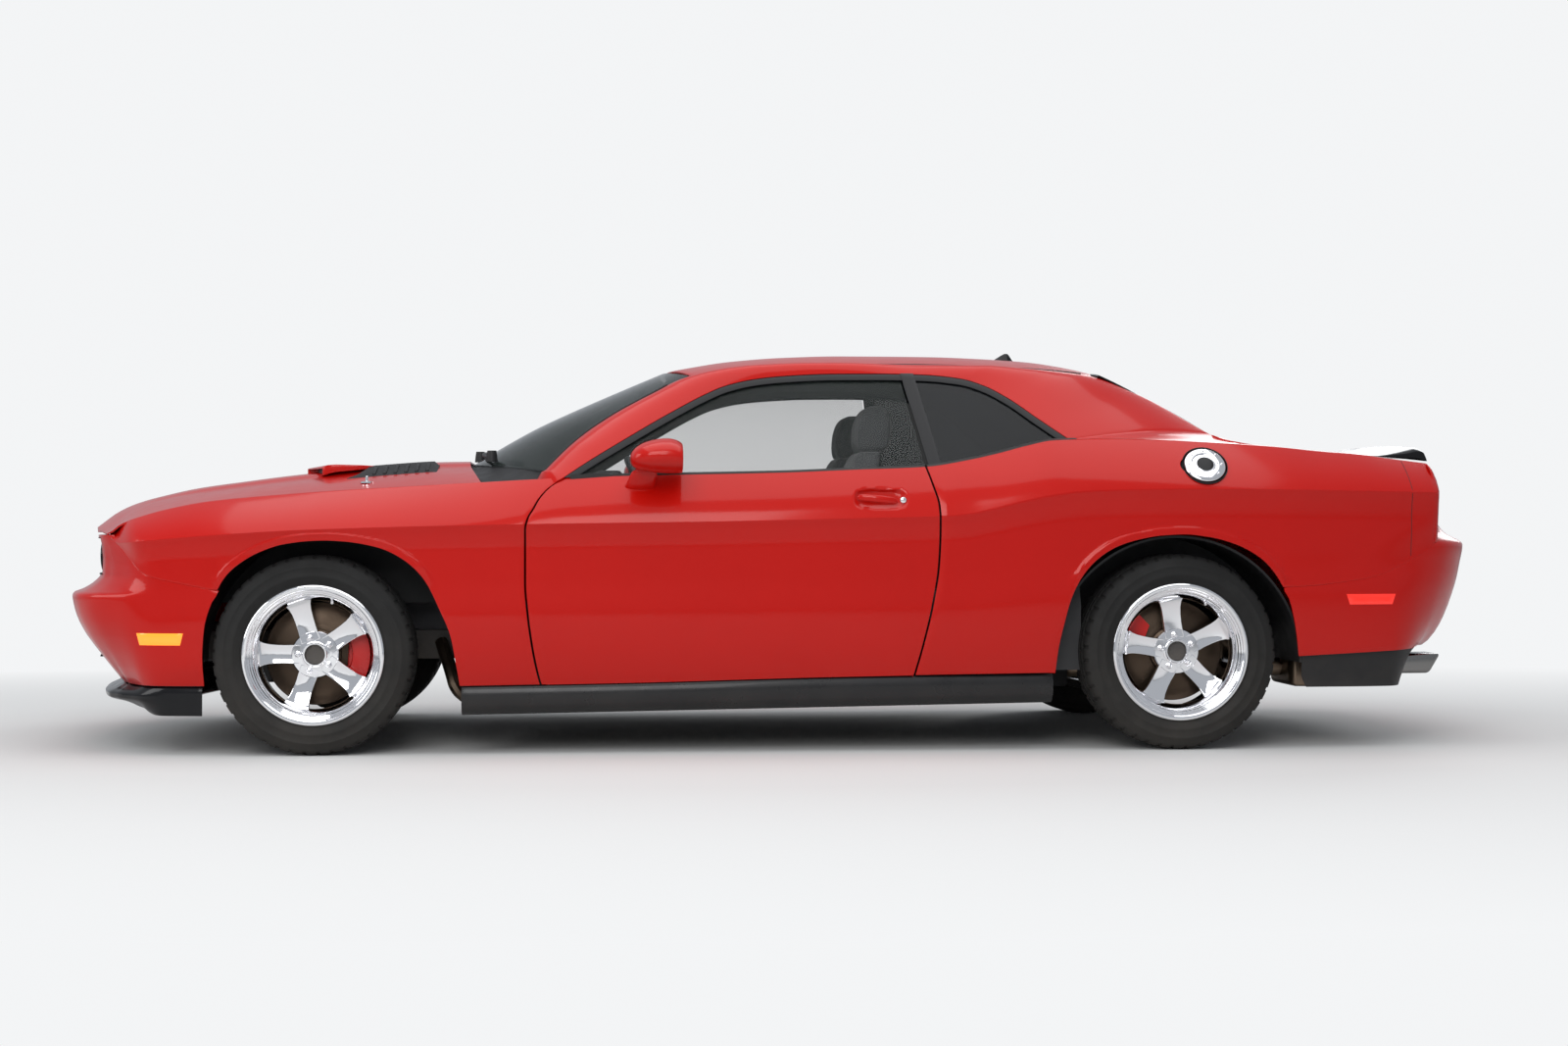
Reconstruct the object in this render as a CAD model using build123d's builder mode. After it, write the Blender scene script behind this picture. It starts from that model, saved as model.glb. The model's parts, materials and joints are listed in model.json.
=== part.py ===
from build123d import *
import os

os.makedirs("parts", exist_ok=True)

# Two-door coupe.  Millimetres.  X runs to the rear, -Y is the driver's side, Z is up.
# The origin is on the ground under the middle of the body.

# ---- Overall sizes ----
body_length = 5022.0
body_width = 1910.0
wheelbase = 2946.0
front_overhang = 925.0
track = 1602.0
roof_height = 1403.0

# ---- Sizes at which the outline tables are drawn; another size stretches them ----
drawn_width = 1910.0
drawn_wheelbase = 2946.0
drawn_front_overhang = 925.0
drawn_rear_overhang = 1151.0
drawn_roof_height = 1403.0
belt_height = 940.0

# ---- Walls and gaps ----
panel_wall = 12.0
lamp_wall = 40.0
pillar_wall = 30.0
glass_wall = 6.0
door_gap = 9.0
lid_gap = 7.0
seam_gap = 4.0
seat_gap = 1.0

# ---- Wheels, measured from the wheel plane and the hub ----
tyre_radius = 336.0
tyre_width = 246.0
rim_radius = 232.0
barrel_wall = 12.0
barrel_bore = 203.0
pad_thickness = 44.0
hub_pad_radius = 82.0
spoke_count = 5
spoke_width = 62.0
spoke_depth = 26.0
spoke_root = 40.0
spindle_radius = 32.0
running_clearance = 0.08
disc_radius = 175.0
disc_thickness = 30.0
disc_offset = 50.0
disc_gap = 7.0
hat_wall = 12.0
caliper_low = 118.0
caliper_high = 195.0
caliper_inset = 79.0
caliper_outset = 5.0
caliper_arc = 64.0
front_caliper_turn = -32.0
rear_caliper_turn = 130.0
upright_inset = 141.0
upright_depth = 75.0
upright_half = 40.0
upright_reach = 140.0
hub_boss_radius = 62.0
arm_inset = 161.0

# ---- Wheel arches: centre from the axle, and radius ----
front_arch_shift = 60.0
rear_arch_shift = -12.0
arch_centre_drop = 38.0
arch_clearance = 94.0
front_liner_shift = 40.0
front_liner_growth = 22.0
liner_wall = 8.0
front_liner_inset = 313.0
rear_liner_inset = 241.0
liner_outset = 104.0
front_liner_low = 500.0
rear_liner_low = 420.0

# ---- Derived sizes ----
front_axle_x = -body_length / 2 + front_overhang
rear_axle_x = front_axle_x + wheelbase
rear_overhang = body_length - front_overhang - wheelbase
half_width = body_width / 2
outside_y = half_width + 100
above_all = roof_height + 100
hub_face_y = track / 2
disc_inner_y = hub_face_y - disc_offset
upright_inner_y = hub_face_y - upright_inset
upright_outer_y = upright_inner_y + upright_depth
arm_end_y = hub_face_y - arm_inset
arch_centre_z = tyre_radius - arch_centre_drop
arch_radius = tyre_radius + arch_clearance
front_arch_x = front_axle_x + front_arch_shift
rear_arch_x = rear_axle_x + rear_arch_shift
sides = (-1, 1)

# ---- Body sections ----
# x behind the front axle, crease half-width, crease z, shoulder half-width, shoulder z,
# middle z, centre z
body_sections = [
    (-990, 955, 700, 800, 700, 730, 740),
    (-800, 955, 706, 815, 722, 820, 846),
    (-600, 955, 716, 822, 798, 872, 890),
    (-300, 955, 738, 835, 860, 918, 935),
    (100, 955, 760, 850, 892, 962, 981),
    (500, 955, 771, 862, 916, 985, 1003),
    (850, 955, 777, 866, 936, 975, 990),
    (2050, 955, 800, 866, 968, 995, 1005),
    (2500, 955, 874, 862, 1058, 1075, 1080),
    (3000, 955, 896, 842, 1064, 1088, 1094),
    (3300, 955, 894, 828, 1048, 1072, 1079),
    (3830, 955, 888, 795, 1000, 1024, 1032),
    (4190, 955, 884, 770, 966, 992, 1000),
]
rocker_z = 140.0
sill_top_z = 246.0
flank_z = 480.0
flank_y = 944.0
sill_y = 916.0
floor_edge_y = 868.0
shoulder_mid_y = 450.0

# Nose outline on the centre line: forward of the front axle, z
nose_outline = [
    (868, 830),
    (868, 743),
    (838, 722),
    (830, 604),
    (893, 552),
    (925, 535),
    (910, 459),
    (836, 336),
    (739, 208),
    (690, 130),
]
nose_plan_radius = 2000.0

# Tail outline on the centre line: behind the rear axle, z
tail_outline = [
    (985, 1040),
    (997, 995),
    (1029, 957),
    (1040, 905),
    (1051, 824),
    (1079, 755),
    (1151, 703),
    (1129, 580),
    (1079, 434),
    (1011, 344),
    (950, 250),
]
tail_plan_radius = 3800.0

# Corner rounding in plan: x from each end of the body, half-width
plan_front = [(-60, 640), (140, 830), (235, 890), (400, 938), (560, 955)]
plan_rear = [(-60, 600), (150, 800), (240, 860), (420, 915), (700, 955)]

# ---- Cabin ----
roof_edge_y = 600.0
roof_edge_z = 1312.0
belt_y = 862.0
cabin_low_z = 930.0
# Windshield and rear glass on the centre line: x behind the front axle, z, rise per length
screen_base = (504, 1004)
screen_rise = 0.4663
screen_plan_radius = 1050.0
rear_glass_base = (3229, 1092)
rear_glass_rise = 0.5008
rear_glass_plan_radius = 2000.0
# Roof line on the centre: x behind the front axle, z
roof_line = [
    (0, 0),
    (0, 1018),
    (1150, 1318),
    (1233, 1340),
    (1430, 1380),
    (1844, 1401),
    (2351, 1396),
    (2643, 1364),
    (2800, 1318),
    (3800, 1018),
    (3800, 0),
]

# Window outlines: x behind the front axle, z
door_glass_outline = [
    (880, 952),
    (1325, 1229),
    (1394, 1260),
    (1497, 1284),
    (1774, 1300),
    (2004, 1300),
    (2066, 978),
]
quarter_glass_outline = [
    (2038, 1298),
    (2226, 1286),
    (2296, 1266),
    (2384, 1218),
    (2560, 1076),
    (2092, 990),
]
door_glass_margin = 6.0
quarter_glass_margin = 2.0
# Windshield and rear glass in front view: half-width, z
screen_outline = [(560, 1322), (770, 985), (730, 940)]
rear_glass_outline = [(520, 1322), (640, 1106)]
screen_reach = (-300, 1290)
rear_glass_reach = (2660, 3600)

# ---- Doors: outline in side view, x behind the front axle, z ----
door_front_edge = [(850, 936), (785, 895), (736, 826), (709, 754), (709, 580), (735, 349), (756, 250)]
door_rear_edge = [(2020, 256), (2048, 361), (2102, 637), (2107, 747), (2104, 836), (2068, 966)]
door_inner_y = 820.0
mirror_head = [(1070, 950), (1100, 1045), (1215, 1052), (1230, 960), (1160, 938)]
mirror_foot = [(1050, 880), (1150, 900), (1180, 960), (1110, 960)]
mirror_head_reach = (925, 1085)
mirror_foot_reach = (850, 940)

# ---- Hood and trunk lid: plan outlines, x behind the front axle, half-width ----
hood_plan = [
    (-1000, 0),
    (-1000, 700),
    (-760, 700),
    (-580, 760),
    (470, 786),
    (560, 792),
    (470, 523),
    (470, 0),
]
hood_low_z = 746.0
trunk_plan = [(3300, 0), (3300, 690), (3800, 700), (4300, 700), (4300, 0)]
trunk_low_z = 952.0
cowl_zone = (469, 900, 760)

# ---- Fuel door, on the slope of the left shoulder ----
fuel_centre_x = 3031.0
fuel_centre_z = 981.0
fuel_radius = 73.0
fuel_depth = 14.0
fuel_gap = 5.0
fuel_pocket = 30.0
fuel_proud = 1.0
shoulder_run = 166.0
shoulder_drop = 115.0
crease_y = 955.0
crease_z = 896.0

# ---- Bumpers, fenders and quarter panels: side outlines, x behind the front axle, z ----
bumper_outline = [(-1100, 60), (-300, 60), (-300, 545), (-560, 600), (-700, 735), (-1100, 738)]
bumper_inner = (-560, 0, 760, 0, 800)
fender_outline = [
    (-1100, 742),
    (-696, 739),
    (-556, 604),
    (-296, 549),
    (-296, 250),
    (747, 250),
]
fender_top = [(841, 1100), (-1100, 1100)]
fender_inner_y = 500.0
nose_zone = (-990, -600, 640)
rear_bumper_outline = [
    (3300, 100),
    (3300, 560),
    (3640, 600),
    (3860, 715),
    (3860, 1100),
    (4400, 1100),
    (4400, 100),
]
quarter_start = [(2029, 250)]
quarter_end = [(2077, 1200), (3856, 1200), (3856, 719), (3640, 604), (3296, 564), (3296, 250)]
quarter_inner_y = 600.0
rear_bumper_inner = (3000, 3800, 780)
belt_zone = (2000, 2560, 790)
tip_openings = (520, 690, 322)

# ---- Licence plate recess ----
plate_face_x = 3986.0
plate_half = 278.0
plate_low_z = 498.0
plate_high_z = 642.0
plate_hole_y = 89.0
plate_hole_z = 600.0
plate_hole_radius = 3.5

# ---- Lamps, grille and intake ----
tail_lamp_outline = [(800, 918), (800, 806)]
grille_outline = [(660, 728), (660, 606)]
intake_outline = [(520, 395), (600, 300)]
grille_panel = (-770, -750, -640, 640, 606, 728)
lamp_z = 667.0
lamp_radius = 58.0
lamp_places = (-560, -330, 330, 560)
lamp_reach = (-790, -700)
# Side markers: x from, x to, z from, z to
marker_rows = [(-585, -430, 372, 412), (3530, 3700, 500, 532)]
marker_inner_y = 700.0

# ---- Chin spoiler, sills and rear lip ----
chin_outline = [(-1100, 100), (-380, 100), (-380, 180), (-600, 200), (-1100, 200)]
chin_clear_outline = [(-1100, 60), (-376, 60), (-376, 184), (-600, 204), (-1100, 204)]
chin_zone = (-520, 0, 700)
sill_reach = (500, 2492)
spoiler_outline = [(3715, 985), (3715, 1020), (3790, 1056), (3850, 1066), (3880, 1060), (3874, 985)]
spoiler_half = 695.0

# ---- Floor, firewall and shelf ----
floor_z = 160.0
floor_wall = 26.0
floor_top = floor_z + floor_wall
floor_half = 838.0
tunnel_half = 120.0
tunnel_top = 330.0
tunnel_bore = tunnel_half - floor_wall
firewall_x = 600.0
floor_start_x = 630.0
kick_up_x = 2330.0
boot_floor_z = 400.0
boot_floor_low = boot_floor_z - floor_wall
boot_floor_half = 540.0
floor_end_x = 3880.0
rail_inner_y = 350.0
rail_outer_y = 450.0
rail_z = 300.0
rail_top = 400.0
cowl_x = 490.0
cowl_z = 880.0
cowl_top = 900.0
bulkhead_x = 2790.0
shelf_z = 1000.0
# Boxes: x from, x to, y from, y to, z from, z to.  A row that starts off the centre has a mirrored twin.
floor_rows = [
    (floor_start_x, kick_up_x, -floor_half, floor_half, floor_z, floor_top),
    (kick_up_x - floor_wall, kick_up_x, -boot_floor_half, boot_floor_half, floor_z, boot_floor_z),
    (kick_up_x - floor_wall, floor_end_x, -boot_floor_half, boot_floor_half, boot_floor_low, boot_floor_z),
    (floor_start_x, kick_up_x, -tunnel_half, tunnel_half, floor_z, tunnel_top),
    (-640, firewall_x + 60, rail_inner_y, rail_outer_y, rail_z, rail_top),
    (floor_start_x, firewall_x + 60, rail_inner_y, rail_outer_y, floor_z, rail_top),
]
tunnel_rows = [
    (floor_start_x, kick_up_x + 1, -tunnel_bore, tunnel_bore, floor_z, tunnel_top - floor_wall),
]
firewall_rows = [
    (firewall_x, floor_start_x, -700, 700, floor_top, cowl_top),
    (cowl_x, floor_start_x, -700, 700, cowl_z, cowl_top),
]
firewall_holes = [(firewall_x - 1, firewall_x + 61, rail_inner_y, rail_outer_y, rail_z - 1, rail_top + 1)]
shelf_rows = [
    (bulkhead_x, 3240, -690, 690, shelf_z, shelf_z + 20),
    (bulkhead_x, bulkhead_x + 20, -530, 530, boot_floor_z, shelf_z),
]

# ---- Engine, subframe, tank and exhaust ----
engine_rows = [
    (-330, 430, -300, 300, 300, 800),
    (-200, 350, -150, 150, 800, 900),
    (430, 590, -120, 120, 300, 480),
]
subframe_rows = [
    (-90, 90, -420, 420, 170, 250),
    (-70, 70, 455, 480, 195, 490),
]
# Arms: x half-width, y from, z from, z to
arm_rows = [(30, 400, 195, 235), (25, 455, 450, 480)]
tank_rows = [
    (2370, 2760, 260, 480, 270, 370),
    (2400, 2500, -300, 300, 310, 370),
]
axle_case = (140, 130, 230, 370)
trailing_arm = (30, 120, 240, 275)
half_shaft_radius = 28.0
prop_shaft_radius = 40.0
prop_shaft_z = 245.0
pipe_y = 215.0
pipe_z = 128.0
pipe_radius = 28.0
pipe_reach = (700, 3390)
silencer_rows = [
    (3340, 3420, pipe_y - pipe_radius, pipe_y + pipe_radius, pipe_z - 10, 230),
    (3400, 3680, pipe_y - pipe_radius, 720, 200, 330),
    (3670, 3940, 530, 680, 240, 310),
]
tip_bore_rows = [(3760, 3941, 538, 672, 248, 302)]

# ---- Cabin fittings: side outlines, x behind the front axle, z ----
dashboard_outline = [
    (700, 880),
    (760, 925),
    (900, 935),
    (1010, 915),
    (1030, 860),
    (980, 700),
    (860, 640),
    (700, 700),
]
dashboard_half = 730.0
steering_centre = (1130, -375, 850)
steering_normal = (0.906, 0, 0.423)
steering_rim_radius = 188.0
steering_rim_bore = 160.0
steering_rim_half = 14.0
steering_spoke = (330, 40)
steering_hub_radius = 60.0
column_radius = 30.0
column_length = 125.0
seat_centre_y = 375.0
seat_half = 250.0
headrest_half = 140.0
cushion_outline = [(1230, 470), (1290, 500), (1720, 440), (1700, 300), (1240, 320)]
back_outline = [(1640, 420), (1730, 400), (1960, 1030), (1860, 1050), (1800, 960)]
headrest_outline = [(1862, 1040), (1960, 1020), (1990, 1180), (1940, 1215), (1880, 1190)]
plinth = (1300, 1650, 190, 350)
rear_seat_outline = [
    (2180, 500),
    (2240, 540),
    (2540, 500),
    (2700, 980),
    (2780, 990),
    (2780, 420),
    (2340, 401),
    (2190, 401),
]
rear_seat_half = 530.0
rear_seat_base = (2190, kick_up_x - floor_wall, -rear_seat_half, rear_seat_half, floor_top, boot_floor_z + 1)
rear_seat_tunnel = (2100, kick_up_x, -tunnel_half - 1, tunnel_half + 1, 0, tunnel_top)
console_outline = [
    (1000, 640),
    (1060, 560),
    (1300, 520),
    (1700, 520),
    (1760, 480),
    (1760, tunnel_top),
    (960, tunnel_top),
    (960, 620),
]
console_half = 95.0


def along(x):
    """Row x of a drawn place, given as its distance behind the front axle."""
    if x < 0:
        return front_axle_x + x * front_overhang / drawn_front_overhang
    if x < drawn_wheelbase:
        return front_axle_x + x * wheelbase / drawn_wheelbase
    return rear_axle_x + (x - drawn_wheelbase) * rear_overhang / drawn_rear_overhang


def across(y):
    """Row y of a drawn half-width."""
    return y * body_width / drawn_width


def up(z):
    """Row z of a drawn height: all above the belt stretches with the roof."""
    if z < belt_height:
        return z
    stretch = (roof_height - belt_height) / (drawn_roof_height - belt_height)
    return belt_height + (z - belt_height) * stretch


def between(side, near, far):
    """Two y values on one side, lowest first."""
    return sorted((side * near, side * far))


def box_of(low, high):
    """A box between two row corners, kept apart from the part being built."""
    size = [h - l for l, h in zip(low, high)]
    middle = [(h + l) / 2 for l, h in zip(low, high)]
    return Pos(*middle) * Box(*size, mode=Mode.PRIVATE)


def block(x_low, x_high, y_low, y_high, z_low, z_high):
    """A box between two drawn corners."""
    low = (along(x_low), across(y_low), up(z_low))
    high = (along(x_high), across(y_high), up(z_high))
    return box_of(low, high)


def blocks(rows):
    """Drawn boxes joined, each row that starts off the centre with its mirrored twin."""
    with BuildPart() as joined:
        for x_low, x_high, y_low, y_high, z_low, z_high in rows:
            add(block(x_low, x_high, y_low, y_high, z_low, z_high))
            if y_low > 0:
                add(block(x_low, x_high, -y_high, -y_low, z_low, z_high))
    return joined.part


def zone(x_low, x_high, half):
    """A tall box on the centre line, for clearing what lies inside a half-width."""
    low = (along(x_low), -across(half), 0)
    return box_of(low, (along(x_high), across(half), above_all))


def outline_prism(plane, points, length, grow):
    """A closed outline on a plane, grown by a margin and extruded."""
    with BuildPart() as prism:
        with BuildSketch(plane):
            with BuildLine():
                Polyline(*points, close=True)
            make_face()
            if grow:
                offset(amount=grow, kind=Kind.INTERSECTION, mode=Mode.REPLACE)
        extrude(amount=length)
    return prism.part


def side_prism(points, y_low, y_high, grow=0.0):
    """Side-view outline as a prism between two y values."""
    placed = [(along(x), up(z)) for x, z in points]
    return outline_prism(Plane.XZ.offset(-y_high), placed, y_high - y_low, grow)


def front_prism(points, x_low, x_high, grow=0.0):
    """Front-view half outline, mirrored in Y, as a prism between two drawn x values."""
    whole = list(points) + [(-y, z) for y, z in reversed(points)]
    placed = [(across(y), up(z)) for y, z in whole]
    start = along(x_low)
    return outline_prism(Plane.YZ.offset(start), placed, along(x_high) - start, grow)


def plan_prism(points, z_low, z_high, grow=0.0):
    """Plan half outline, mirrored in Y, as a prism between two heights."""
    whole = list(points) + [(x, -y) for x, y in reversed(points) if y]
    placed = [(along(x), across(y)) for x, y in whole]
    return outline_prism(Plane.XY.offset(z_low), placed, z_high - z_low, grow)


def ring_solid(rows, side):
    """A closed profile of radius and distance out, turned about the wheel's axis."""
    with BuildPart() as ring:
        with BuildSketch(Plane.XY):
            with BuildLine():
                Polyline(*[(r, side * y) for r, y in rows], close=True)
            make_face()
        revolve(axis=Axis.Y)
    return ring.part


def round_solid(plane, radius, length):
    """A plain cylinder standing on a plane."""
    with BuildPart() as shape:
        with BuildSketch(plane):
            Circle(radius)
        extrude(amount=length)
    return shape.part


def drum(x, z, radius, y_low, y_high):
    """A round solid lying across the car."""
    plane = Plane(origin=(x, y_low, z), x_dir=(1, 0, 0), z_dir=(0, 1, 0))
    return round_solid(plane, radius, y_high - y_low)


def rod(x_low, x_high, y, z, radius):
    """A round solid lying along the car."""
    plane = Plane(origin=(x_low, y, z), x_dir=(0, 1, 0), z_dir=(1, 0, 0))
    return round_solid(plane, radius, x_high - x_low)


def section_points(row, inset):
    """Whole outline of the body at one station, drawn in by an inset."""
    x, edge_y, edge_z, shoulder_y, shoulder_z, middle_z, centre_z = row
    half = [
        (0, rocker_z + inset),
        (across(floor_edge_y) - inset, rocker_z + inset),
        (across(sill_y) - inset, sill_top_z),
        (across(flank_y) - inset, flank_z),
        (across(edge_y) - inset, up(edge_z)),
        (across(shoulder_y) - inset, up(shoulder_z) - inset),
        (across(shoulder_mid_y), up(middle_z) - inset),
        (0, up(centre_z) - inset),
    ]
    return half + [(-y, z) for y, z in reversed(half[1:-1])]


def end_cutter(outline, plan_radius, toward, inset):
    """What lies outside a nose or tail outline, turned about a far upright axis."""
    reach = toward * body_length / 2
    tip = max(x for x, z in outline)
    axis_x = reach - toward * plan_radius
    rows = [(plan_radius - tip + x - inset, up(z)) for x, z in outline]
    top = (rows[0][0], above_all)
    bottom = (rows[-1][0] - rocker_z, -rocker_z)
    far = plan_radius + rear_overhang
    ring = [top] + rows + [bottom, (far, -rocker_z), (far, above_all)]
    ends = sorted((toward * wheelbase / 4, toward * body_length))
    low = (ends[0], -body_width, -body_length)
    with BuildPart() as cutter:
        with BuildSketch(Plane.XZ.move(Location((axis_x, 0, 0)))):
            with BuildLine():
                Polyline(*[(toward * r, z) for r, z in ring], close=True)
            make_face()
        revolve(axis=Axis((axis_x, 0, 0), (0, 0, 1)), revolution_arc=360)
        add(box_of(low, (ends[1], body_width, body_length)), mode=Mode.INTERSECT)
    return cutter.part


def plan_outline():
    """Rounded outline of the body seen from above."""
    half = [(-body_length / 2 + x, across(y)) for x, y in plan_front]
    half += [(body_length / 2 - x, across(y)) for x, y in reversed(plan_rear)]
    return half + [(x, -y) for x, y in reversed(half)]


def lower_solid(inset):
    """The body below the windows as one solid, drawn in by an inset."""
    with BuildPart() as body:
        for row in body_sections:
            with BuildSketch(Plane.YZ.offset(along(row[0]))):
                with BuildLine():
                    Polyline(*section_points(row, inset), close=True)
                make_face()
        loft(ruled=True)
        add(end_cutter(nose_outline, nose_plan_radius, -1, inset), mode=Mode.SUBTRACT)
        add(end_cutter(tail_outline, tail_plan_radius, 1, inset), mode=Mode.SUBTRACT)
        add(outline_prism(Plane.XY, plan_outline(), above_all, -inset), mode=Mode.INTERSECT)
    return body.part


def raked_prism(base, rise, plan_radius, toward, inset):
    """All that lies inside a windshield or rear glass: a curved wall leaning at a slope."""
    slope = rise * (up(drawn_roof_height) - belt_height) / (drawn_roof_height - belt_height)
    run = (up(base[1]) - cabin_low_z) / slope
    lean = (1 + slope**2) ** 0.5
    edge_y = across(belt_y)
    start = along(base[0]) + toward * (run - inset * lean / slope)
    sag = plan_radius - (plan_radius**2 - edge_y**2) ** 0.5
    far_x = start - toward * body_length
    corner_x = start - toward * sag
    with BuildPart() as wedge:
        with BuildSketch(Plane.XY.offset(cabin_low_z)):
            with BuildLine():
                arc = ThreePointArc((corner_x, edge_y), (start, 0), (corner_x, -edge_y))
                Polyline(arc @ 1, (far_x, -edge_y), (far_x, edge_y), arc @ 0)
            make_face()
        extrude(amount=roof_height, dir=(-toward / lean, 0, slope / lean))
    return wedge.part


def cabin_solid(inset):
    """The body above the belt as one solid, drawn in by an inset."""
    edge = (across(roof_edge_y) - inset, up(roof_edge_z) - inset)
    wall_y = across(belt_y) - inset
    roof = [(along(x), up(z) - inset if z else 0) for x, z in roof_line]
    with BuildPart() as cabin:
        with BuildSketch(Plane.YZ.offset(along(0))):
            with BuildLine():
                top = ThreePointArc((-edge[0], edge[1]), (0, roof_height - inset), edge)
                wall = [(wall_y, belt_height), (wall_y, cabin_low_z)]
                far_wall = [(-y, z) for y, z in reversed(wall)]
                Polyline(top @ 1, *wall, *far_wall, top @ 0)
            make_face()
        extrude(amount=along(roof_line[-1][0]) - along(0))
        add(outline_prism(Plane.XZ.offset(-half_width), roof, body_width, 0), mode=Mode.INTERSECT)
        front = raked_prism(screen_base, screen_rise, screen_plan_radius, -1, inset)
        add(front, mode=Mode.INTERSECT)
        back = raked_prism(rear_glass_base, rear_glass_rise, rear_glass_plan_radius, 1, inset)
        add(back, mode=Mode.INTERSECT)
    return cabin.part


def arch_space(arch_x, radius, y_low, y_high):
    """The open space of one wheel arch: a drum and the way straight down from it."""
    with BuildPart() as space:
        add(drum(arch_x, arch_centre_z, radius, y_low, y_high))
        add(box_of((arch_x - radius, y_low, -radius), (arch_x + radius, y_high, arch_centre_z)))
    return space.part


def make_lower_skin():
    """Hollow shell of the lower body with its four arches open."""
    with BuildPart() as skin:
        add(outer)
        add(skin_core, mode=Mode.SUBTRACT)
        for arch_x in (front_arch_x, rear_arch_x):
            add(arch_space(arch_x, arch_radius, -outside_y, outside_y), mode=Mode.SUBTRACT)
    return skin.part


def make_hood():
    """Hood panel between the fenders."""
    with BuildPart() as hood:
        add(lower_skin)
        add(plan_prism(hood_plan, hood_low_z, above_all), mode=Mode.INTERSECT)
    return hood.part


def make_trunk_lid():
    """Trunk lid between the quarter panels, with its rear edge above the lamps."""
    with BuildPart() as lid:
        add(lower_skin)
        add(plan_prism(trunk_plan, up(trunk_low_z), above_all), mode=Mode.INTERSECT)
    return lid.part


def make_fender(side):
    """Front fender from the bumper seam to the door."""
    door_edge = [(x - door_gap, z) for x, z in reversed(door_front_edge[:-1])]
    outline = fender_outline + door_edge + fender_top
    with BuildPart() as fender:
        add(lower_skin)
        add(side_prism(outline, *between(side, fender_inner_y, outside_y)), mode=Mode.INTERSECT)
        add(hood_clear, mode=Mode.SUBTRACT)
        add(zone(*cowl_zone), mode=Mode.SUBTRACT)
        add(zone(*nose_zone), mode=Mode.SUBTRACT)
    return fender.part


def make_front_bumper():
    """Nose cover with the grille opening and the lower intake."""
    x_low, x_high, half, z_low, z_high = bumper_inner
    with BuildPart() as bumper:
        add(lower_skin)
        add(side_prism(bumper_outline, -outside_y, outside_y), mode=Mode.INTERSECT)
        add(block(x_low, x_high, -half, half, z_low, z_high), mode=Mode.SUBTRACT)
        add(front_prism(grille_outline, -1100, -600), mode=Mode.SUBTRACT)
        add(front_prism(intake_outline, -1100, -600), mode=Mode.SUBTRACT)
        add(marker_blocks(seat_gap), mode=Mode.SUBTRACT)
        add(side_prism(chin_clear_outline, -outside_y, outside_y), mode=Mode.SUBTRACT)
    return bumper.part


def make_door(side):
    """Whole door, as thick as the real one."""
    with BuildPart() as door:
        add(outer)
        outline = door_front_edge + door_rear_edge
        span = between(side, across(door_inner_y), outside_y)
        add(side_prism(outline, *span), mode=Mode.INTERSECT)
    return door.part


def fuel_disc(grow, low, high):
    """Round solid on the left shoulder, between two depths along its outward axis."""
    slope = (shoulder_run**2 + shoulder_drop**2) ** 0.5
    out = (0, -shoulder_run / slope, shoulder_drop / slope)
    surface_y = across(crease_y) - (fuel_centre_z - crease_z) * shoulder_drop / shoulder_run
    origin = (along(fuel_centre_x), -surface_y - fuel_proud, up(fuel_centre_z))
    plane = Plane(origin=origin, x_dir=(1, 0, 0), z_dir=out)
    return round_solid(plane.offset(low), fuel_radius + grow, high - low)


def make_quarter(side):
    """Quarter panel from the door to the rear bumper seam."""
    door_edge = [(x + door_gap, z) for x, z in door_rear_edge[1:]]
    outline = quarter_start + door_edge + quarter_end
    with BuildPart() as quarter:
        add(lower_skin)
        add(side_prism(outline, *between(side, quarter_inner_y, outside_y)), mode=Mode.INTERSECT)
        add(trunk_clear, mode=Mode.SUBTRACT)
        add(zone(*belt_zone), mode=Mode.SUBTRACT)
        if side < 0:
            add(fuel_disc(fuel_gap, -fuel_pocket, fuel_pocket), mode=Mode.SUBTRACT)
        add(marker_blocks(seat_gap), mode=Mode.SUBTRACT)
    return quarter.part


def make_rear_bumper():
    """Tail cover with the lamp band, the plate recess and the two tip openings."""
    tip_inner, tip_outer, tip_top = tip_openings
    recess = (plate_face_x, 4200, -plate_half, plate_half, plate_low_z, plate_high_z)
    with BuildPart() as bumper:
        add(lower_skin)
        add(side_prism(rear_bumper_outline, -outside_y, outside_y), mode=Mode.INTERSECT)
        add(trunk_clear, mode=Mode.SUBTRACT)
        add(zone(*rear_bumper_inner), mode=Mode.SUBTRACT)
        add(front_prism(tail_lamp_outline, 3600, 4300), mode=Mode.SUBTRACT)
        add(marker_blocks(seat_gap), mode=Mode.SUBTRACT)
        for side in sides:
            low, high = between(side, tip_inner, tip_outer)
            add(block(3600, 4200, low, high, 100, tip_top), mode=Mode.SUBTRACT)
        add(make_plate_tray())
        add(block(*recess), mode=Mode.SUBTRACT)
        for side in sides:
            add(plate_hole(side), mode=Mode.SUBTRACT)
    return bumper.part


def plate_hole(side):
    """One screw hole through the back of the plate recess."""
    face_x = along(plate_face_x)
    return rod(face_x - lamp_wall, face_x + 1, side * plate_hole_y, plate_hole_z, plate_hole_radius)


def make_plate_tray():
    """Walls and back of the plate recess, up to the bumper's outside."""
    half = plate_half + panel_wall
    low_z = plate_low_z - panel_wall
    high_z = plate_high_z + panel_wall
    with BuildPart() as tray:
        add(block(plate_face_x - panel_wall, 4200, -half, half, low_z, high_z))
        add(outer, mode=Mode.INTERSECT)
    return tray.part


def make_tail_lamps():
    """Lamp band across the tail."""
    with BuildPart() as lamps:
        add(outer)
        add(lamp_core, mode=Mode.SUBTRACT)
        add(front_prism(tail_lamp_outline, 3860, 4300, -seat_gap), mode=Mode.INTERSECT)
    return lamps.part


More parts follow.
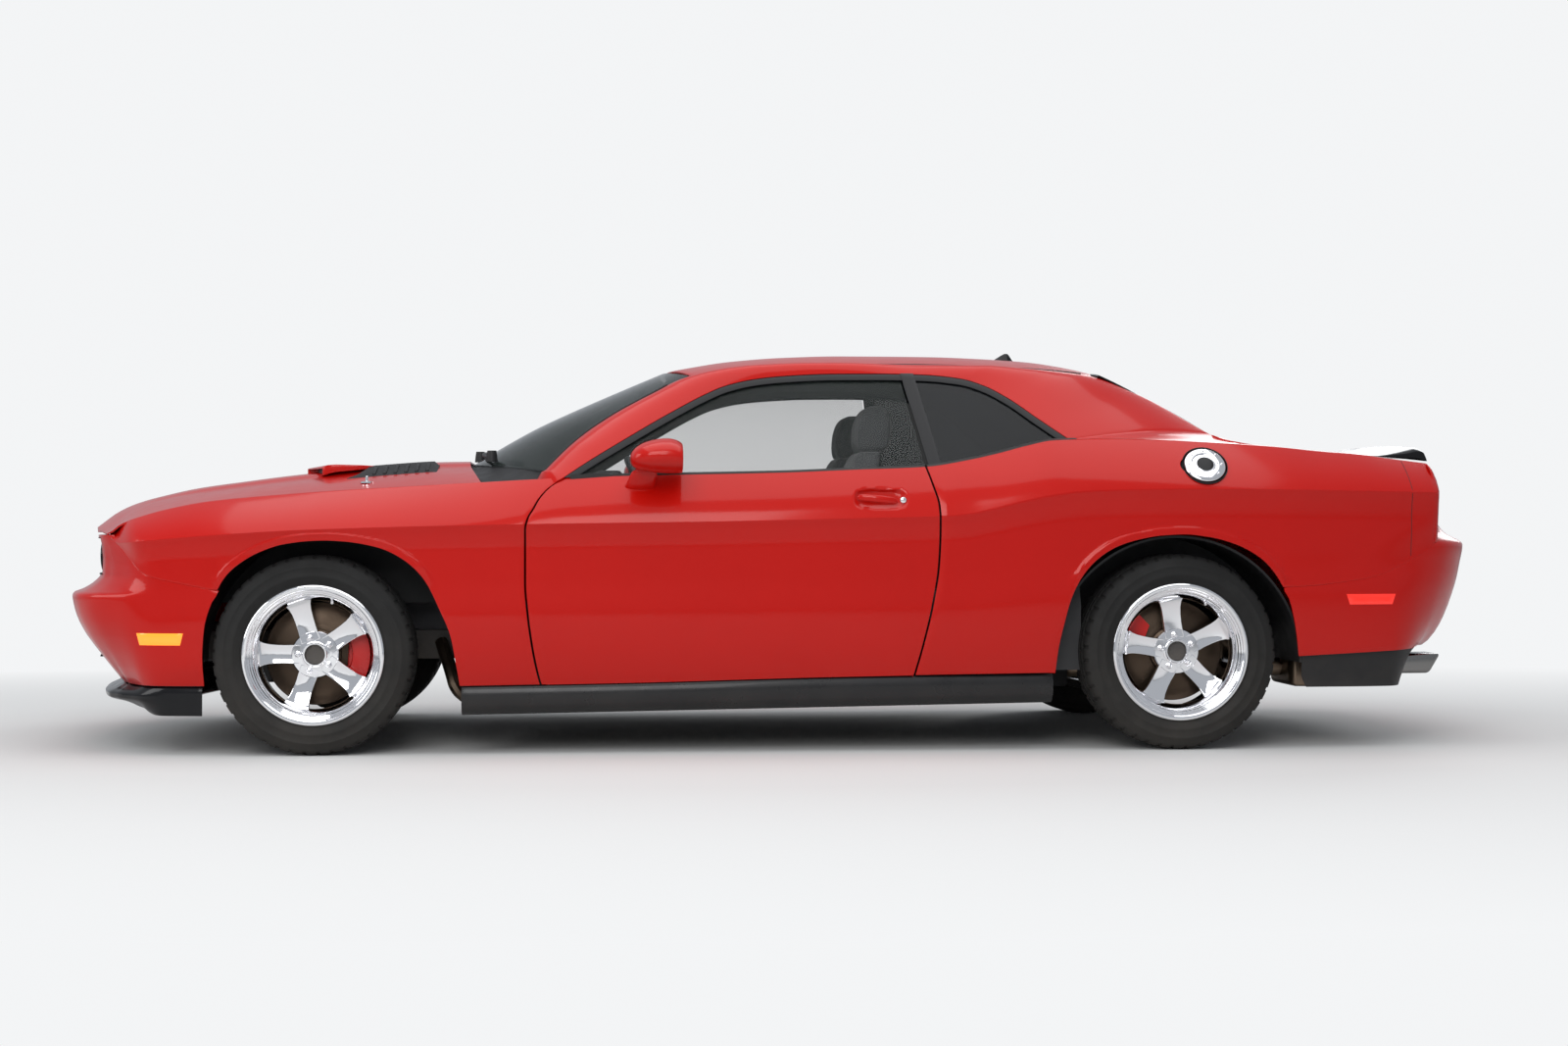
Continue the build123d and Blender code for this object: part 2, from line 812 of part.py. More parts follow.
def make_roof():
    """Roof with its pillars, cut for every window."""
    with BuildPart() as roof:
        add(cabin_outer)
        add(cabin_pillar_core, mode=Mode.SUBTRACT)
        add(outer, mode=Mode.SUBTRACT)
        add(front_prism(screen_outline, *screen_reach), mode=Mode.SUBTRACT)
        add(front_prism(rear_glass_outline, *rear_glass_reach), mode=Mode.SUBTRACT)
        for side in sides:
            span = between(side, shoulder_mid_y, outside_y)
            add(side_prism(door_glass_outline, *span, door_glass_margin), mode=Mode.SUBTRACT)
            add(side_prism(quarter_glass_outline, *span, quarter_glass_margin), mode=Mode.SUBTRACT)
    return roof.part


def make_pane(opening):
    """The glass that fills one window opening."""
    with BuildPart() as pane:
        add(cabin_outer)
        add(cabin_glass_core, mode=Mode.SUBTRACT)
        add(opening, mode=Mode.INTERSECT)
        add(outer, mode=Mode.SUBTRACT)
    return pane.part


def side_pane(outline, side):
    """Glass of one side window."""
    return make_pane(side_prism(outline, *between(side, shoulder_mid_y, outside_y)))


def make_quarter_glass():
    """Fixed panes behind both doors."""
    with BuildPart() as glass:
        for side in sides:
            add(side_pane(quarter_glass_outline, side))
    return glass.part


def make_floor():
    """Flat floor with its tunnel, the kick-up over the rear axle and the front rails."""
    with BuildPart() as floor:
        add(blocks(floor_rows))
        add(blocks(tunnel_rows), mode=Mode.SUBTRACT)
    return floor.part


def make_firewall():
    """The wall between engine and cabin, with the cowl shelf under the windshield."""
    with BuildPart() as wall:
        add(blocks(firewall_rows))
        add(blocks(firewall_holes), mode=Mode.SUBTRACT)
    return wall.part


def make_sills():
    """The black rocker under each door."""
    x_low, x_high = sill_reach
    rows = [(x_low, x_high, floor_half, drawn_width, rocker_z, sill_top_z)]
    with BuildPart() as sills:
        add(outer)
        add(blocks(rows), mode=Mode.INTERSECT)
    return sills.part


def make_grille():
    """Dark panel set back across the nose, bored for the four lamps."""
    x_low, x_high = grille_panel[:2]
    with BuildPart() as grille:
        add(block(*grille_panel))
        for y in lamp_places:
            lamp = rod(along(x_low) - 1, along(x_high) + 1, across(y), lamp_z, lamp_radius)
            add(lamp, mode=Mode.SUBTRACT)
    return grille.part


def make_headlamps():
    """Four round lamps in the grille."""
    x_low, x_high = lamp_reach
    with BuildPart() as lamps:
        for y in lamp_places:
            add(rod(along(x_low), along(x_high), across(y), lamp_z, lamp_radius - seat_gap))
    return lamps.part


def make_chin():
    """The lip under the front bumper."""
    with BuildPart() as chin:
        add(outer)
        add(side_prism(chin_outline, -outside_y, outside_y), mode=Mode.INTERSECT)
        add(zone(*chin_zone), mode=Mode.SUBTRACT)
        add(arch_space(front_arch_x, arch_radius, -outside_y, outside_y), mode=Mode.SUBTRACT)
    return chin.part


def liner_sheet(arch_x, radius, inset, low_z, side):
    """Arched sheet over one wheel with its inner wall."""
    inner_y = hub_face_y - inset
    low, high = between(side, inner_y, hub_face_y + liner_outset)
    wall_low, wall_high = between(side, inner_y, inner_y + liner_wall)
    reach = radius + liner_wall
    below = box_of((arch_x - reach, low - 1, -reach), (arch_x + reach, high + 1, arch_centre_z))
    with BuildPart() as liner:
        add(drum(arch_x, arch_centre_z, reach, low, high))
        add(drum(arch_x, arch_centre_z, radius, low - 1, high + 1), mode=Mode.SUBTRACT)
        add(below, mode=Mode.SUBTRACT)
        add(inner_wall(arch_x, radius + 1, wall_low, wall_high, low_z))
        add(skin_core, mode=Mode.INTERSECT)
    return liner.part


def inner_wall(arch_x, radius, y_low, y_high, low_z):
    """Upper part of a round plate that closes a liner towards the middle of the car."""
    with BuildPart() as wall:
        add(drum(arch_x, arch_centre_z, radius, y_low, y_high))
        add(box_of((arch_x - radius, y_low, -radius), (arch_x + radius, y_high, low_z)), mode=Mode.SUBTRACT)
    return wall.part


def make_wheel_liners():
    """The four liners."""
    front_x = front_axle_x + front_liner_shift
    front_radius = arch_radius + front_liner_growth
    with BuildPart() as liners:
        for side in sides:
            add(liner_sheet(front_x, front_radius, front_liner_inset, front_liner_low, side))
            add(liner_sheet(rear_arch_x, arch_radius, rear_liner_inset, rear_liner_low, side))
    return liners.part


def make_spoiler():
    """Raised lip across the rear edge of the trunk lid."""
    half = across(spoiler_half)
    with BuildPart() as spoiler:
        add(side_prism(spoiler_outline, -half, half))
        add(outer, mode=Mode.SUBTRACT)
    return spoiler.part


def marker_blocks(grow):
    """Blocks through the skin at the four side markers, grown by a gap."""
    with BuildPart() as through:
        for x_low, x_high, z_low, z_high in marker_rows:
            for side in sides:
                low, high = between(side, marker_inner_y, outside_y)
                low_corner = (along(x_low) - grow, low, z_low - grow)
                add(box_of(low_corner, (along(x_high) + grow, high, z_high + grow)))
    return through.part


def make_markers():
    """Small lamps on the flanks, two at the front and two at the rear."""
    with BuildPart() as markers:
        add(outer)
        add(skin_core, mode=Mode.SUBTRACT)
        add(marker_blocks(0), mode=Mode.INTERSECT)
    return markers.part


def make_exhaust():
    """A pipe to a silencer box at each side, each with a flat oblong tip."""
    x_low, x_high = pipe_reach
    with BuildPart() as exhaust:
        for side in sides:
            add(rod(along(x_low), along(x_high), side * across(pipe_y), pipe_z, pipe_radius))
        add(blocks(silencer_rows))
        add(blocks(tip_bore_rows), mode=Mode.SUBTRACT)
    return exhaust.part


def make_dashboard():
    """Dashboard across the cabin."""
    half = across(dashboard_half)
    return side_prism(dashboard_outline, -half, half)


def make_steering_wheel():
    """Rim, hub and column, tilted towards the driver."""
    x, y, z = steering_centre
    half = across(dashboard_half)
    plane = Plane(origin=(along(x), across(y), z), x_dir=(0, 1, 0), z_dir=steering_normal)
    with BuildPart() as wheel:
        with BuildSketch(plane):
            Circle(steering_rim_radius)
            Circle(steering_rim_bore, mode=Mode.SUBTRACT)
            Rectangle(*steering_spoke)
            Circle(steering_hub_radius)
        extrude(amount=steering_rim_half, both=True)
        with BuildSketch(plane.offset(-column_length)):
            Circle(column_radius)
        extrude(amount=column_length)
        add(side_prism(dashboard_outline, -half, half, seat_gap), mode=Mode.SUBTRACT)
    return wheel.part.solids().sort_by(SortBy.VOLUME)[-1]


def make_front_seat(side):
    """Cushion, back and headrest on a plinth."""
    middle = side * across(seat_centre_y)
    x_low, x_high, half, top = plinth
    with BuildPart() as seat:
        add(side_prism(cushion_outline, middle - seat_half, middle + seat_half))
        add(side_prism(back_outline, middle - seat_half, middle + seat_half))
        add(side_prism(headrest_outline, middle - headrest_half, middle + headrest_half))
        low = (along(x_low), middle - half, floor_top)
        add(box_of(low, (along(x_high), middle + half, top)))
    return seat.part


def make_front_seats():
    """Driver's and passenger's seats."""
    with BuildPart() as seats:
        for side in sides:
            add(make_front_seat(side))
    return seats.part


def make_rear_seat():
    """Bench with its back, over the kick-up."""
    half = across(rear_seat_half)
    with BuildPart() as seat:
        add(side_prism(rear_seat_outline, -half, half))
        add(block(*rear_seat_base))
        add(block(*rear_seat_tunnel), mode=Mode.SUBTRACT)
    return seat.part


def make_console():
    """Console along the tunnel."""
    return side_prism(console_outline, -console_half, console_half)


def make_front_subframe():
    """Crossmember under the engine with a tower and two arms at each side."""
    with BuildPart() as frame:
        add(blocks(subframe_rows))
        for half, inner_y, z_low, z_high in arm_rows:
            for side in sides:
                low, high = between(side, inner_y, arm_end_y)
                add(box_of((front_axle_x - half, low, z_low), (front_axle_x + half, high, z_high)))
    return frame.part


def make_rear_axle():
    """Final drive, half shafts, arms, uprights and the propeller shaft."""
    half_x, half_y, z_low, z_high = axle_case
    arm_half, arm_inner_y, arm_low, arm_high = trailing_arm
    with BuildPart() as axle:
        add(box_of((rear_axle_x - half_x, -half_y, z_low), (rear_axle_x + half_x, half_y, z_high)))
        add(drum(rear_axle_x, tyre_radius, half_shaft_radius, -upright_inner_y, upright_inner_y))
        for side in sides:
            low, high = between(side, arm_inner_y, upright_inner_y + 1)
            low_corner = (rear_axle_x - arm_half, low, arm_low)
            add(box_of(low_corner, (rear_axle_x + arm_half, high, arm_high)))
            add(make_upright(rear_axle_x, side))
        add(rod(along(pipe_reach[0]), rear_axle_x, 0, prop_shaft_z, prop_shaft_radius))
    return axle.part


def make_upright(axle_x, side):
    """Upright with its spindle."""
    low, high = between(side, upright_inner_y, upright_outer_y)
    spindle = between(side, upright_inner_y, hub_face_y + pad_thickness)
    low_corner = (axle_x - upright_half, low, tyre_radius - upright_reach)
    high_corner = (axle_x + upright_half, high, tyre_radius + upright_reach)
    with BuildPart() as upright:
        add(box_of(low_corner, high_corner))
        add(drum(axle_x, tyre_radius, hub_boss_radius, low, high))
        add(drum(axle_x, tyre_radius, spindle_radius, *spindle))
    return upright.part


def make_caliper(axle_x, side, turn):
    """Caliper straddling the disc, its arc ending at an angle from straight back."""
    inner = hub_face_y - caliper_inset
    face = hub_face_y + caliper_outset
    disc_in = disc_inner_y - disc_gap
    disc_out = disc_inner_y + disc_thickness + disc_gap
    rows = [
        (caliper_low, inner),
        (caliper_high, inner),
        (caliper_high, face),
        (caliper_low, face),
        (caliper_low, disc_out),
        (disc_radius + disc_gap, disc_out),
        (disc_radius + disc_gap, disc_in),
        (caliper_low, disc_in),
    ]
    with BuildPart() as caliper:
        with BuildSketch(Plane.XY):
            with BuildLine():
                Polyline(*[(r, side * y) for r, y in rows], close=True)
            make_face()
        revolve(axis=Axis.Y, revolution_arc=caliper_arc)
    return Location((axle_x, 0, tyre_radius)) * Rotation(0, turn, 0) * caliper.part


def make_rear_calipers():
    """Calipers of the two rear wheels."""
    with BuildPart() as calipers:
        for side in sides:
            add(make_caliper(rear_axle_x, side, rear_caliper_turn))
    return calipers.part


def make_disc(axle_x, side):
    """Brake disc with its hat, bored for the spindle."""
    hat_face = hub_face_y - running_clearance
    rows = [
        (spindle_radius + running_clearance, hat_face - hat_wall),
        (hub_pad_radius - hat_wall, hat_face - hat_wall),
        (hub_pad_radius - hat_wall, disc_inner_y),
        (disc_radius, disc_inner_y),
        (disc_radius, disc_inner_y + disc_thickness),
        (hub_pad_radius, disc_inner_y + disc_thickness),
        (hub_pad_radius, hat_face),
        (spindle_radius + running_clearance, hat_face),
    ]
    return Location((axle_x, 0, tyre_radius)) * ring_solid(rows, side)


def rim_rows():
    """Half the bead seat profile, outermost first: radius, distance in from the tyre's side."""
    return [(rim_radius, 18), (barrel_bore + barrel_wall, 30)]


def make_wheel(axle_x, side):
    """Rim barrel, spokes and the centre."""
    low = hub_face_y - tyre_width / 2
    high = hub_face_y + tyre_width / 2
    seat = rim_rows()
    barrel = [(barrel_bore, low + 8), (rim_radius, low + 8)] + [(r, low + d) for r, d in seat]
    barrel += [(r, high - d) for r, d in reversed(seat)] + [(rim_radius, high - 8), (barrel_bore, high - 8)]
    pad = between(side, hub_face_y, hub_face_y + pad_thickness)
    spoke = between(side, hub_face_y + hat_wall, hub_face_y + hat_wall + spoke_depth)
    half = spoke_width / 2
    with BuildPart() as wheel:
        add(ring_solid(barrel, side))
        add(drum(0, 0, hub_pad_radius, *pad))
        for step in range(spoke_count):
            arm = box_of((-half, spoke[0], spoke_root), (half, spoke[1], barrel_bore + 4))
            add(Rotation(0, step * 360 / spoke_count, 0) * arm)
        add(drum(0, 0, spindle_radius + running_clearance, -outside_y, outside_y), mode=Mode.SUBTRACT)
    return Location((axle_x, 0, tyre_radius)) * wheel.part


def make_tyre(axle_x, side):
    """Tyre carcass seated on the rim."""
    low = hub_face_y - tyre_width / 2
    high = hub_face_y + tyre_width / 2
    shoulder = (tyre_radius - rim_radius) * 0.385
    # Radius, distance in from the tyre's side
    half = [
        (barrel_bore + barrel_wall, 30),
        (rim_radius, 18),
        (rim_radius + shoulder, 0),
        (tyre_radius - shoulder, 0),
        (tyre_radius - 6, 20),
        (tyre_radius, 45),
    ]
    rows = [(r, low + d) for r, d in half] + [(r, high - d) for r, d in reversed(half)]
    return Location((axle_x, 0, tyre_radius)) * ring_solid(rows, side)


def make_mirror(side):
    """Mirror head on its foot, on the door."""
    head = [across(y) for y in mirror_head_reach]
    foot = [across(y) for y in mirror_foot_reach]
    with BuildPart() as mirror:
        add(side_prism(mirror_head, *between(side, *head)))
        add(side_prism(mirror_foot, *between(side, *foot)))
        add(outer, mode=Mode.SUBTRACT)
        add(cabin_outer, mode=Mode.SUBTRACT)
    return mirror.part.solids().sort_by(SortBy.VOLUME)[-1]


def side_pieces(side, word):
    """Every piece that exists once on each side."""
    made = {
        f"fender_{word}": make_fender(side),
        f"door_{word}": make_door(side),
        f"quarter_{word}": make_quarter(side),
        f"door_glass_{word}": side_pane(door_glass_outline, side),
        f"mirror_{word}": make_mirror(side),
        f"knuckle_{word}": make_upright(front_axle_x, side),
        f"front_caliper_{word}": make_caliper(front_axle_x, side, front_caliper_turn),
    }
    for end, axle_x in (("front", front_axle_x), ("rear", rear_axle_x)):
        made[f"wheel_{end}_{word}"] = make_wheel(axle_x, side)
        made[f"tyre_{end}_{word}"] = make_tyre(axle_x, side)
        made[f"disc_{end}_{word}"] = make_disc(axle_x, side)
    return made


def middle_pieces():
    """Every piece that exists once, or holds both sides."""
    return {
        "hood": make_hood(),
        "trunk_lid": make_trunk_lid(),
        "spoiler": make_spoiler(),
        "front_bumper": make_front_bumper(),
        "rear_bumper": make_rear_bumper(),
        "tail_lamps": make_tail_lamps(),
        "roof": make_roof(),
        "windshield": make_pane(front_prism(screen_outline, *screen_reach, -seat_gap)),
        "rear_glass": make_pane(front_prism(rear_glass_outline, *rear_glass_reach, -seat_gap)),
        "quarter_glass": make_quarter_glass(),
        "fuel_door": fuel_disc(0, -fuel_depth, 0),
        "side_markers": make_markers(),
        "grille": make_grille(),
        "headlamps": make_headlamps(),
        "chin_spoiler": make_chin(),
        "sills": make_sills(),
        "floor_pan": make_floor(),
        "firewall": make_firewall(),
        "rear_shelf": blocks(shelf_rows),
        "wheel_liners": make_wheel_liners(),
        "front_subframe": make_front_subframe(),
        "rear_axle": make_rear_axle(),
        "rear_calipers": make_rear_calipers(),
        "exhaust": make_exhaust(),
        "fuel_tank": blocks(tank_rows),
        "engine_block": blocks(engine_rows),
        "dashboard": make_dashboard(),
        "steering_wheel": make_steering_wheel(),
        "console": make_console(),
        "front_seats": make_front_seats(),
        "rear_seat": make_rear_seat(),
    }


outer = lower_solid(0)
skin_core = lower_solid(panel_wall)
lamp_core = lower_solid(lamp_wall)
cabin_outer = cabin_solid(0)
cabin_pillar_core = cabin_solid(pillar_wall)
cabin_glass_core = cabin_solid(glass_wall)
lower_skin = make_lower_skin()
hood_clear = plan_prism(hood_plan, hood_low_z - lid_gap, above_all, lid_gap)
trunk_clear = plan_prism(trunk_plan, up(trunk_low_z) - lid_gap, above_all, lid_gap)

pieces = {**side_pieces(-1, "left"), **side_pieces(1, "right"), **middle_pieces()}
for name, piece in pieces.items():
    piece.label = name
    export_step(piece, f"parts/{name}.step")
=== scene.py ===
"""Two-door coupe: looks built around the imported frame, laid out as an add-on."""
import json
import math

import bmesh
import bpy
import numpy as np
from mathutils import Matrix, Vector


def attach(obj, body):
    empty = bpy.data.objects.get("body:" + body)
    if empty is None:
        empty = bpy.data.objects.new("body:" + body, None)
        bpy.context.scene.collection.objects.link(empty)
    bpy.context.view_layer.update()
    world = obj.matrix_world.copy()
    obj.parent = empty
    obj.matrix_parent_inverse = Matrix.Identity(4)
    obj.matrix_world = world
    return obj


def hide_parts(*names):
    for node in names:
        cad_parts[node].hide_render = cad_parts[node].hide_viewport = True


bl_info = {
    "name": "Two-door coupe",
    "version": (1, 0, 0),
    "blender": (4, 5, 0),
    "location": "3D View > Sidebar > Coupe",
    "description": "Builds the body, glass, wheels, cabin and stage of a two-door coupe",
    "category": "Mesh",
}

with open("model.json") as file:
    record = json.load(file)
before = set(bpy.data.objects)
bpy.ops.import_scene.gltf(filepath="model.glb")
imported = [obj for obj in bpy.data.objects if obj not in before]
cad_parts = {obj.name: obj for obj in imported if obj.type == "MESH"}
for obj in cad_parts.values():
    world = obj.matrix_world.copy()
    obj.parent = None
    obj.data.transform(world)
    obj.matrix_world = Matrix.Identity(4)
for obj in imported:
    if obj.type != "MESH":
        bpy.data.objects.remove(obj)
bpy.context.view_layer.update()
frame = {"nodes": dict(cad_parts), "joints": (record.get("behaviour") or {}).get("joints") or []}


def joint_place(name):
    """Place of a joint in the row frame."""
    return next(j for j in frame["joints"] if j["name"] == name)["pos_m"]


FRONT_X = joint_place("front_left_spin")[0]
REAR_X = joint_place("rear_left_spin")[0]
HUB_Y = abs(joint_place("front_left_spin")[1])
HUB_Z = joint_place("front_left_spin")[2]
SIDES = ((-1, "left"), (1, "right"))
SKIN = 0.006
PANEL_EDGE = 0.002
DOOR_GAP = 0.007
NOSE_RAMP, TAIL_RAMP = (-0.80, -0.52), (3.98, 3.70)


def at(u, y, z):
    """Places in the row frame from the distance behind the front axle, the side and the height."""
    return np.stack(np.broadcast_arrays(FRONT_X + u, y, z), -1)


# ---- Curves of the body: distance behind the front axle against height or half-width, in metres ----

def through(points):
    """Smooth curve through a table of places, without overshoot, as a function."""
    xs, ys = np.array(points, float).T
    run, rise = np.diff(xs), np.diff(ys)
    grade = rise / run
    slopes = np.zeros(len(xs))
    for i in range(1, len(xs) - 1):
        if grade[i - 1] * grade[i] > 0:
            a, b = 2 * run[i] + run[i - 1], run[i] + 2 * run[i - 1]
            slopes[i] = (a + b) / (a / grade[i - 1] + b / grade[i])
    slopes[0], slopes[-1] = grade[0], grade[-1]

    def value(x):
        x = np.asarray(x, float)
        i = np.clip(np.searchsorted(xs, x) - 1, 0, len(xs) - 2)
        t = np.clip((x - xs[i]) / run[i], 0, 1)
        out = ys[i] * (2 * t**3 - 3 * t**2 + 1) + ys[i + 1] * (3 * t**2 - 2 * t**3)
        out = out + slopes[i] * run[i] * (t**3 - 2 * t**2 + t) + slopes[i + 1] * run[i] * (t**3 - t**2)
        return out + np.minimum(x - xs[0], 0) * slopes[0] + np.maximum(x - xs[-1], 0) * slopes[-1]

    return value


def along_path(points, shares):
    """Places at shares of the length of a smooth path through points."""
    pts = np.array(points, float)
    reach = np.concatenate([[0], np.cumsum(np.linalg.norm(np.diff(pts, axis=0), axis=1))])
    fine = np.linspace(0, reach[-1], 400)
    dense = np.stack([through(np.stack([reach, pts[:, k]], 1))(fine) for k in range(pts.shape[1])], 1)
    length = np.concatenate([[0], np.cumsum(np.linalg.norm(np.diff(dense, axis=0), axis=1))])
    want = np.asarray(shares) * length[-1]
    return np.stack([np.interp(want, length, dense[:, k]) for k in range(pts.shape[1])], 1)


def even(count):
    """Evenly spaced shares from 0 to 1."""
    return np.linspace(0, 1, count)


def eased(count):
    """Shares from 0 to 1, closer together at both ends."""
    return (1 - np.cos(np.linspace(0, math.pi, count))) / 2


crease_z = through([(-0.90, 0.700), (-0.665, 0.711), (-0.378, 0.734), (-0.058, 0.754), (0.265, 0.765),
                    (0.71, 0.775), (1.393, 0.785), (1.835, 0.795), (2.101, 0.802), (2.204, 0.810),
                    (2.294, 0.829), (2.397, 0.854), (2.487, 0.873), (2.604, 0.888), (2.812, 0.894),
                    (3.072, 0.896), (3.465, 0.892), (3.86, 0.886)])
crease_y = through([(-0.85, 0.70), (-0.70, 0.83), (-0.60, 0.885), (-0.45, 0.925), (-0.25, 0.945),
                    (0, 0.953), (0.5, 0.948), (1.2, 0.943), (2.0, 0.944), (2.5, 0.952), (2.95, 0.955),
                    (3.3, 0.950), (3.6, 0.928), (3.85, 0.885), (4.0, 0.80)])
shoulder_z = through([(-0.74, 0.735), (-0.704, 0.746), (-0.662, 0.776), (-0.597, 0.799), (-0.5, 0.826),
                      (-0.37, 0.851), (-0.24, 0.865), (-0.109, 0.876), (0.022, 0.886), (0.252, 0.900),
                      (0.516, 0.915), (0.782, 0.929), (1.048, 0.939), (1.58, 0.951), (1.818, 0.961),
                      (2.071, 0.972), (2.224, 0.997), (2.326, 1.020), (2.428, 1.047), (2.52, 1.065),
                      (2.75, 1.070), (3.095, 1.057), (3.305, 1.045), (3.479, 1.029), (3.62, 1.019),
                      (3.725, 1.006), (3.86, 0.990)])
shoulder_y = through([(-0.74, 0.70), (-0.70, 0.735), (-0.6, 0.775), (-0.4, 0.79), (0, 0.805), (0.5, 0.825),
                      (0.85, 0.858), (2.05, 0.862), (2.45, 0.845), (2.75, 0.835), (3.1, 0.825),
                      (3.5, 0.80), (3.86, 0.765)])
undercut = through([(0, 0), (0.06, 0.008), (0.15, 0.0135), (0.35, 0.013), (0.55, 0.010), (0.75, 0.016),
                    (0.9, 0.030), (1, 0.045)])
rocker_top = through([(0.40, 0.222), (1.069, 0.232), (1.723, 0.248), (2.55, 0.260)])
door_front = through([(0.22, 0.766), (0.251, 0.756), (0.349, 0.735), (0.469, 0.718), (0.58, 0.709),
                      (0.754, 0.709), (0.797, 0.719), (0.826, 0.736), (0.856, 0.752), (0.895, 0.785),
                      (0.918, 0.817), (0.934, 0.850)])
door_rear = through([(0.22, 2.010), (0.256, 2.020), (0.361, 2.048), (0.504, 2.081), (0.637, 2.102),
                     (0.747, 2.107), (0.836, 2.104), (0.902, 2.088), (0.972, 2.067)])
front_arch = [(-0.359, 0.222), (-0.362, 0.326), (-0.355, 0.424), (-0.318, 0.544), (-0.283, 0.602),
              (-0.241, 0.641), (-0.177, 0.679), (-0.09, 0.708), (0.006, 0.719), (0.042, 0.720),
              (0.103, 0.717), (0.216, 0.697), (0.30, 0.657), (0.367, 0.593), (0.421, 0.489), (0.458, 0.397),
              (0.475, 0.305), (0.488, 0.222)]
rear_arch = [(2.507, 0.256), (2.517, 0.350), (2.536, 0.438), (2.561, 0.525), (2.599, 0.599), (2.649, 0.655),
             (2.719, 0.699), (2.795, 0.723), (2.871, 0.736), (2.954, 0.740), (3.036, 0.731), (3.113, 0.712),
             (3.177, 0.684), (3.228, 0.649), (3.279, 0.589), (3.317, 0.514), (3.337, 0.432), (3.353, 0.344),
             (3.357, 0.319)]
ARCH_LINE = {"front": along_path(front_arch, even(200)), "rear": along_path(rear_arch, even(200))}
LIP = 0.022
SEAM = 0.0035


def flank_y(u, z):
    """Half-width of the body side at a place between rocker and shoulder."""
    zc, yc = crease_z(u), crease_y(u)
    above = np.clip((z - zc) / (shoulder_z(u) - zc), 0, 1.1)
    below = np.clip((zc - z) / (zc - 0.23), 0, 1.05)
    y = np.where(z >= zc, yc - (yc - shoulder_y(u)) * (0.55 * above + 0.45 * above**2),
                 yc - undercut(below))
    near = np.full(np.shape(u), 9.0)
    for line in ARCH_LINE.values():
        gap = np.hypot(u[..., None] - line[:, 0], z[..., None] - line[:, 1]).min(-1)
        near = np.minimum(near, gap)
    lip = np.clip((LIP + 0.006 - near) / 0.006, 0, 1) * np.clip((z - 0.545) / 0.10, 0, 1)
    return y + 0.006 * lip * lip * (3 - 2 * lip)


def on_flank(grid, side):
    """Side-view grid of (behind the axle, height) laid on the body side."""
    u, z = grid[..., 0], grid[..., 1]
    return at(u, side * flank_y(u, z), z)


def coons(bottom, top, left, right):
    """Grid between four edges. Bottom and top run left to right, left and right run upwards."""
    bottom, top, left, right = map(np.asarray, (bottom, top, left, right))
    s, t = even(len(bottom))[None, :, None], even(len(left))[:, None, None]
    edges = (1 - t) * bottom[None] + t * top[None] + (1 - s) * left[:, None] + s * right[:, None]
    corners = ((1 - s) * (1 - t) * bottom[0] + s * (1 - t) * bottom[-1]
               + (1 - s) * t * top[0] + s * t * top[-1])
    return edges - corners


def ruled(low, high, shares):
    """Grid of rows between two edges."""
    low, high = np.asarray(low), np.asarray(high)
    return low[None] + np.asarray(shares)[:, None, None] * (high - low)[None]


def at_height(edge, heights, shift=0.0):
    """Places on an edge at the given heights."""
    heights = np.asarray(heights)
    return np.stack([edge(heights) + shift, heights], -1)


def line_between(a, b, shares):
    """Places on the straight line between two places."""
    return np.asarray(a) + np.asarray(shares)[:, None] * (np.asarray(b) - np.asarray(a))


# ---- Making and finishing pieces ----

def clear_selection():
    """Leaves nothing selected, in object mode."""
    if bpy.context.object and bpy.context.object.mode != "OBJECT":
        bpy.ops.object.mode_set(mode="OBJECT")
    bpy.ops.object.select_all(action="DESELECT")


def only(obj):
    """Selects one object alone and makes it the active one."""
    clear_selection()
    obj.select_set(True)
    bpy.context.view_layer.objects.active = obj


def settle(obj):
    """Places the object's transform in its mesh."""
    only(obj)
    bpy.ops.object.transform_apply(location=True, rotation=True, scale=True)


def modify(obj, kind, **values):
    """Adds a modifier and applies it."""
    only(obj)
    mod = obj.modifiers.new(kind.title(), kind)
    for key, value in values.items():
        setattr(mod, key, value)
    bpy.ops.object.modifier_apply(modifier=mod.name)


def smooth(obj, degrees=35):
    """Smooth shading, with edges sharper than an angle kept."""
    only(obj)
    bpy.ops.object.shade_smooth_by_angle(angle=math.radians(degrees))


def finished(obj, name, material, body="body", nodes=(), degrees=35):
    """Names, colours and mounts a finished piece."""
    settle(obj)
    obj.name = name
    obj.data.name = name
    obj.data.materials.clear()
    obj.data.materials.append(MATERIALS[material])
    smooth(obj, degrees)
    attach(obj, body)
    if nodes:
        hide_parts(*nodes)
    obj.select_set(False)
    return obj


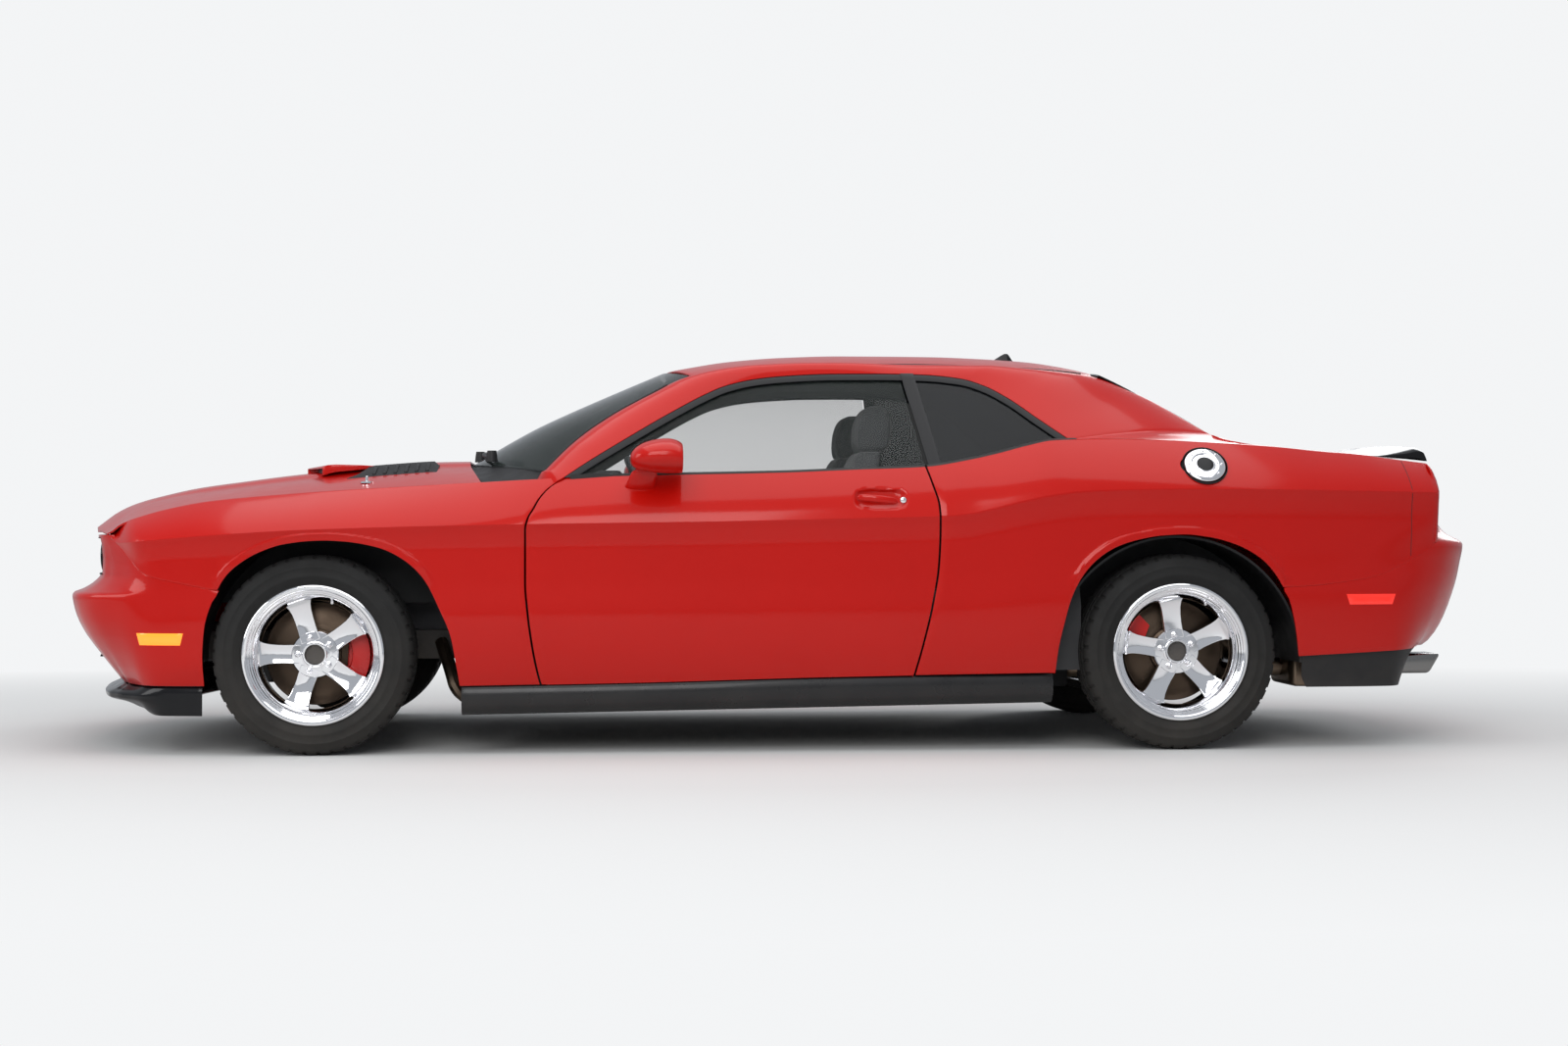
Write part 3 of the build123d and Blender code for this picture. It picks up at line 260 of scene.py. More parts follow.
def sheet(name, grids, heart, wall=0.0, skip=None, bevel=0.0):
    """One mesh from grids of places, joined where they meet, facing away from the heart, with a wall."""
    bm = bmesh.new()
    heart = Vector((FRONT_X + heart[0], *heart[1:]))
    for grid in grids:
        rows = [[bm.verts.new(tuple(p)) for p in row] for row in np.asarray(grid)]
        for low, high in zip(rows, rows[1:]):
            for i in range(len(low) - 1):
                corners = (low[i], low[i + 1], high[i + 1], high[i])
                middle = sum((v.co for v in corners), Vector()) / 4
                if skip is None or not skip(middle):
                    bm.faces.new(corners)
    bmesh.ops.remove_doubles(bm, verts=bm.verts, dist=2e-4)
    bmesh.ops.dissolve_degenerate(bm, edges=bm.edges, dist=1e-5)
    loose = [v for v in bm.verts if not v.link_faces]
    bmesh.ops.delete(bm, geom=loose, context="VERTS")
    bmesh.ops.recalc_face_normals(bm, faces=bm.faces)
    bm.normal_update()
    facing = sum(f.normal.dot((f.calc_center_median() - heart).normalized()) * f.calc_area()
                 for f in bm.faces)
    if facing < 0:
        bmesh.ops.reverse_faces(bm, faces=bm.faces)
    mesh = bpy.data.meshes.new(name)
    bm.to_mesh(mesh)
    bm.free()
    obj = bpy.data.objects.new(name, mesh)
    bpy.context.collection.objects.link(obj)
    if wall:
        modify(obj, "SOLIDIFY", thickness=wall, offset=-1, use_even_offset=False)
    if bevel:
        modify(obj, "BEVEL", width=bevel, segments=2, limit_method="ANGLE", angle_limit=math.radians(50))
    return obj


# ---- Body panels ----

def seam_shift(u, z, plan, depth, ends, ramp, heights, fade):
    """How far the body side moves in to meet a wrapped end along the seam between them."""
    seam_u = ends(heights)
    shares = np.linspace(0, 1, 600)
    drawn = []
    for one_u, one_z in zip(seam_u, heights):
        places = wrap_place(plan, depth, shares, np.full(600, one_z), ramp)
        order = np.argsort(places[:, 0])
        drawn.append(np.interp(one_u, places[order, 0], places[order, 1]))
    gap = np.array(drawn) - flank_y(seam_u, heights)
    order = np.argsort(seam_u)
    seam_z = np.interp(u, seam_u[order], heights[order])
    t = np.clip((z - seam_z) / fade, 0, 1)
    return np.interp(u, seam_u[order], gap[order]) * (1 - t * t * (3 - 2 * t))


def meeting_nose(grid, side):
    """Flank places that run into the front bumper at its seam."""
    places = on_flank(grid, side)
    u, z = grid[..., 0], grid[..., 1]
    near = u < -0.31
    places[..., 1] += side * near * seam_shift(u, z, nose_plan, nose_depth, nose_end, NOSE_RAMP,
        np.linspace(0.553, 0.735, 60), 0.15)
    return places


def meeting_tail(grid, side):
    """Flank places that run into the rear bumper at its seam."""
    places = on_flank(grid, side)
    u, z = grid[..., 0], grid[..., 1]
    near = u > 3.30
    places[..., 1] += side * near * seam_shift(u, z, tail_plan, tail_depth, tail_end, TAIL_RAMP,
        np.linspace(0.562, 0.712, 50), 0.12)
    return places


def fender_grids(side):
    """Front fender: above and behind the arch, then the shoulder."""
    arch = ARCH_LINE["front"]
    middle = len(arch) // 2
    rise = int(np.argmin(abs(arch[:middle, 1] - 0.5535)))
    fall = middle + int(np.argmin(abs(arch[middle:, 1] - 0.56)))
    seam = [(float(nose_end(z)) + 0.001, z + 0.001) for z in (0.7095, 0.69, 0.67, 0.65, 0.63, 0.615, 0.604,
                0.596, 0.59, 0.585, 0.578, 0.572, 0.566, 0.561, 0.557)]
    seam = along_path(seam + [tuple(arch[rise])], even(26))
    over = arch[rise:fall + 1][:: max(1, (fall - rise) // 60)]
    over = np.vstack([over, arch[fall]])
    behind = line_between(arch[fall], (float(door_front(0.56)) - DOOR_GAP, 0.56),
                          np.concatenate([[0, 0.02, 0.05, 0.075], np.linspace(0.12, 1, 16)]))
    bottom = np.vstack([seam, over[1:], behind[1:]])
    counts = len(seam), len(over), len(behind)
    far = float(door_front(0.775)) - DOOR_GAP
    tops = np.concatenate([np.linspace(-0.6725, arch[rise, 0] - 0.03, counts[0]),
                           np.linspace(arch[rise, 0] - 0.03, arch[fall, 0] + 0.02, counts[1])[1:],
                           np.linspace(arch[fall, 0] + 0.02, far, counts[2])[1:]])
    top = np.stack([tops, crease_z(tops)], -1)
    left = line_between(bottom[0], top[0], eased(26))
    right = at_height(door_front, np.linspace(0.56, top[-1, 1], 26), -DOOR_GAP)
    upper = coons(bottom, top, left, right)
    shoulder = np.interp(tops, [tops[0], tops[-1]], [-0.712, float(door_front(0.928)) - DOOR_GAP])
    rim = np.stack([shoulder, shoulder_z(shoulder)], -1)
    right = at_height(door_front, top[-1, 1] + (rim[-1, 1] - top[-1, 1]) * eased(18), -DOOR_GAP)
    crown = coons(top, rim, line_between(top[0], rim[0], eased(18)), right)
    low = arch[fall:][::-1]
    low = along_path(low, even(30))
    side_edge = at_height(door_front, np.linspace(float(rocker_top(0.75)) + 0.008, 0.56, 30), -DOOR_GAP)
    foot = ruled(low[:1], side_edge[:1], np.linspace(0, 1, len(behind)))[:, 0]
    foot[:, 1] = rocker_top(foot[:, 0]) + 0.008
    low[0] = foot[0]
    lower = coons(foot, behind, low, side_edge)
    return [meeting_nose(g, side) for g in (upper, crown, lower)]


def quarter_grids(side):
    """Quarter panel: ahead of and above the arch, then the shoulder and the inward top."""
    arch = ARCH_LINE["rear"]
    middle = len(arch) // 2
    rise = int(np.argmin(abs(arch[:middle, 1] - 0.56)))
    fall = middle + int(np.argmin(abs(arch[middle:, 1] - 0.557)))
    ahead = line_between((float(door_rear(0.56)) + DOOR_GAP, 0.56), arch[rise],
                         1 - np.concatenate([[0, 0.02, 0.05, 0.075], np.linspace(0.12, 1, 16)])[::-1])
    over = arch[rise:fall + 1][:: max(1, (fall - rise) // 60)]
    over = np.vstack([over, arch[fall]])
    seam = [(float(tail_end(z)) - 0.001, z + 0.001) for z in (0.5585, 0.5615, 0.5645, 0.57, 0.58, 0.59,
                0.60, 0.615, 0.63, 0.648, 0.67, 0.69, 0.7105)]
    seam = along_path([tuple(arch[fall])] + seam, even(30))
    bottom = np.vstack([ahead, over[1:], seam[1:]])
    near = float(door_rear(0.803)) + DOOR_GAP
    tops = np.concatenate([np.linspace(near, arch[rise, 0] - 0.02, len(ahead)),
                           np.linspace(arch[rise, 0] - 0.02, arch[fall, 0] + 0.03, len(over))[1:],
                           np.linspace(arch[fall, 0] + 0.03, 3.86, len(seam))[1:]])
    top = np.stack([tops, crease_z(tops)], -1)
    left = at_height(door_rear, np.linspace(0.56, top[0, 1], 30), DOOR_GAP)
    upper = coons(bottom, top, left, line_between(bottom[-1], top[-1], eased(30)))
    shoulder = np.interp(tops, [tops[0], tops[-1]], [float(door_rear(0.972)) + DOOR_GAP, 3.86])
    rim = np.stack([shoulder, shoulder_z(shoulder)], -1)
    left = at_height(door_rear, top[0, 1] + (rim[0, 1] - top[0, 1]) * eased(20), DOOR_GAP)
    crown = coons(top, rim, left, line_between(top[-1], rim[-1], eased(20)))
    low = along_path(arch[:rise + 1], even(30))
    edge = at_height(door_rear, np.linspace(float(rocker_top(2.03)) + 0.008, 0.56, 30), DOOR_GAP)
    foot = line_between(edge[0], low[0], np.linspace(0, 1, len(ahead)))
    foot[:, 1] = rocker_top(foot[:, 0]) + 0.008
    low[0], edge[0] = foot[-1], foot[0]
    lower = coons(foot, ahead, edge, low)
    grids = [meeting_tail(g, side) for g in (upper, crown, lower)]
    grids.append(deck_grid(3.175, 3.86, 0.7, side, 40))
    return grids


def tail_corner(side):
    """Rounded corner that closes the quarter towards the tail lamps and the deck."""
    top = float(shoulder_z(3.86))
    rows = []
    for z in np.concatenate([np.linspace(0.7125, 0.93, 12), np.linspace(0.945, top, 8)]):
        share = np.clip((z - 0.93) / (top - 0.93), 0, 1)
        first = np.array([3.8585, float(meeting_tail(np.array([[3.8585, z]]), 1)[0, 1])])
        last = np.array([3.876 - 0.017 * share, 0.788 - 0.085 * share])
        bend = np.array([3.888 - 0.029 * share, first[1] - 0.012])
        row = []
        for t in even(9):
            u, y = first * (1 - t) ** 2 + bend * 2 * t * (1 - t) + last * t * t
            high = z + (float(deck_z(3.86, y)) - z) * share
            row.append((FRONT_X + u, side * y, high))
        rows.append(row)
    return np.array(rows)


def deck_z(u, y):
    """Height of the deck between the two quarter shoulders."""
    return shoulder_z(u) + 0.031 * (1 - (np.abs(y) / shoulder_y(u)) ** 2)


def deck_grid(start, end, inner, side, count):
    """Strip of the deck from a shoulder in to a half-width."""
    u = np.linspace(start, end, count)
    rows = []
    for share in even(8):
        y = shoulder_y(u) + (inner - shoulder_y(u)) * share
        rows.append(at(u, side * y, deck_z(u, y)))
    return np.array(rows)


def door_grids(side):
    """Outside of one door, with the hollow behind its handle."""
    columns = np.concatenate([np.linspace(0, 0.78, 90), np.linspace(0.785, 0.97, 50),
                              np.linspace(0.974, 1, 12)])
    low_ends = [float(door_front(0.246)), float(door_rear(0.262))]
    bottom = line_between((low_ends[0], 0), (low_ends[1], 0), columns)
    bottom[:, 1] = rocker_top(bottom[:, 0]) + 0.008
    tops = float(door_front(0.776)) + (float(door_rear(0.802)) - float(door_front(0.776))) * columns
    top = np.stack([tops, crease_z(tops)], -1)
    left = at_height(door_front, bottom[0, 1] + (top[0, 1] - bottom[0, 1]) * eased(60))
    right = at_height(door_rear, bottom[-1, 1] + (top[-1, 1] - bottom[-1, 1]) * eased(60))
    lower = coons(bottom, top, left, right)
    rims = float(door_front(0.931)) + (float(door_rear(0.970)) - float(door_front(0.931))) * columns
    rim = np.stack([rims, shoulder_z(rims)], -1)
    left = at_height(door_front, top[0, 1] + (rim[0, 1] - top[0, 1]) * eased(36))
    right = at_height(door_rear, top[-1, 1] + (rim[-1, 1] - top[-1, 1]) * eased(36))
    upper = coons(top, rim, left, right)
    laid = []
    for grid in (lower, upper):
        places = on_flank(grid, side)
        reach = ((grid[..., 0] - HANDLE[0]) / 0.090) ** 4 + ((grid[..., 1] - HANDLE[1]) / 0.033) ** 4
        places[..., 1] -= side * 0.015 * np.clip(1.3 * (1 - reach), 0, 1) ** 0.8
        laid.append(places)
    return laid


HANDLE = (1.908, 0.860)
nose_plan = along_path([(-0.925, 0), (-0.917, 0.2), (-0.893, 0.4), (-0.858, 0.58), (-0.815, 0.72),
                        (-0.757, 0.795), (-0.68, 0.845), (-0.60, 0.885), (-0.45, 0.925), (-0.25, 0.945)],
                       even(600))
nose_depth = through([(0.20, 0.190), (0.208, 0.186), (0.274, 0.136), (0.336, 0.089), (0.398, 0.045),
                      (0.459, 0.015), (0.50, 0.004), (0.528, 0), (0.538, 0.003), (0.55, 0.032),
                      (0.575, 0.072), (0.602, 0.094), (0.674, 0.096), (0.722, 0.089), (0.742, 0.086)])
nose_end = through([(0.215, -0.361), (0.326, -0.364), (0.424, -0.357), (0.51, -0.333), (0.549, -0.312),
                    (0.560, -0.36), (0.578, -0.45), (0.604, -0.556), (0.66, -0.62), (0.7095, -0.672),
                    (0.74, -0.701)])
tail_plan = along_path([(4.097, 0), (4.091, 0.25), (4.067, 0.5), (4.050, 0.6), (4.016, 0.7), (3.963, 0.78),
                        (3.89, 0.845), (3.78, 0.893), (3.6, 0.928), (3.45, 0.940), (3.28, 0.951)],
                       even(600))
tail_depth = through([(0.25, 0.195), (0.344, 0.140), (0.358, 0.122), (0.434, 0.072), (0.531, 0.036),
                      (0.58, 0.022), (0.636, 0.011), (0.702, 0), (0.712, 0.004), (0.723, 0.022),
                      (0.737, 0.05), (0.755, 0.072), (0.793, 0.093), (0.824, 0.100), (0.905, 0.111),
                      (0.957, 0.122), (0.974, 0.129), (1.0, 0.158)])
tail_end = through([(0.319, 3.362), (0.344, 3.357), (0.432, 3.341), (0.514, 3.321), (0.556, 3.300),
                    (0.564, 3.42), (0.597, 3.64), (0.648, 3.76), (0.712, 3.8635), (0.73, 3.8635),
                    (1.0, 3.8635)])


def wrap_place(plan, depth, share, z, ramp):
    """Place on a wrapped end: drawn in by the end's depth, and by the undercut where it meets the flank."""
    spot = share * (len(plan) - 1)
    low = np.clip(spot.astype(int), 0, len(plan) - 2)
    part = (spot - low)[..., None]
    point = plan[low] * (1 - part) + plan[low + 1] * part
    run = plan[np.clip(low + 3, 0, len(plan) - 1)] - plan[np.clip(low - 3, 0, len(plan) - 1)]
    run /= np.linalg.norm(run, axis=-1, keepdims=True)
    out = np.stack([-run[..., 1], run[..., 0]], -1) * (1 if plan[0, 0] < 0 else -1)
    blend = np.clip((point[..., 0] - ramp[0]) / (ramp[1] - ramp[0]), 0, 1)
    blend = blend * blend * (3 - 2 * blend)
    zc = crease_z(point[..., 0])
    flank = np.where(z < zc, undercut(np.clip((zc - z) / (zc - 0.23), 0, 1)), 0)
    above = np.clip((z - zc) / (shoulder_z(point[..., 0]) - zc), 0, 1)
    bow = 0.55 * above + 0.45 * above**2
    flank = flank + (crease_y(point[..., 0]) - shoulder_y(point[..., 0])) * bow * (z >= zc)
    inset = depth(z) * (1 - blend) + flank * blend
    point = point - out * inset[..., None]
    return point


def wrap_grid(plan, depth, ends, heights, breaks, counts, ramp, tuck=None):
    """Grid round a whole end of the car: columns keep to the given half-widths, the last is tucked in."""
    rows = []
    for z in heights:
        end_u = float(ends(z))
        fine = even(800)
        places = wrap_place(plan, depth, fine, np.full(800, z), ramp)[:, 0] * (1 if plan[0, 0] < 0 else -1)
        end = float(np.interp(end_u * (1 if plan[0, 0] < 0 else -1), np.maximum.accumulate(places), fine))
        marks = [0] + [float(np.interp(y, plan[:, 1], even(len(plan)))) for y in breaks] + [end]
        shares = [0]
        for a, b, n in zip(marks, marks[1:], counts):
            shares += list(a + (b - a) * even(n + 1)[1:])
        shares = np.array(shares)
        low = np.full(len(shares), z)
        point = wrap_place(plan, depth, shares, low, ramp)
        half = at(point[:, 0], point[:, 1], low)
        if tuck is not None:
            run = half[-1] - half[-2]
            run[2] = 0
            inside = tuck[0] < z < tuck[1]
            step = run / np.linalg.norm(run) * max(0.0008, 0.016 * inside)
            half = np.vstack([half, half[-1] + step - (0, 0.004 * inside, 0)])
        rows.append(np.vstack([half[::-1] * (1, -1, 1), half[1:]]))
    return np.array(rows)


def front_bumper_piece():
    """Front bumper cover, open at the grille and the lower intake."""
    heights = [0.234, 0.25, 0.27, 0.286, 0.296, 0.33, 0.36, 0.392, 0.402, 0.42, 0.44, 0.46, 0.48, 0.5,
               0.515, 0.523, 0.53, 0.536, 0.541, 0.547, 0.553, 0.56, 0.57, 0.582, 0.592, 0.600, 0.604, 0.63,
               0.66, 0.70, 0.726, 0.732, 0.738]
    grid = wrap_grid(nose_plan, nose_depth, nose_end, heights, (0.53, 0.64), (16, 6, 44), NOSE_RAMP,
                     tuck=(0.5525, 0.8))
    near_liner = ((grid[..., 0] - FRONT_X + 0.417) / 0.08) ** 2 + ((grid[..., 2] - 0.298) / 0.036) ** 2
    grid[..., 1] *= 1 + 0.0055 * np.exp(-near_liner)

    def opening(c):
        if 0.604 < c.z < 0.727:
            return abs(c.y) < 0.638
        return 0.296 < c.z < 0.392 and abs(c.y) < 0.528

    cover = sheet("front_bumper_cover", [grid], wall=SKIN, heart=(0, 0, 0.5), skip=opening,
                  bevel=PANEL_EDGE)
    return finished(cover, "front_bumper_cover", "paint", nodes=["front_bumper"])


def rear_bumper_piece():
    """Rear bumper cover, open at the lamp band and the plate recess."""
    heights = [0.345, 0.36, 0.39, 0.42, 0.45, 0.486, 0.52, 0.545, 0.5565, 0.5585, 0.561, 0.5645, 0.57, 0.58,
               0.59, 0.60, 0.61, 0.625, 0.642, 0.66, 0.68, 0.692, 0.698, 0.703, 0.709, 0.715, 0.722, 0.73,
               0.738, 0.748, 0.76, 0.776, 0.79, 0.8, 0.806, 0.84, 0.88, 0.918, 0.924, 0.934, 0.944, 0.953,
               0.962, 0.97, 0.98, 0.988]
    grid = wrap_grid(tail_plan, tail_depth, tail_end, heights, (0.28, 0.703, 0.79), (10, 14, 6, 40),
                     TAIL_RAMP, tuck=(0.5575, 0.712))
    for row in grid:
        ends = np.abs(row[:, 1])
        drop = np.clip((FRONT_X + 3.86 - row[:, 0]) / 0.5, 0, 1)
        low = row[:, 2] < 0.40
        row[:, 2] -= np.where(low, drop * 0.024 * (ends > 0.8) * (0.40 - row[:, 2]) / 0.055, 0)

    def opening(c):
        if 0.806 < c.z < 0.918:
            return abs(c.y) < 0.79
        if c.z > 0.944:
            return abs(c.y) < 0.703
        return 0.50 < c.z < 0.642 and abs(c.y) < 0.28

    cover = sheet("rear_bumper_cover", [grid], wall=SKIN, heart=(3.0, 0, 0.6), skip=opening,
                  bevel=PANEL_EDGE)
    return finished(cover, "rear_bumper_cover", "paint", nodes=["rear_bumper"])


# ---- Hood, deck and greenhouse ----

hood_centre = through([(-0.868, 0.757), (-0.862, 0.768), (-0.833, 0.792), (-0.792, 0.823), (-0.729, 0.853),
                       (-0.625, 0.882), (-0.502, 0.909), (-0.328, 0.934), (-0.187, 0.953), (-0.047, 0.969),
                       (0.059, 0.980), (0.201, 0.994), (0.378, 1.006), (0.50, 1.008)])


def hood_z(u, y, near_front=0.0):
    """Height of the hood: a crowned sheet with a raised middle."""
    edge = shoulder_z(u)
    half = shoulder_y(u)
    reach = np.clip(np.abs(y) / half, 0, 1)
    crown = (hood_centre(u - 0.25 * y * y * near_front) - edge) * (1 - reach**2.3)
    ridge = 0.010 * np.clip((0.40 - np.abs(y)) / 0.05, 0, 1) * np.clip((u + 0.72) / 0.3, 0, 1)
    return edge + crown + ridge - 0.010 * np.clip((u + 0.72) / 0.3, 0, 1)


def hood_grid():
    """Places of the hood, with its front edge turned down."""
    rows = []
    ys = np.concatenate([-np.linspace(1, 0.52, 16), np.linspace(-0.5, -0.41, 5),
                         np.linspace(-0.38, 0.38, 24), np.linspace(0.41, 0.5, 5), np.linspace(0.52, 1, 16)])
    for share in 1 - (1 - even(80)) ** 1.25:
        back_half = 0.79
        y_try = ys * back_half
        front = -0.868 + 0.25 * y_try**2
        back = 0.478 + 0.13 * y_try**2
        u = front + (back - front) * share
        half = shoulder_y(u) - SEAM
        y = ys * half
        z = hood_z(u, y, (1 - share))
        rows.append(at(u, y, z))
    lip = rows[0].copy()
    lip[:, 2] = np.minimum(0.7465, lip[:, 2] - 0.004)
    lip[:, 0] += 0.0015
    return np.array([lip] + rows)


windshield_line = through([(0.93, 0.385), (0.955, 0.425), (1.004, 0.504), (1.033, 0.551), (1.077, 0.625),
                           (1.12, 0.702), (1.156, 0.775), (1.26, 1.010), (1.338, 1.199)])
rear_glass_line = through([(1.06, 3.285), (1.092, 3.229), (1.111, 3.195), (1.154, 3.121), (1.194, 3.048),
                           (1.231, 2.974), (1.27, 2.90), (1.305, 2.827), (1.336, 2.753)])
WRAP_FRONT, WRAP_REAR = 1.05, 2.0


def windshield_place(y, z):
    """Places on the curved windshield."""
    sag = WRAP_FRONT - np.sqrt(WRAP_FRONT**2 - y**2)
    return at(windshield_line(z) + sag, y, z + 0 * y)


def rear_glass_place(y, z):
    """Places on the curved rear glass."""
    sag = WRAP_REAR - np.sqrt(WRAP_REAR**2 - y**2)
    return at(rear_glass_line(z) - sag, y, z + 0 * y)


roof_line = through([(1.15, 1.322), (1.233, 1.345), (1.269, 1.352), (1.43, 1.379), (1.627, 1.396),
                     (1.844, 1.403), (2.0, 1.403), (2.169, 1.402), (2.351, 1.396), (2.534, 1.384),
                     (2.643, 1.367), (2.753, 1.338)])


def side_y(z):
    """Half-width of the side windows' surface at a height."""
    rise = z - 0.94
    return 0.862 - 0.62 * rise - 0.24 * rise**2


DLO_TOP = [(0.828, 0.930), (0.914, 0.988), (1.051, 1.073), (1.188, 1.155), (1.325, 1.230), (1.394, 1.260),
           (1.497, 1.285), (1.601, 1.297), (1.774, 1.306), (1.95, 1.3075), (2.087, 1.305), (2.226, 1.291),
           (2.310, 1.264), (2.384, 1.222), (2.489, 1.142), (2.585, 1.070)]
OUTER_EDGE = [(0.775, 0.955, "w"), (0.745, 1.00, "w"), (0.70, 1.07, "w"), (0.655, 1.15, "w"),
              (0.605, 1.235, "w"), (0.575, 1.280, "w"), (1.33, 0.558, 1.307), (1.46, 0.548, 1.325),
              (1.65, 0.543, 1.337), (1.87, 0.54, 1.343), (2.10, 0.54, 1.342), (2.33, 0.538, 1.337),
              (2.52, 0.532, 1.328), (2.68, 0.52, 1.314), (0.54, 1.240, "r"), (0.64, 1.095, "r")]


def outer_edge_places():
    """Seam between the pillars and the two screens or the roof, from the cowl to the deck."""
    places = []
    for a, b, c in OUTER_EDGE:
        if c == "w":
            places.append(windshield_place(np.array(a), np.array(b)))
        elif c == "r":
            places.append(rear_glass_place(np.array(a), np.array(b)))
        else:
            places.append(np.array([FRONT_X + a, b, c]))
    return np.array(places)


def pillar_band(count=150):
    """Edges of the strip over the side windows: lower and outer, as matched places on the right side."""
    low = np.array([(FRONT_X + u, float(side_y(z)), z) for u, z in DLO_TOP])
    shares = even(count)
    outer = outer_edge_places()
    fine_low, fine_outer = [], []
    keys = even(len(low))
    for k in range(3):
        fine_low.append(through(np.stack([keys, low[:, k]], 1))(shares))
        fine_outer.append(through(np.stack([keys, outer[:, k]], 1))(shares))
    return np.stack(fine_low, 1), np.stack(fine_outer, 1)


def pillar_grid(side):
    """Places of the pillars and the roof rail of one side."""
    low, outer = pillar_band()
    across = outer - low
    along = np.gradient(low + outer, axis=0)
    out = np.cross(along, across)
    out /= np.linalg.norm(out, axis=1, keepdims=True)
    out *= np.sign(out[:, 1:2])
    width = np.linalg.norm(across, axis=1, keepdims=True)
    bulge = 0.17 * np.minimum(width, 0.16)
    rows = []
    for t in eased(16):
        rows.append((low + across * t + out * bulge * 4 * t * (1 - t) * (0.8 + 0.4 * t)) * (1, side, 1))
    return np.array(rows)


def roof_grid():
    """Places of the roof between its two ditches."""
    outer = pillar_band()[1]
    roof = outer[(outer[:, 0] > FRONT_X + 1.275) & (outer[:, 0] < FRONT_X + 2.73)]
    roof = along_path(roof, even(70))
    rows = []
    for x, half, z in roof:
        share = np.sin(np.linspace(-math.pi / 2, math.pi / 2, 41))
        u = x - FRONT_X
        pull = 0.085 * (1 - share**2) * (np.clip(1 - (u - 1.27) / 0.7, 0, 1) ** 2)
        push = 0.05 * (1 - share**2) * (np.clip(1 - (2.73 - u) / 0.7, 0, 1) ** 2)
        here = u - pull + push
        top = roof_line(here)
        rows.append(at(here, half * share, z + (top - z) * (1 - np.abs(share) ** 2.3)))
    return np.array(rows)


def screen_grid(place, edge_pairs, count=30, margin=0.0):
    """Places of a screen between pairs of half-width and height."""
    rows = []
    for half, z in edge_pairs:
        y = np.linspace(-half + margin, half - margin, count)
        rows.append(place(y, np.full(count, z)))
    return np.array(rows)


# ---- Finishes ----

MATERIALS = {}


def node_group(name, inputs, outputs):
    """A shader group with named inputs and outputs."""
    group = bpy.data.node_groups.new(name, "ShaderNodeTree")
    for label, kind, default in inputs:
        socket = group.interface.new_socket(label, in_out="INPUT", socket_type="NodeSocket" + kind)
        socket.default_value = default
    for label, kind in outputs:
        group.interface.new_socket(label, in_out="OUTPUT", socket_type="NodeSocket" + kind)
    nodes = group.nodes
    return group, nodes.new("NodeGroupInput"), nodes.new("NodeGroupOutput")


def noise_in(nodes, links, vector, scale, detail=3.0, rough=0.5):
    """A noise pattern at a scale."""
    noise = nodes.new("ShaderNodeTexNoise")
    noise.inputs["Scale"].default_value = scale
    noise.inputs["Detail"].default_value = detail
    noise.inputs["Roughness"].default_value = rough
    links.new(vector, noise.inputs["Vector"])
    return noise.outputs["Fac"]


def ranged(nodes, links, value, low, high, to_low, to_high):
    """A value moved from one range to another."""
    node = nodes.new("ShaderNodeMapRange")
    node.inputs["From Min"].default_value = low
    node.inputs["From Max"].default_value = high
    node.inputs["To Min"].default_value = to_low
    node.inputs["To Max"].default_value = to_high
    links.new(value, node.inputs["Value"])
    return node.outputs["Result"]


def math_node(nodes, links, operation, a, b):
    """Arithmetic on two values or sockets."""
    node = nodes.new("ShaderNodeMath")
    node.operation = operation
    for socket, value in zip(node.inputs, (a, b)):
        if isinstance(value, (int, float)):
            socket.default_value = value
        else:
            links.new(value, socket)
    return node.outputs[0]


def mixed(nodes, links, factor, a, b):
    """Two colours mixed by a factor."""
    node = nodes.new("ShaderNodeMix")
    node.data_type = "RGBA"
    links.new(factor, node.inputs[0])
    for socket, value in ((node.inputs[6], a), (node.inputs[7], b)):
        if isinstance(value, tuple):
            socket.default_value = value
        else:
            links.new(value, socket)
    return node.outputs[2]


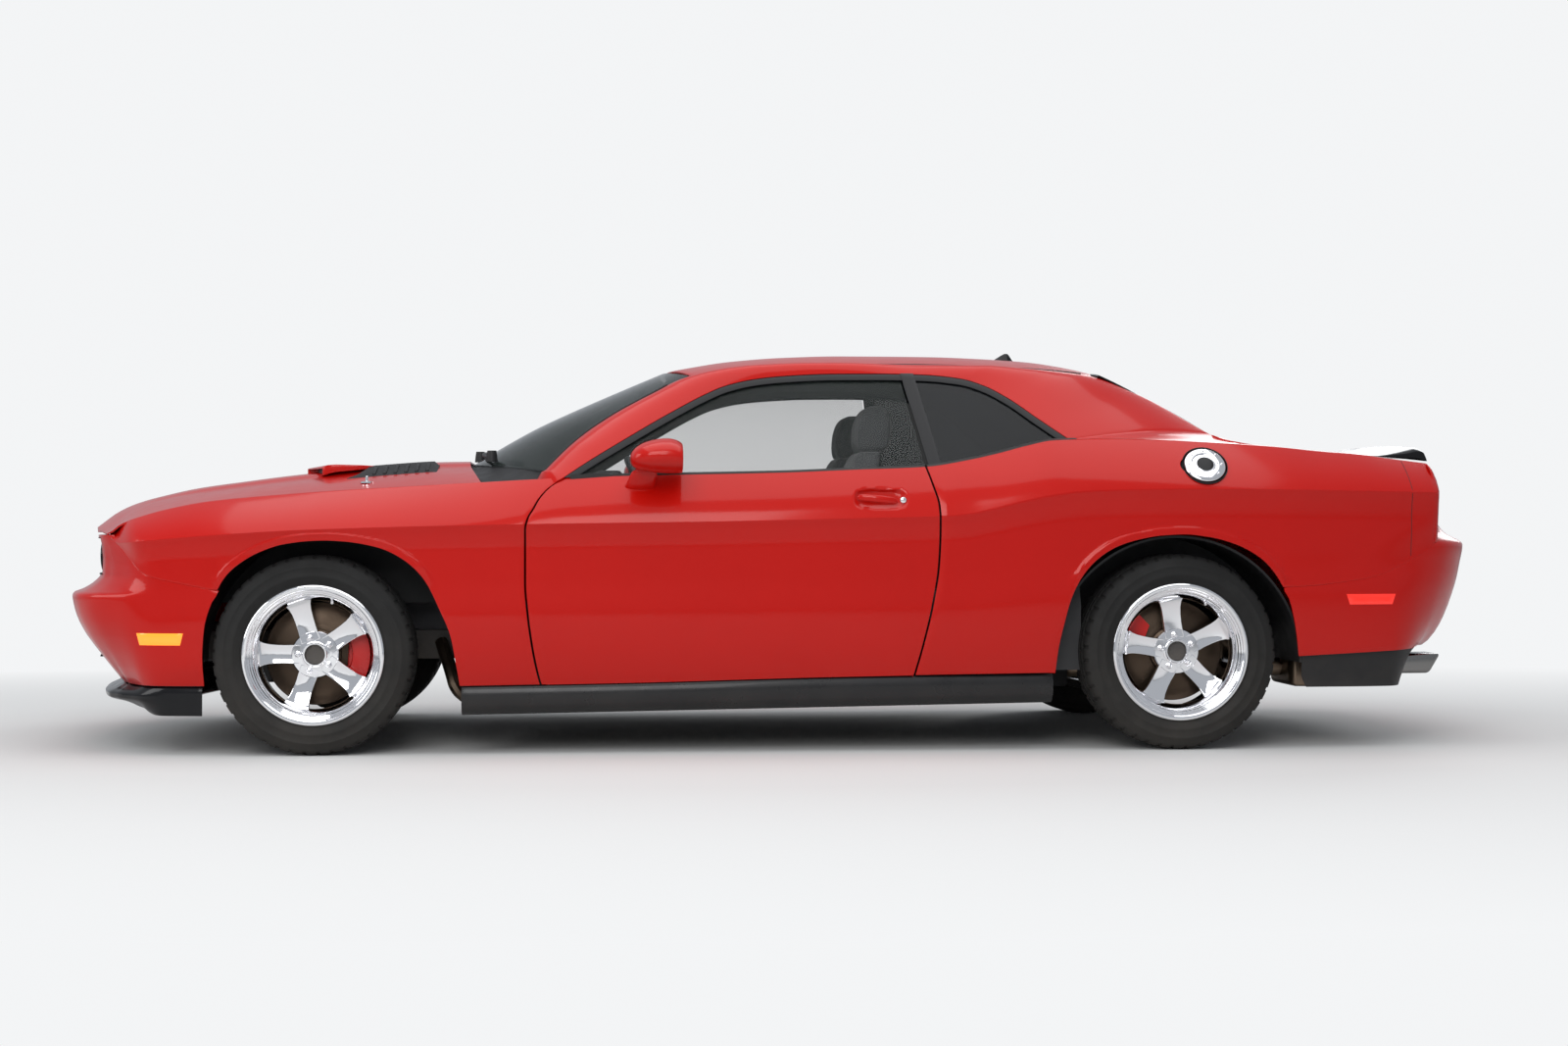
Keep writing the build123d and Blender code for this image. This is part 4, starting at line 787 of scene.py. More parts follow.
def build_groups():
    """Shared effects: grain, road dust and cloth weave."""
    group, into, out = node_group("Surface grain", [("Scale", "Float", 400.0), ("Depth", "Float", 0.3)],
                                  [("Height", "Float"), ("Spread", "Float")])
    n, l = group.nodes, group.links
    place = n.new("ShaderNodeTexCoord").outputs["Object"]
    fine = n.new("ShaderNodeTexNoise")
    fine.inputs["Detail"].default_value = 4
    l.new(place, fine.inputs["Vector"])
    l.new(into.outputs["Scale"], fine.inputs["Scale"])
    l.new(math_node(n, l, "MULTIPLY", fine.outputs["Fac"], into.outputs["Depth"]), out.inputs["Height"])
    l.new(noise_in(n, l, place, 3.0, 4.0), out.inputs["Spread"])

    group, into, out = node_group("Road dust", [("Amount", "Float", 0.3), ("Top", "Float", 0.45)],
                                  [("Mask", "Float")])
    n, l = group.nodes, group.links
    place = n.new("ShaderNodeTexCoord").outputs["Object"]
    split = n.new("ShaderNodeSeparateXYZ")
    l.new(place, split.inputs[0])
    fall = n.new("ShaderNodeMapRange")
    l.new(split.outputs["Z"], fall.inputs["Value"])
    l.new(into.outputs["Top"], fall.inputs["From Max"])
    fall.inputs["To Min"].default_value = 1
    fall.inputs["To Max"].default_value = 0
    patch = ranged(n, l, noise_in(n, l, place, 9.0, 6.0, 0.6), 0.3, 0.75, 0.25, 1.0)
    dust = math_node(n, l, "MULTIPLY", fall.outputs[0], patch)
    l.new(math_node(n, l, "MULTIPLY", dust, into.outputs["Amount"]), out.inputs["Mask"])

    group, into, out = node_group("Cloth weave", [("Scale", "Float", 500.0), ("Depth", "Float", 0.5)],
                                  [("Height", "Float"), ("Thread", "Float")])
    n, l = group.nodes, group.links
    place = n.new("ShaderNodeTexCoord").outputs["Object"]
    split = n.new("ShaderNodeSeparateXYZ")
    l.new(place, split.inputs[0])
    waves = []
    for axis in "XYZ":
        turn = math_node(n, l, "MULTIPLY", split.outputs[axis], into.outputs["Scale"])
        waves.append(math_node(n, l, "SINE", turn, 0.0))
    crossed = math_node(n, l, "ADD", math_node(n, l, "MULTIPLY", waves[0], waves[1]),
                        math_node(n, l, "MULTIPLY", waves[1], waves[2]))
    crossed = math_node(n, l, "ADD", crossed, math_node(n, l, "MULTIPLY", waves[0], waves[2]))
    l.new(ranged(n, l, crossed, -1.5, 1.5, 0.0, 1.0), out.inputs["Thread"])
    l.new(math_node(n, l, "MULTIPLY", crossed, into.outputs["Depth"]), out.inputs["Height"])


def finish(name, color, rough=0.5, metallic=0.0, coat=0.0, grain=None, depth=0.2, spread=0.06, tint=0.12,
           dust=0.0, dust_top=0.45, weave=None, **sockets):
    """A material: base colour with slow variation, grain or weave, and dust near the road."""
    mat = bpy.data.materials.new(name)
    mat.use_nodes = True
    mat.diffuse_color = (*color, 1)
    n, l = mat.node_tree.nodes, mat.node_tree.links
    shader = n["Principled BSDF"]
    place = n.new("ShaderNodeTexCoord").outputs["Object"]
    slow = noise_in(n, l, place, 2.3, 3.0)
    light = tuple(min(1.0, c * (1 + tint)) for c in color) + (1,)
    dark = tuple(c * (1 - tint) for c in color) + (1,)
    base = mixed(n, l, ranged(n, l, slow, 0.3, 0.7, 0, 1), dark, light)
    roughness = ranged(n, l, noise_in(n, l, place, 17.0, 4.0), 0.3, 0.7, max(rough - spread, 0.0),
                       min(rough + spread, 1.0))
    if grain or weave:
        group = n.new("ShaderNodeGroup")
        group.node_tree = bpy.data.node_groups["Cloth weave" if weave else "Surface grain"]
        group.inputs["Scale"].default_value = weave or grain
        group.inputs["Depth"].default_value = depth
        bump = n.new("ShaderNodeBump")
        bump.inputs["Distance"].default_value = 0.001
        bump.inputs["Strength"].default_value = 0.6
        l.new(group.outputs["Height"], bump.inputs["Height"])
        l.new(bump.outputs["Normal"], shader.inputs["Normal"])
        if weave:
            base = mixed(n, l, ranged(n, l, group.outputs["Thread"], 0.3, 0.7, 0, 1), base,
                         tuple(c * 0.55 for c in color) + (1,))
    if dust:
        group = n.new("ShaderNodeGroup")
        group.node_tree = bpy.data.node_groups["Road dust"]
        group.inputs["Amount"].default_value = dust
        group.inputs["Top"].default_value = dust_top
        base = mixed(n, l, group.outputs["Mask"], base, (0.20, 0.17, 0.14, 1))
        sum_up = math_node(n, l, "ADD", roughness, math_node(n, l, "MULTIPLY", group.outputs["Mask"], 0.6))
        roughness = math_node(n, l, "MINIMUM", sum_up, 1.0)
    l.new(base, shader.inputs["Base Color"])
    l.new(roughness, shader.inputs["Roughness"])
    shader.inputs["Metallic"].default_value = metallic
    shader.inputs["Coat Weight"].default_value = coat
    shader.inputs["Coat Roughness"].default_value = 0.03
    for key, value in sockets.items():
        shader.inputs[key.replace("_", " ")].default_value = value
    MATERIALS[name] = mat
    return mat


def glazing(name, color, clear, edge):
    """Thin glass: mostly clear face on, and bright at a grazing angle."""
    mat = finish(name, color, rough=0.02, spread=0.01)
    n, l = mat.node_tree.nodes, mat.node_tree.links
    shader = n["Principled BSDF"]
    fresnel = n.new("ShaderNodeFresnel")
    fresnel.inputs["IOR"].default_value = 1.45
    l.new(ranged(n, l, fresnel.outputs[0], 0.03, 0.6, clear, edge), shader.inputs["Alpha"])
    shader.inputs["IOR"].default_value = 1.5
    return mat


def build_finishes():
    """Every material of the car, by its name."""
    build_groups()
    paint = tuple(bpy.context.scene.coupe_colours.paint)
    finish("paint", paint, rough=0.32, coat=0.45, tint=0.02, spread=0.02, grain=900.0, depth=0.02,
           dust=0.06, dust_top=0.35, Specular_IOR_Level=0.3, Specular_Tint=(1.0, 0.25, 0.2, 1),
           Coat_Roughness=0.10)
    finish("black_gloss", (0.005, 0.005, 0.006), rough=0.18, coat=0.15, tint=0.1, Specular_IOR_Level=0.2)
    finish("black_plastic", (0.012, 0.012, 0.013), rough=0.5, grain=700.0, depth=0.3, dust=0.2,
           Specular_IOR_Level=0.3)
    finish("sill_black", (0.008, 0.008, 0.009), rough=0.3, coat=0.15, dust=0.12, dust_top=0.3,
           Specular_IOR_Level=0.3)
    finish("underbody", (0.03, 0.03, 0.032), rough=0.65, grain=120.0, depth=0.8, dust=0.7, dust_top=0.8)
    finish("dark_chrome", (0.22, 0.215, 0.21), rough=0.16, metallic=1.0, spread=0.03, tint=0.05)
    finish("polished", (0.83, 0.83, 0.85), rough=0.07, metallic=1.0, spread=0.03, tint=0.02)
    finish("brushed", (0.55, 0.55, 0.56), rough=0.3, metallic=1.0, grain=300.0, depth=0.15)
    finish("heat_steel", (0.20, 0.15, 0.11), rough=0.38, metallic=1.0, tint=0.35)
    finish("disc_iron", (0.07, 0.050, 0.036), rough=0.38, metallic=1.0, grain=250.0, depth=0.3, tint=0.25)
    finish("caliper_red", (0.55, 0.008, 0.006), rough=0.3, coat=0.3, dust=0.06, dust_top=0.6,
           Specular_IOR_Level=0.3)
    finish("tyre_rubber", (0.010, 0.0098, 0.0095), rough=0.75, grain=500.0, depth=0.25, tint=0.2, dust=0.14,
           dust_top=0.5, Specular_IOR_Level=0.3)
    # Dark rubber for the seals; the same dark colour also paints the shade line on each tail seam.
    finish("rubber_seal", (0.01, 0.01, 0.01), rough=0.6, grain=500.0, depth=0.1)
    finish("seat_cloth", (0.12, 0.12, 0.125), rough=0.9, weave=1500.0, depth=0.4, Sheen_Weight=0.3)
    finish("cabin_plastic", (0.03, 0.03, 0.032), rough=0.55, grain=600.0, depth=0.2)
    finish("cabin_leather", (0.025, 0.025, 0.027), rough=0.45, grain=350.0, depth=0.7)
    finish("carpet", (0.02, 0.02, 0.021), rough=0.95, grain=900.0, depth=1.2)
    finish("headliner", (0.10, 0.098, 0.095), rough=0.95, grain=900.0, depth=0.12)
    finish("engine_iron", (0.06, 0.06, 0.065), rough=0.5, metallic=0.6, grain=90.0, depth=0.6)
    finish("lamp_red", (0.30, 0.004, 0.006), rough=0.08, coat=1.0, tint=0.05)
    finish("marker_red", (0.7, 0.015, 0.01), rough=0.15, coat=0.4)
    finish("marker_amber", (0.9, 0.22, 0.015), rough=0.15, coat=0.4)
    for name, color, power in (("marker_red", (1.0, 0.03, 0.01, 1), 0.5),
                               ("marker_amber", (1.0, 0.30, 0.02, 1), 0.9)):
        shader = MATERIALS[name].node_tree.nodes["Principled BSDF"]
        shader.inputs["Emission Color"].default_value = color
        shader.inputs["Emission Strength"].default_value = power
    finish("lamp_bowl", (0.75, 0.76, 0.78), rough=0.12, metallic=1.0, spread=0.05)
    finish("clear_eye", (0.35, 0.37, 0.40), rough=0.05, coat=1.0, tint=0.05)
    glazing("lamp_lens", (0.75, 0.78, 0.80), 0.12, 0.8)
    glazing("clear_glass", (0.02, 0.028, 0.026), 0.12, 0.80)
    glazing("dark_glass", (0.006, 0.007, 0.008), 0.80, 0.98)
    pane = MATERIALS["dark_glass"].node_tree.nodes["Principled BSDF"]
    pane.inputs["Specular IOR Level"].default_value = 0.25


NODE_FINISH = {"floor_pan": "underbody", "firewall": "underbody", "rear_shelf": "carpet",
               "wheel_liners": "black_plastic", "front_subframe": "underbody", "rear_axle": "underbody",
               "rear_calipers": "caliper_red", "exhaust": "heat_steel", "fuel_tank": "black_plastic",
               "engine_block": "engine_iron", "dashboard": "cabin_plastic",
               "steering_wheel": "cabin_leather", "console": "cabin_plastic", "front_seats": "seat_cloth",
               "rear_seat": "seat_cloth", "grille": "black_plastic", "headlamps": "lamp_bowl",
               "side_markers": "marker_red", "chin_spoiler": "black_gloss", "sills": "sill_black",
               "spoiler": "black_gloss", "fuel_door": "polished", "tail_lamps": "lamp_red", "roof": "paint",
               "hood": "paint", "trunk_lid": "paint", "front_bumper": "paint", "rear_bumper": "paint",
               "windshield": "clear_glass", "rear_glass": "dark_glass", "quarter_glass": "dark_glass",}
for word in ("left", "right"):
    NODE_FINISH.update({f"fender_{word}": "paint", f"door_{word}": "paint", f"quarter_{word}": "paint",
                        f"mirror_{word}": "paint", f"door_glass_{word}": "clear_glass",
                        f"knuckle_{word}": "underbody", f"front_caliper_{word}": "caliper_red"})
    for end in ("front", "rear"):
        NODE_FINISH.update({f"wheel_{end}_{word}": "polished", f"tyre_{end}_{word}": "tyre_rubber",
                            f"disc_{end}_{word}": "disc_iron"})


# ---- Sizes and colours a user would change ----

class CoupeColours(bpy.types.PropertyGroup):
    paint: bpy.props.FloatVectorProperty(name="Body paint", description="Colour of the body panels", size=3,
                                         subtype="COLOR", min=0, max=1, default=(0.43, 0.0035, 0.0015))
    floor: bpy.props.FloatVectorProperty(name="Floor", description="Colour of the stage floor", size=3,
                                         subtype="COLOR", min=0, max=1, default=(0.62, 0.62, 0.61))


class CoupeSizes(bpy.types.PropertyGroup):
    panel_wall: bpy.props.FloatProperty(name="Panel wall", description="Thickness of the body sheets",
        default=0.005, min=0.001, max=0.02, unit="LENGTH")
    glass_wall: bpy.props.FloatProperty(name="Glass wall", description="Thickness of the side windows",
        default=0.004, min=0.001, max=0.01, unit="LENGTH")


# ---- Operators ----

class COUPE_OT_finishes(bpy.types.Operator):
    """Make every finish and give each frame piece its own"""
    bl_idname = "coupe.finishes"
    bl_label = "Finishes"

    def execute(self, context):
        build_finishes()
        for name, obj in frame["nodes"].items():
            obj.data.materials.clear()
            obj.data.materials.append(MATERIALS[NODE_FINISH[name]])
        return {"FINISHED"}


class COUPE_OT_fenders(bpy.types.Operator):
    """Front fenders and quarter panels"""
    bl_idname = "coupe.fenders"
    bl_label = "Fenders and quarters"

    def execute(self, context):
        wall = context.scene.coupe_sizes.panel_wall
        for side, word in SIDES:
            piece = sheet(f"fender_skin_{word}", fender_grids(side), (0, 0, 0.5), wall=wall, bevel=0.0015)
            finished(piece, f"fender_skin_{word}", "paint", nodes=[f"fender_{word}"])
            piece = sheet(f"quarter_skin_{word}", quarter_grids(side) + [tail_corner(side)], (3.0, 0, 0.5),
                          wall=wall, bevel=0.0015)
            finished(piece, f"quarter_skin_{word}", "paint", nodes=[f"quarter_{word}"])
        return {"FINISHED"}


class COUPE_OT_bumpers(bpy.types.Operator):
    """Nose and tail covers"""
    bl_idname = "coupe.bumpers"
    bl_label = "Bumpers"

    def execute(self, context):
        front_bumper_piece()
        rear_bumper_piece()
        return {"FINISHED"}


class COUPE_OT_doors(bpy.types.Operator):
    """Doors with their outer skins"""
    bl_idname = "coupe.doors"
    bl_label = "Doors"

    def execute(self, context):
        for side, word in SIDES:
            piece = sheet(f"door_skin_{word}", door_grids(side), (1.4, 0, 0.5),
                          wall=context.scene.coupe_sizes.panel_wall, bevel=0.0015)
            finished(piece, f"door_skin_{word}", "paint", f"door_{word}")
        return {"FINISHED"}


class COUPE_OT_lids(bpy.types.Operator):
    """Hood and trunk lid"""
    bl_idname = "coupe.lids"
    bl_label = "Hood and trunk lid"

    def execute(self, context):
        piece = sheet("hood_skin", [hood_grid()], wall=SKIN, heart=(0, 0, -1), bevel=PANEL_EDGE)
        finished(piece, "hood_skin", "paint", "hood", nodes=["hood"])
        rows = []
        for share in np.linspace(-1, 1, 61):
            y = share * 0.6965
            end = 3.951 - 0.115 * y * y / 0.49 * 0.75
            line = 3.302 + (end - 3.302) * even(60)
            rows.append(at(line, y, deck_z(line, np.full(60, y)) - 0.002))
        grid = np.array(rows)
        last = grid[:, -1]
        fall = [grid.transpose(1, 0, 2)[-1]]
        for z, run in ((0.993, 0.012), (0.975, 0.028), (0.957, 0.036)):
            fall.append(np.stack([last[:, 0] + run, last[:, 1], np.full(len(last), z)], -1))
        piece = sheet("trunk_skin", [grid, np.array(fall)], wall=SKIN, heart=(3.5, 0, 0.2),
                      bevel=PANEL_EDGE)
        finished(piece, "trunk_skin", "paint", "trunk_lid", nodes=["trunk_lid"])
        return {"FINISHED"}


class COUPE_OT_roof(bpy.types.Operator):
    """Roof and pillars"""
    bl_idname = "coupe.roof"
    bl_label = "Roof and pillars"

    def execute(self, context):
        piece = sheet("roof_skin", [roof_grid()], wall=0.008, heart=(2, 0, 0.5), bevel=0.0015)
        finished(piece, "roof_skin", "paint", nodes=["roof"])
        for side, word in SIDES:
            grid = pillar_grid(side)
            first = grid[:, 0]
            foot = [first, first + (-0.012, side * 0.003, -0.006),
                    np.stack([first[:, 0] - 0.036, first[:, 1], np.full(len(first), 0.910)], -1)]
            piece = sheet(f"pillar_skin_{word}", [grid, np.array(foot)], wall=0.02, heart=(2, 0, 0.7),
                          bevel=0.0015)
            finished(piece, f"pillar_skin_{word}", "paint")
        return {"FINISHED"}


class COUPE_OT_glass(bpy.types.Operator):
    """Windshield, rear glass and side windows"""
    bl_idname = "coupe.glass"
    bl_label = "Glass"

    def execute(self, context):
        front = through([(z, y) for y, z in ((0.775, 0.955), (0.745, 1.00), (0.70, 1.07), (0.655, 1.15),
                             (0.605, 1.235), (0.575, 1.28), (0.56, 1.307))])
        pairs = [(float(front(z)), z) for z in np.linspace(0.955, 1.300, 40)]
        grid = screen_grid(windshield_place, pairs, 41, 0.004)
        shift = np.linspace(0, 1, 40)[:, None] ** 3 * 0.034 * (1 - np.linspace(-1, 1, 41)[None] ** 2)
        grid[..., 2] += shift
        grid[..., 0] += shift * 2.2
        low = np.linspace(1, 0, 40)[:, None] ** 3 * 0.040 * (1 - np.linspace(-1, 1, 41)[None] ** 2)
        grid[..., 2] += low
        grid[..., 0] += low * 1.6
        piece = sheet("windshield_pane", [grid], wall=0.005, heart=(2, 0, 0.7))
        finished(piece, "windshield_pane", "clear_glass", nodes=["windshield"])
        back = through([(z, y) for y, z in ((0.65, 1.085), (0.64, 1.095), (0.54, 1.24), (0.52, 1.314))])
        pairs = [(float(back(z)), z) for z in np.linspace(1.092, 1.312, 30)]
        grid = screen_grid(rear_glass_place, pairs, 41, 0.004)
        shift = np.linspace(0, 1, 30)[:, None] ** 3 * 0.026 * (1 - np.linspace(-1, 1, 41)[None] ** 2)
        grid[..., 2] += shift
        grid[..., 0] -= shift * 2.0
        piece = sheet("rear_pane", [grid], wall=0.005, heart=(2, 0, 0.7))
        finished(piece, "rear_pane", "dark_glass", nodes=["rear_glass"])
        top = np.array([(u, z) for u, z in DLO_TOP])
        top_z = through(top)
        for side, word in SIDES:
            for name, start, end, count, owner, node, material in (
                    ("door_pane", 0.85, 2.040, 60, f"door_{word}", f"door_glass_{word}", "clear_glass"),
                    ("quarter_pane", 2.052, 2.575, 30, "body", "quarter_glass", "dark_glass")):
                rows = []
                for share in even(24):
                    lean = 0.035 - 0.066 * share
                    us = np.linspace(start + (lean if start > 2 else 0), end + (lean if start < 2 else 0),
                                     count)
                    low_z = shoulder_z(us) - 0.012
                    z = low_z + (top_z(us) - 0.006 - low_z) * share
                    rows.append(at(us, side * (side_y(z) - 0.010), z))
                piece = sheet(f"{name}_{word}", [np.array(rows)], wall=context.scene.coupe_sizes.glass_wall,
                              heart=(2, 0, 0.9))
                finished(piece, f"{name}_{word}", material, owner,
                         nodes=[node] if node != "quarter_glass" or word == "left" else ())
        return {"FINISHED"}


# ---- Shapes drawn with the edit tools ----

def turned(profile, steps=96, closed=False, arc=360.0):
    """A profile of (radius, offset) spun about the Y axis, with its normals made consistent."""
    clear_selection()
    bpy.ops.mesh.primitive_plane_add(size=0.01, location=(0, 0, 0))
    obj = bpy.context.object
    bpy.ops.object.mode_set(mode="EDIT")
    bpy.ops.mesh.select_all(action="SELECT")
    bpy.ops.mesh.merge(type="CENTER")
    bpy.ops.transform.translate(value=(profile[0][0], profile[0][1], 0))
    line = list(profile) + ([profile[0]] if closed else [])
    for (r0, y0), (r1, y1) in zip(line, line[1:]):
        bpy.ops.mesh.extrude_vertices_move(TRANSFORM_OT_translate={"value": (r1 - r0, y1 - y0, 0)})
    bpy.ops.mesh.select_all(action="SELECT")
    bpy.ops.mesh.spin(steps=steps, angle=math.radians(arc), center=(0, 0, 0), axis=(0, 1, 0))
    bpy.ops.mesh.select_all(action="SELECT")
    bpy.ops.mesh.remove_doubles(threshold=2e-5)
    bpy.ops.mesh.normals_make_consistent(inside=False)
    bpy.ops.object.mode_set(mode="OBJECT")
    return obj


def drawn_out(stations, sides=4, bevel=0.0, segments=2, degrees=30):
    """A closed form drawn upwards through stations: centre x, y, z, then its width along x and along y."""
    x, y, z, wide, deep = stations[0]
    clear_selection()
    if sides == 4:
        bpy.ops.mesh.primitive_plane_add(size=1, location=(0, 0, 0))
    else:
        bpy.ops.mesh.primitive_circle_add(vertices=sides, radius=0.5, fill_type="NGON", location=(0, 0, 0))
    obj = bpy.context.object
    bpy.ops.object.mode_set(mode="EDIT")
    bpy.ops.mesh.select_all(action="SELECT")
    bpy.ops.transform.resize(value=(wide, deep, 1))
    bpy.ops.transform.translate(value=(x, y, z))
    for (x0, y0, z0, w0, d0), (x1, y1, z1, w1, d1) in zip(stations, stations[1:]):
        bpy.ops.mesh.extrude_region_move(TRANSFORM_OT_translate={"value": (x1 - x0, y1 - y0, z1 - z0)})
        bpy.ops.transform.resize(value=(w1 / w0, d1 / d0, 1), center_override=(x1, y1, z1))
    bpy.ops.mesh.select_all(action="SELECT")
    bpy.ops.mesh.normals_make_consistent(inside=False)
    bpy.ops.object.mode_set(mode="OBJECT")
    if bevel:
        modify(obj, "BEVEL", width=bevel, segments=segments, limit_method="ANGLE",
               angle_limit=math.radians(degrees))
    return obj


def copied(obj, place=(0, 0, 0), turn=(0, 0, 0)):
    """A copy with its own mesh, turned in degrees and then moved."""
    only(obj)
    bpy.ops.object.duplicate(linked=False)
    copy = bpy.context.object
    moved(copy, place, turn)
    return copy


def moved(obj, place=(0, 0, 0), turn=(0, 0, 0)):
    """Turns and moves an object, and settles it."""
    obj.rotation_euler = [math.radians(a) for a in turn]
    obj.location = place
    settle(obj)
    return obj


def joined(objs):
    """Makes one object of several."""
    clear_selection()
    for obj in objs:
        obj.select_set(True)
    bpy.context.view_layer.objects.active = objs[0]
    bpy.ops.object.join()
    return objs[0]


def flipped(obj):
    """Puts a drawing on the other side of the car."""
    obj.scale = (1, -1, 1)
    settle(obj)
    bpy.ops.object.mode_set(mode="EDIT")
    bpy.ops.mesh.select_all(action="SELECT")
    bpy.ops.mesh.flip_normals()
    bpy.ops.object.mode_set(mode="OBJECT")
    return obj


def cut_by(obj, tool, operation="DIFFERENCE"):
    """Cuts an object with another, which is then removed."""
    modify(obj, "BOOLEAN", operation=operation, object=tool, solver="EXACT")
    only(tool)
    bpy.ops.object.delete()
    return obj


def faces_where(obj, test):
    """Leaves the object in edit mode with the faces selected whose middle and normal pass the test."""
    only(obj)
    bpy.ops.object.mode_set(mode="EDIT")
    bpy.ops.mesh.select_mode(type="FACE")
    bpy.ops.mesh.select_all(action="DESELECT")
    bm = bmesh.from_edit_mesh(obj.data)
    for face in bm.faces:
        face.select_set(bool(test(face.calc_center_median(), face.normal)))
    bmesh.update_edit_mesh(obj.data)


def leave_edit():
    """Goes back to object mode."""
    bpy.ops.mesh.select_mode(type="VERT")
    bpy.ops.object.mode_set(mode="OBJECT")


# ---- Wheels: drawn about the Y axis with the outside towards -Y, then copied to each hub ----

WHEEL_PLACES = [("front", "left", FRONT_X, -1), ("front", "right", FRONT_X, 1),
                ("rear", "left", REAR_X, -1), ("rear", "right", REAR_X, 1)]


def at_each_hub(obj, name, material, node, body="wheel_{end}_{word}", front_turn=0.0, rear_turn=0.0,
                nodes=True):
    """Copies a finished drawing to the four hubs."""
    for end, word, x, side in WHEEL_PLACES:
        turn = front_turn if end == "front" else rear_turn
        copy = copied(obj, turn=(0, turn, 0))
        if side > 0:
            copy = moved(copy, turn=(0, 0, 180))
        moved(copy, (x, side * HUB_Y, HUB_Z))
        names = [f"{node}_{end}_{word}"] if nodes else []
        finished(copy, f"{name}_{end}_{word}", material, body.format(end=end, word=word), nodes=names)
    only(obj)
    bpy.ops.object.delete()


class COUPE_OT_tyres(bpy.types.Operator):
    """Tyres with raised sidewall rings, circumferential grooves and shoulder blocks"""
    bl_idname = "coupe.tyres"
    bl_label = "Tyres"

    def execute(self, context):
        half = [(0.226, 0.104), (0.229, 0.111), (0.2345, 0.1145), (0.240, 0.1135), (0.243, 0.1165),
                (0.262, 0.1215), (0.264, 0.1228), (0.268, 0.1228), (0.270, 0.1222), (0.292, 0.1212),
                (0.294, 0.1222), (0.297, 0.1216), (0.299, 0.1202), (0.313, 0.1158), (0.3225, 0.1105),
                (0.3285, 0.1035), (0.3320, 0.096)]
        tread = [(0.3342, 0.084), (0.3347, 0.066), (0.3270, 0.064), (0.3270, 0.055), (0.3352, 0.053),
                 (0.3357, 0.027), (0.3275, 0.0255), (0.3275, 0.0155), (0.3359, 0.014)]
        outer = [(r, -y) for r, y in half + tread]
        inner = [(r, y) for r, y in reversed(half + tread)]
        tyre = turned(outer + inner, steps=180)
        step = 2 * math.pi / 180

        def block_gap(c, _normal):
            turn = int(math.atan2(c.z, c.x) // step) % 4
            reach = math.hypot(c.x, c.z)
            shoulder = 0.318 < reach and abs(c.y) > 0.066 and turn == 0
            return shoulder or (reach > 0.3345 and 0.030 < abs(c.y) < 0.052 and turn == 1)

        faces_where(tyre, block_gap)
        bpy.ops.mesh.extrude_region_shrink_fatten(TRANSFORM_OT_shrink_fatten={"value": -0.004})
        leave_edit()
        modify(tyre, "BEVEL", width=0.0012, segments=1, limit_method="ANGLE", angle_limit=math.radians(60))
        at_each_hub(tyre, "tyre_tread", "tyre_rubber", "tyre")
        return {"FINISHED"}


def spoke_shape():
    """One spoke, drawn outwards along Z: a narrow waist, a flared and forward-curving end."""
    spoke = drawn_out([(0, -0.036, 0.045, 0.066, 0.030), (0, -0.038, 0.072, 0.064, 0.026),
                       (0, -0.038, 0.098, 0.062, 0.024), (0, -0.040, 0.125, 0.063, 0.023),
                       (0, -0.045, 0.150, 0.067, 0.022), (0, -0.051, 0.168, 0.075, 0.022),
                       (0, -0.058, 0.181, 0.088, 0.024), (0, -0.064, 0.1905, 0.106, 0.026)])
    faces_where(spoke, lambda c, n: n.y < -0.6 and 0.05 < c.z < 0.175)
    bpy.ops.mesh.inset(thickness=0.009, depth=-0.0035, use_boundary=True)
    leave_edit()
    modify(spoke, "BEVEL", width=0.0028, segments=2, limit_method="ANGLE", angle_limit=math.radians(38))
    return spoke


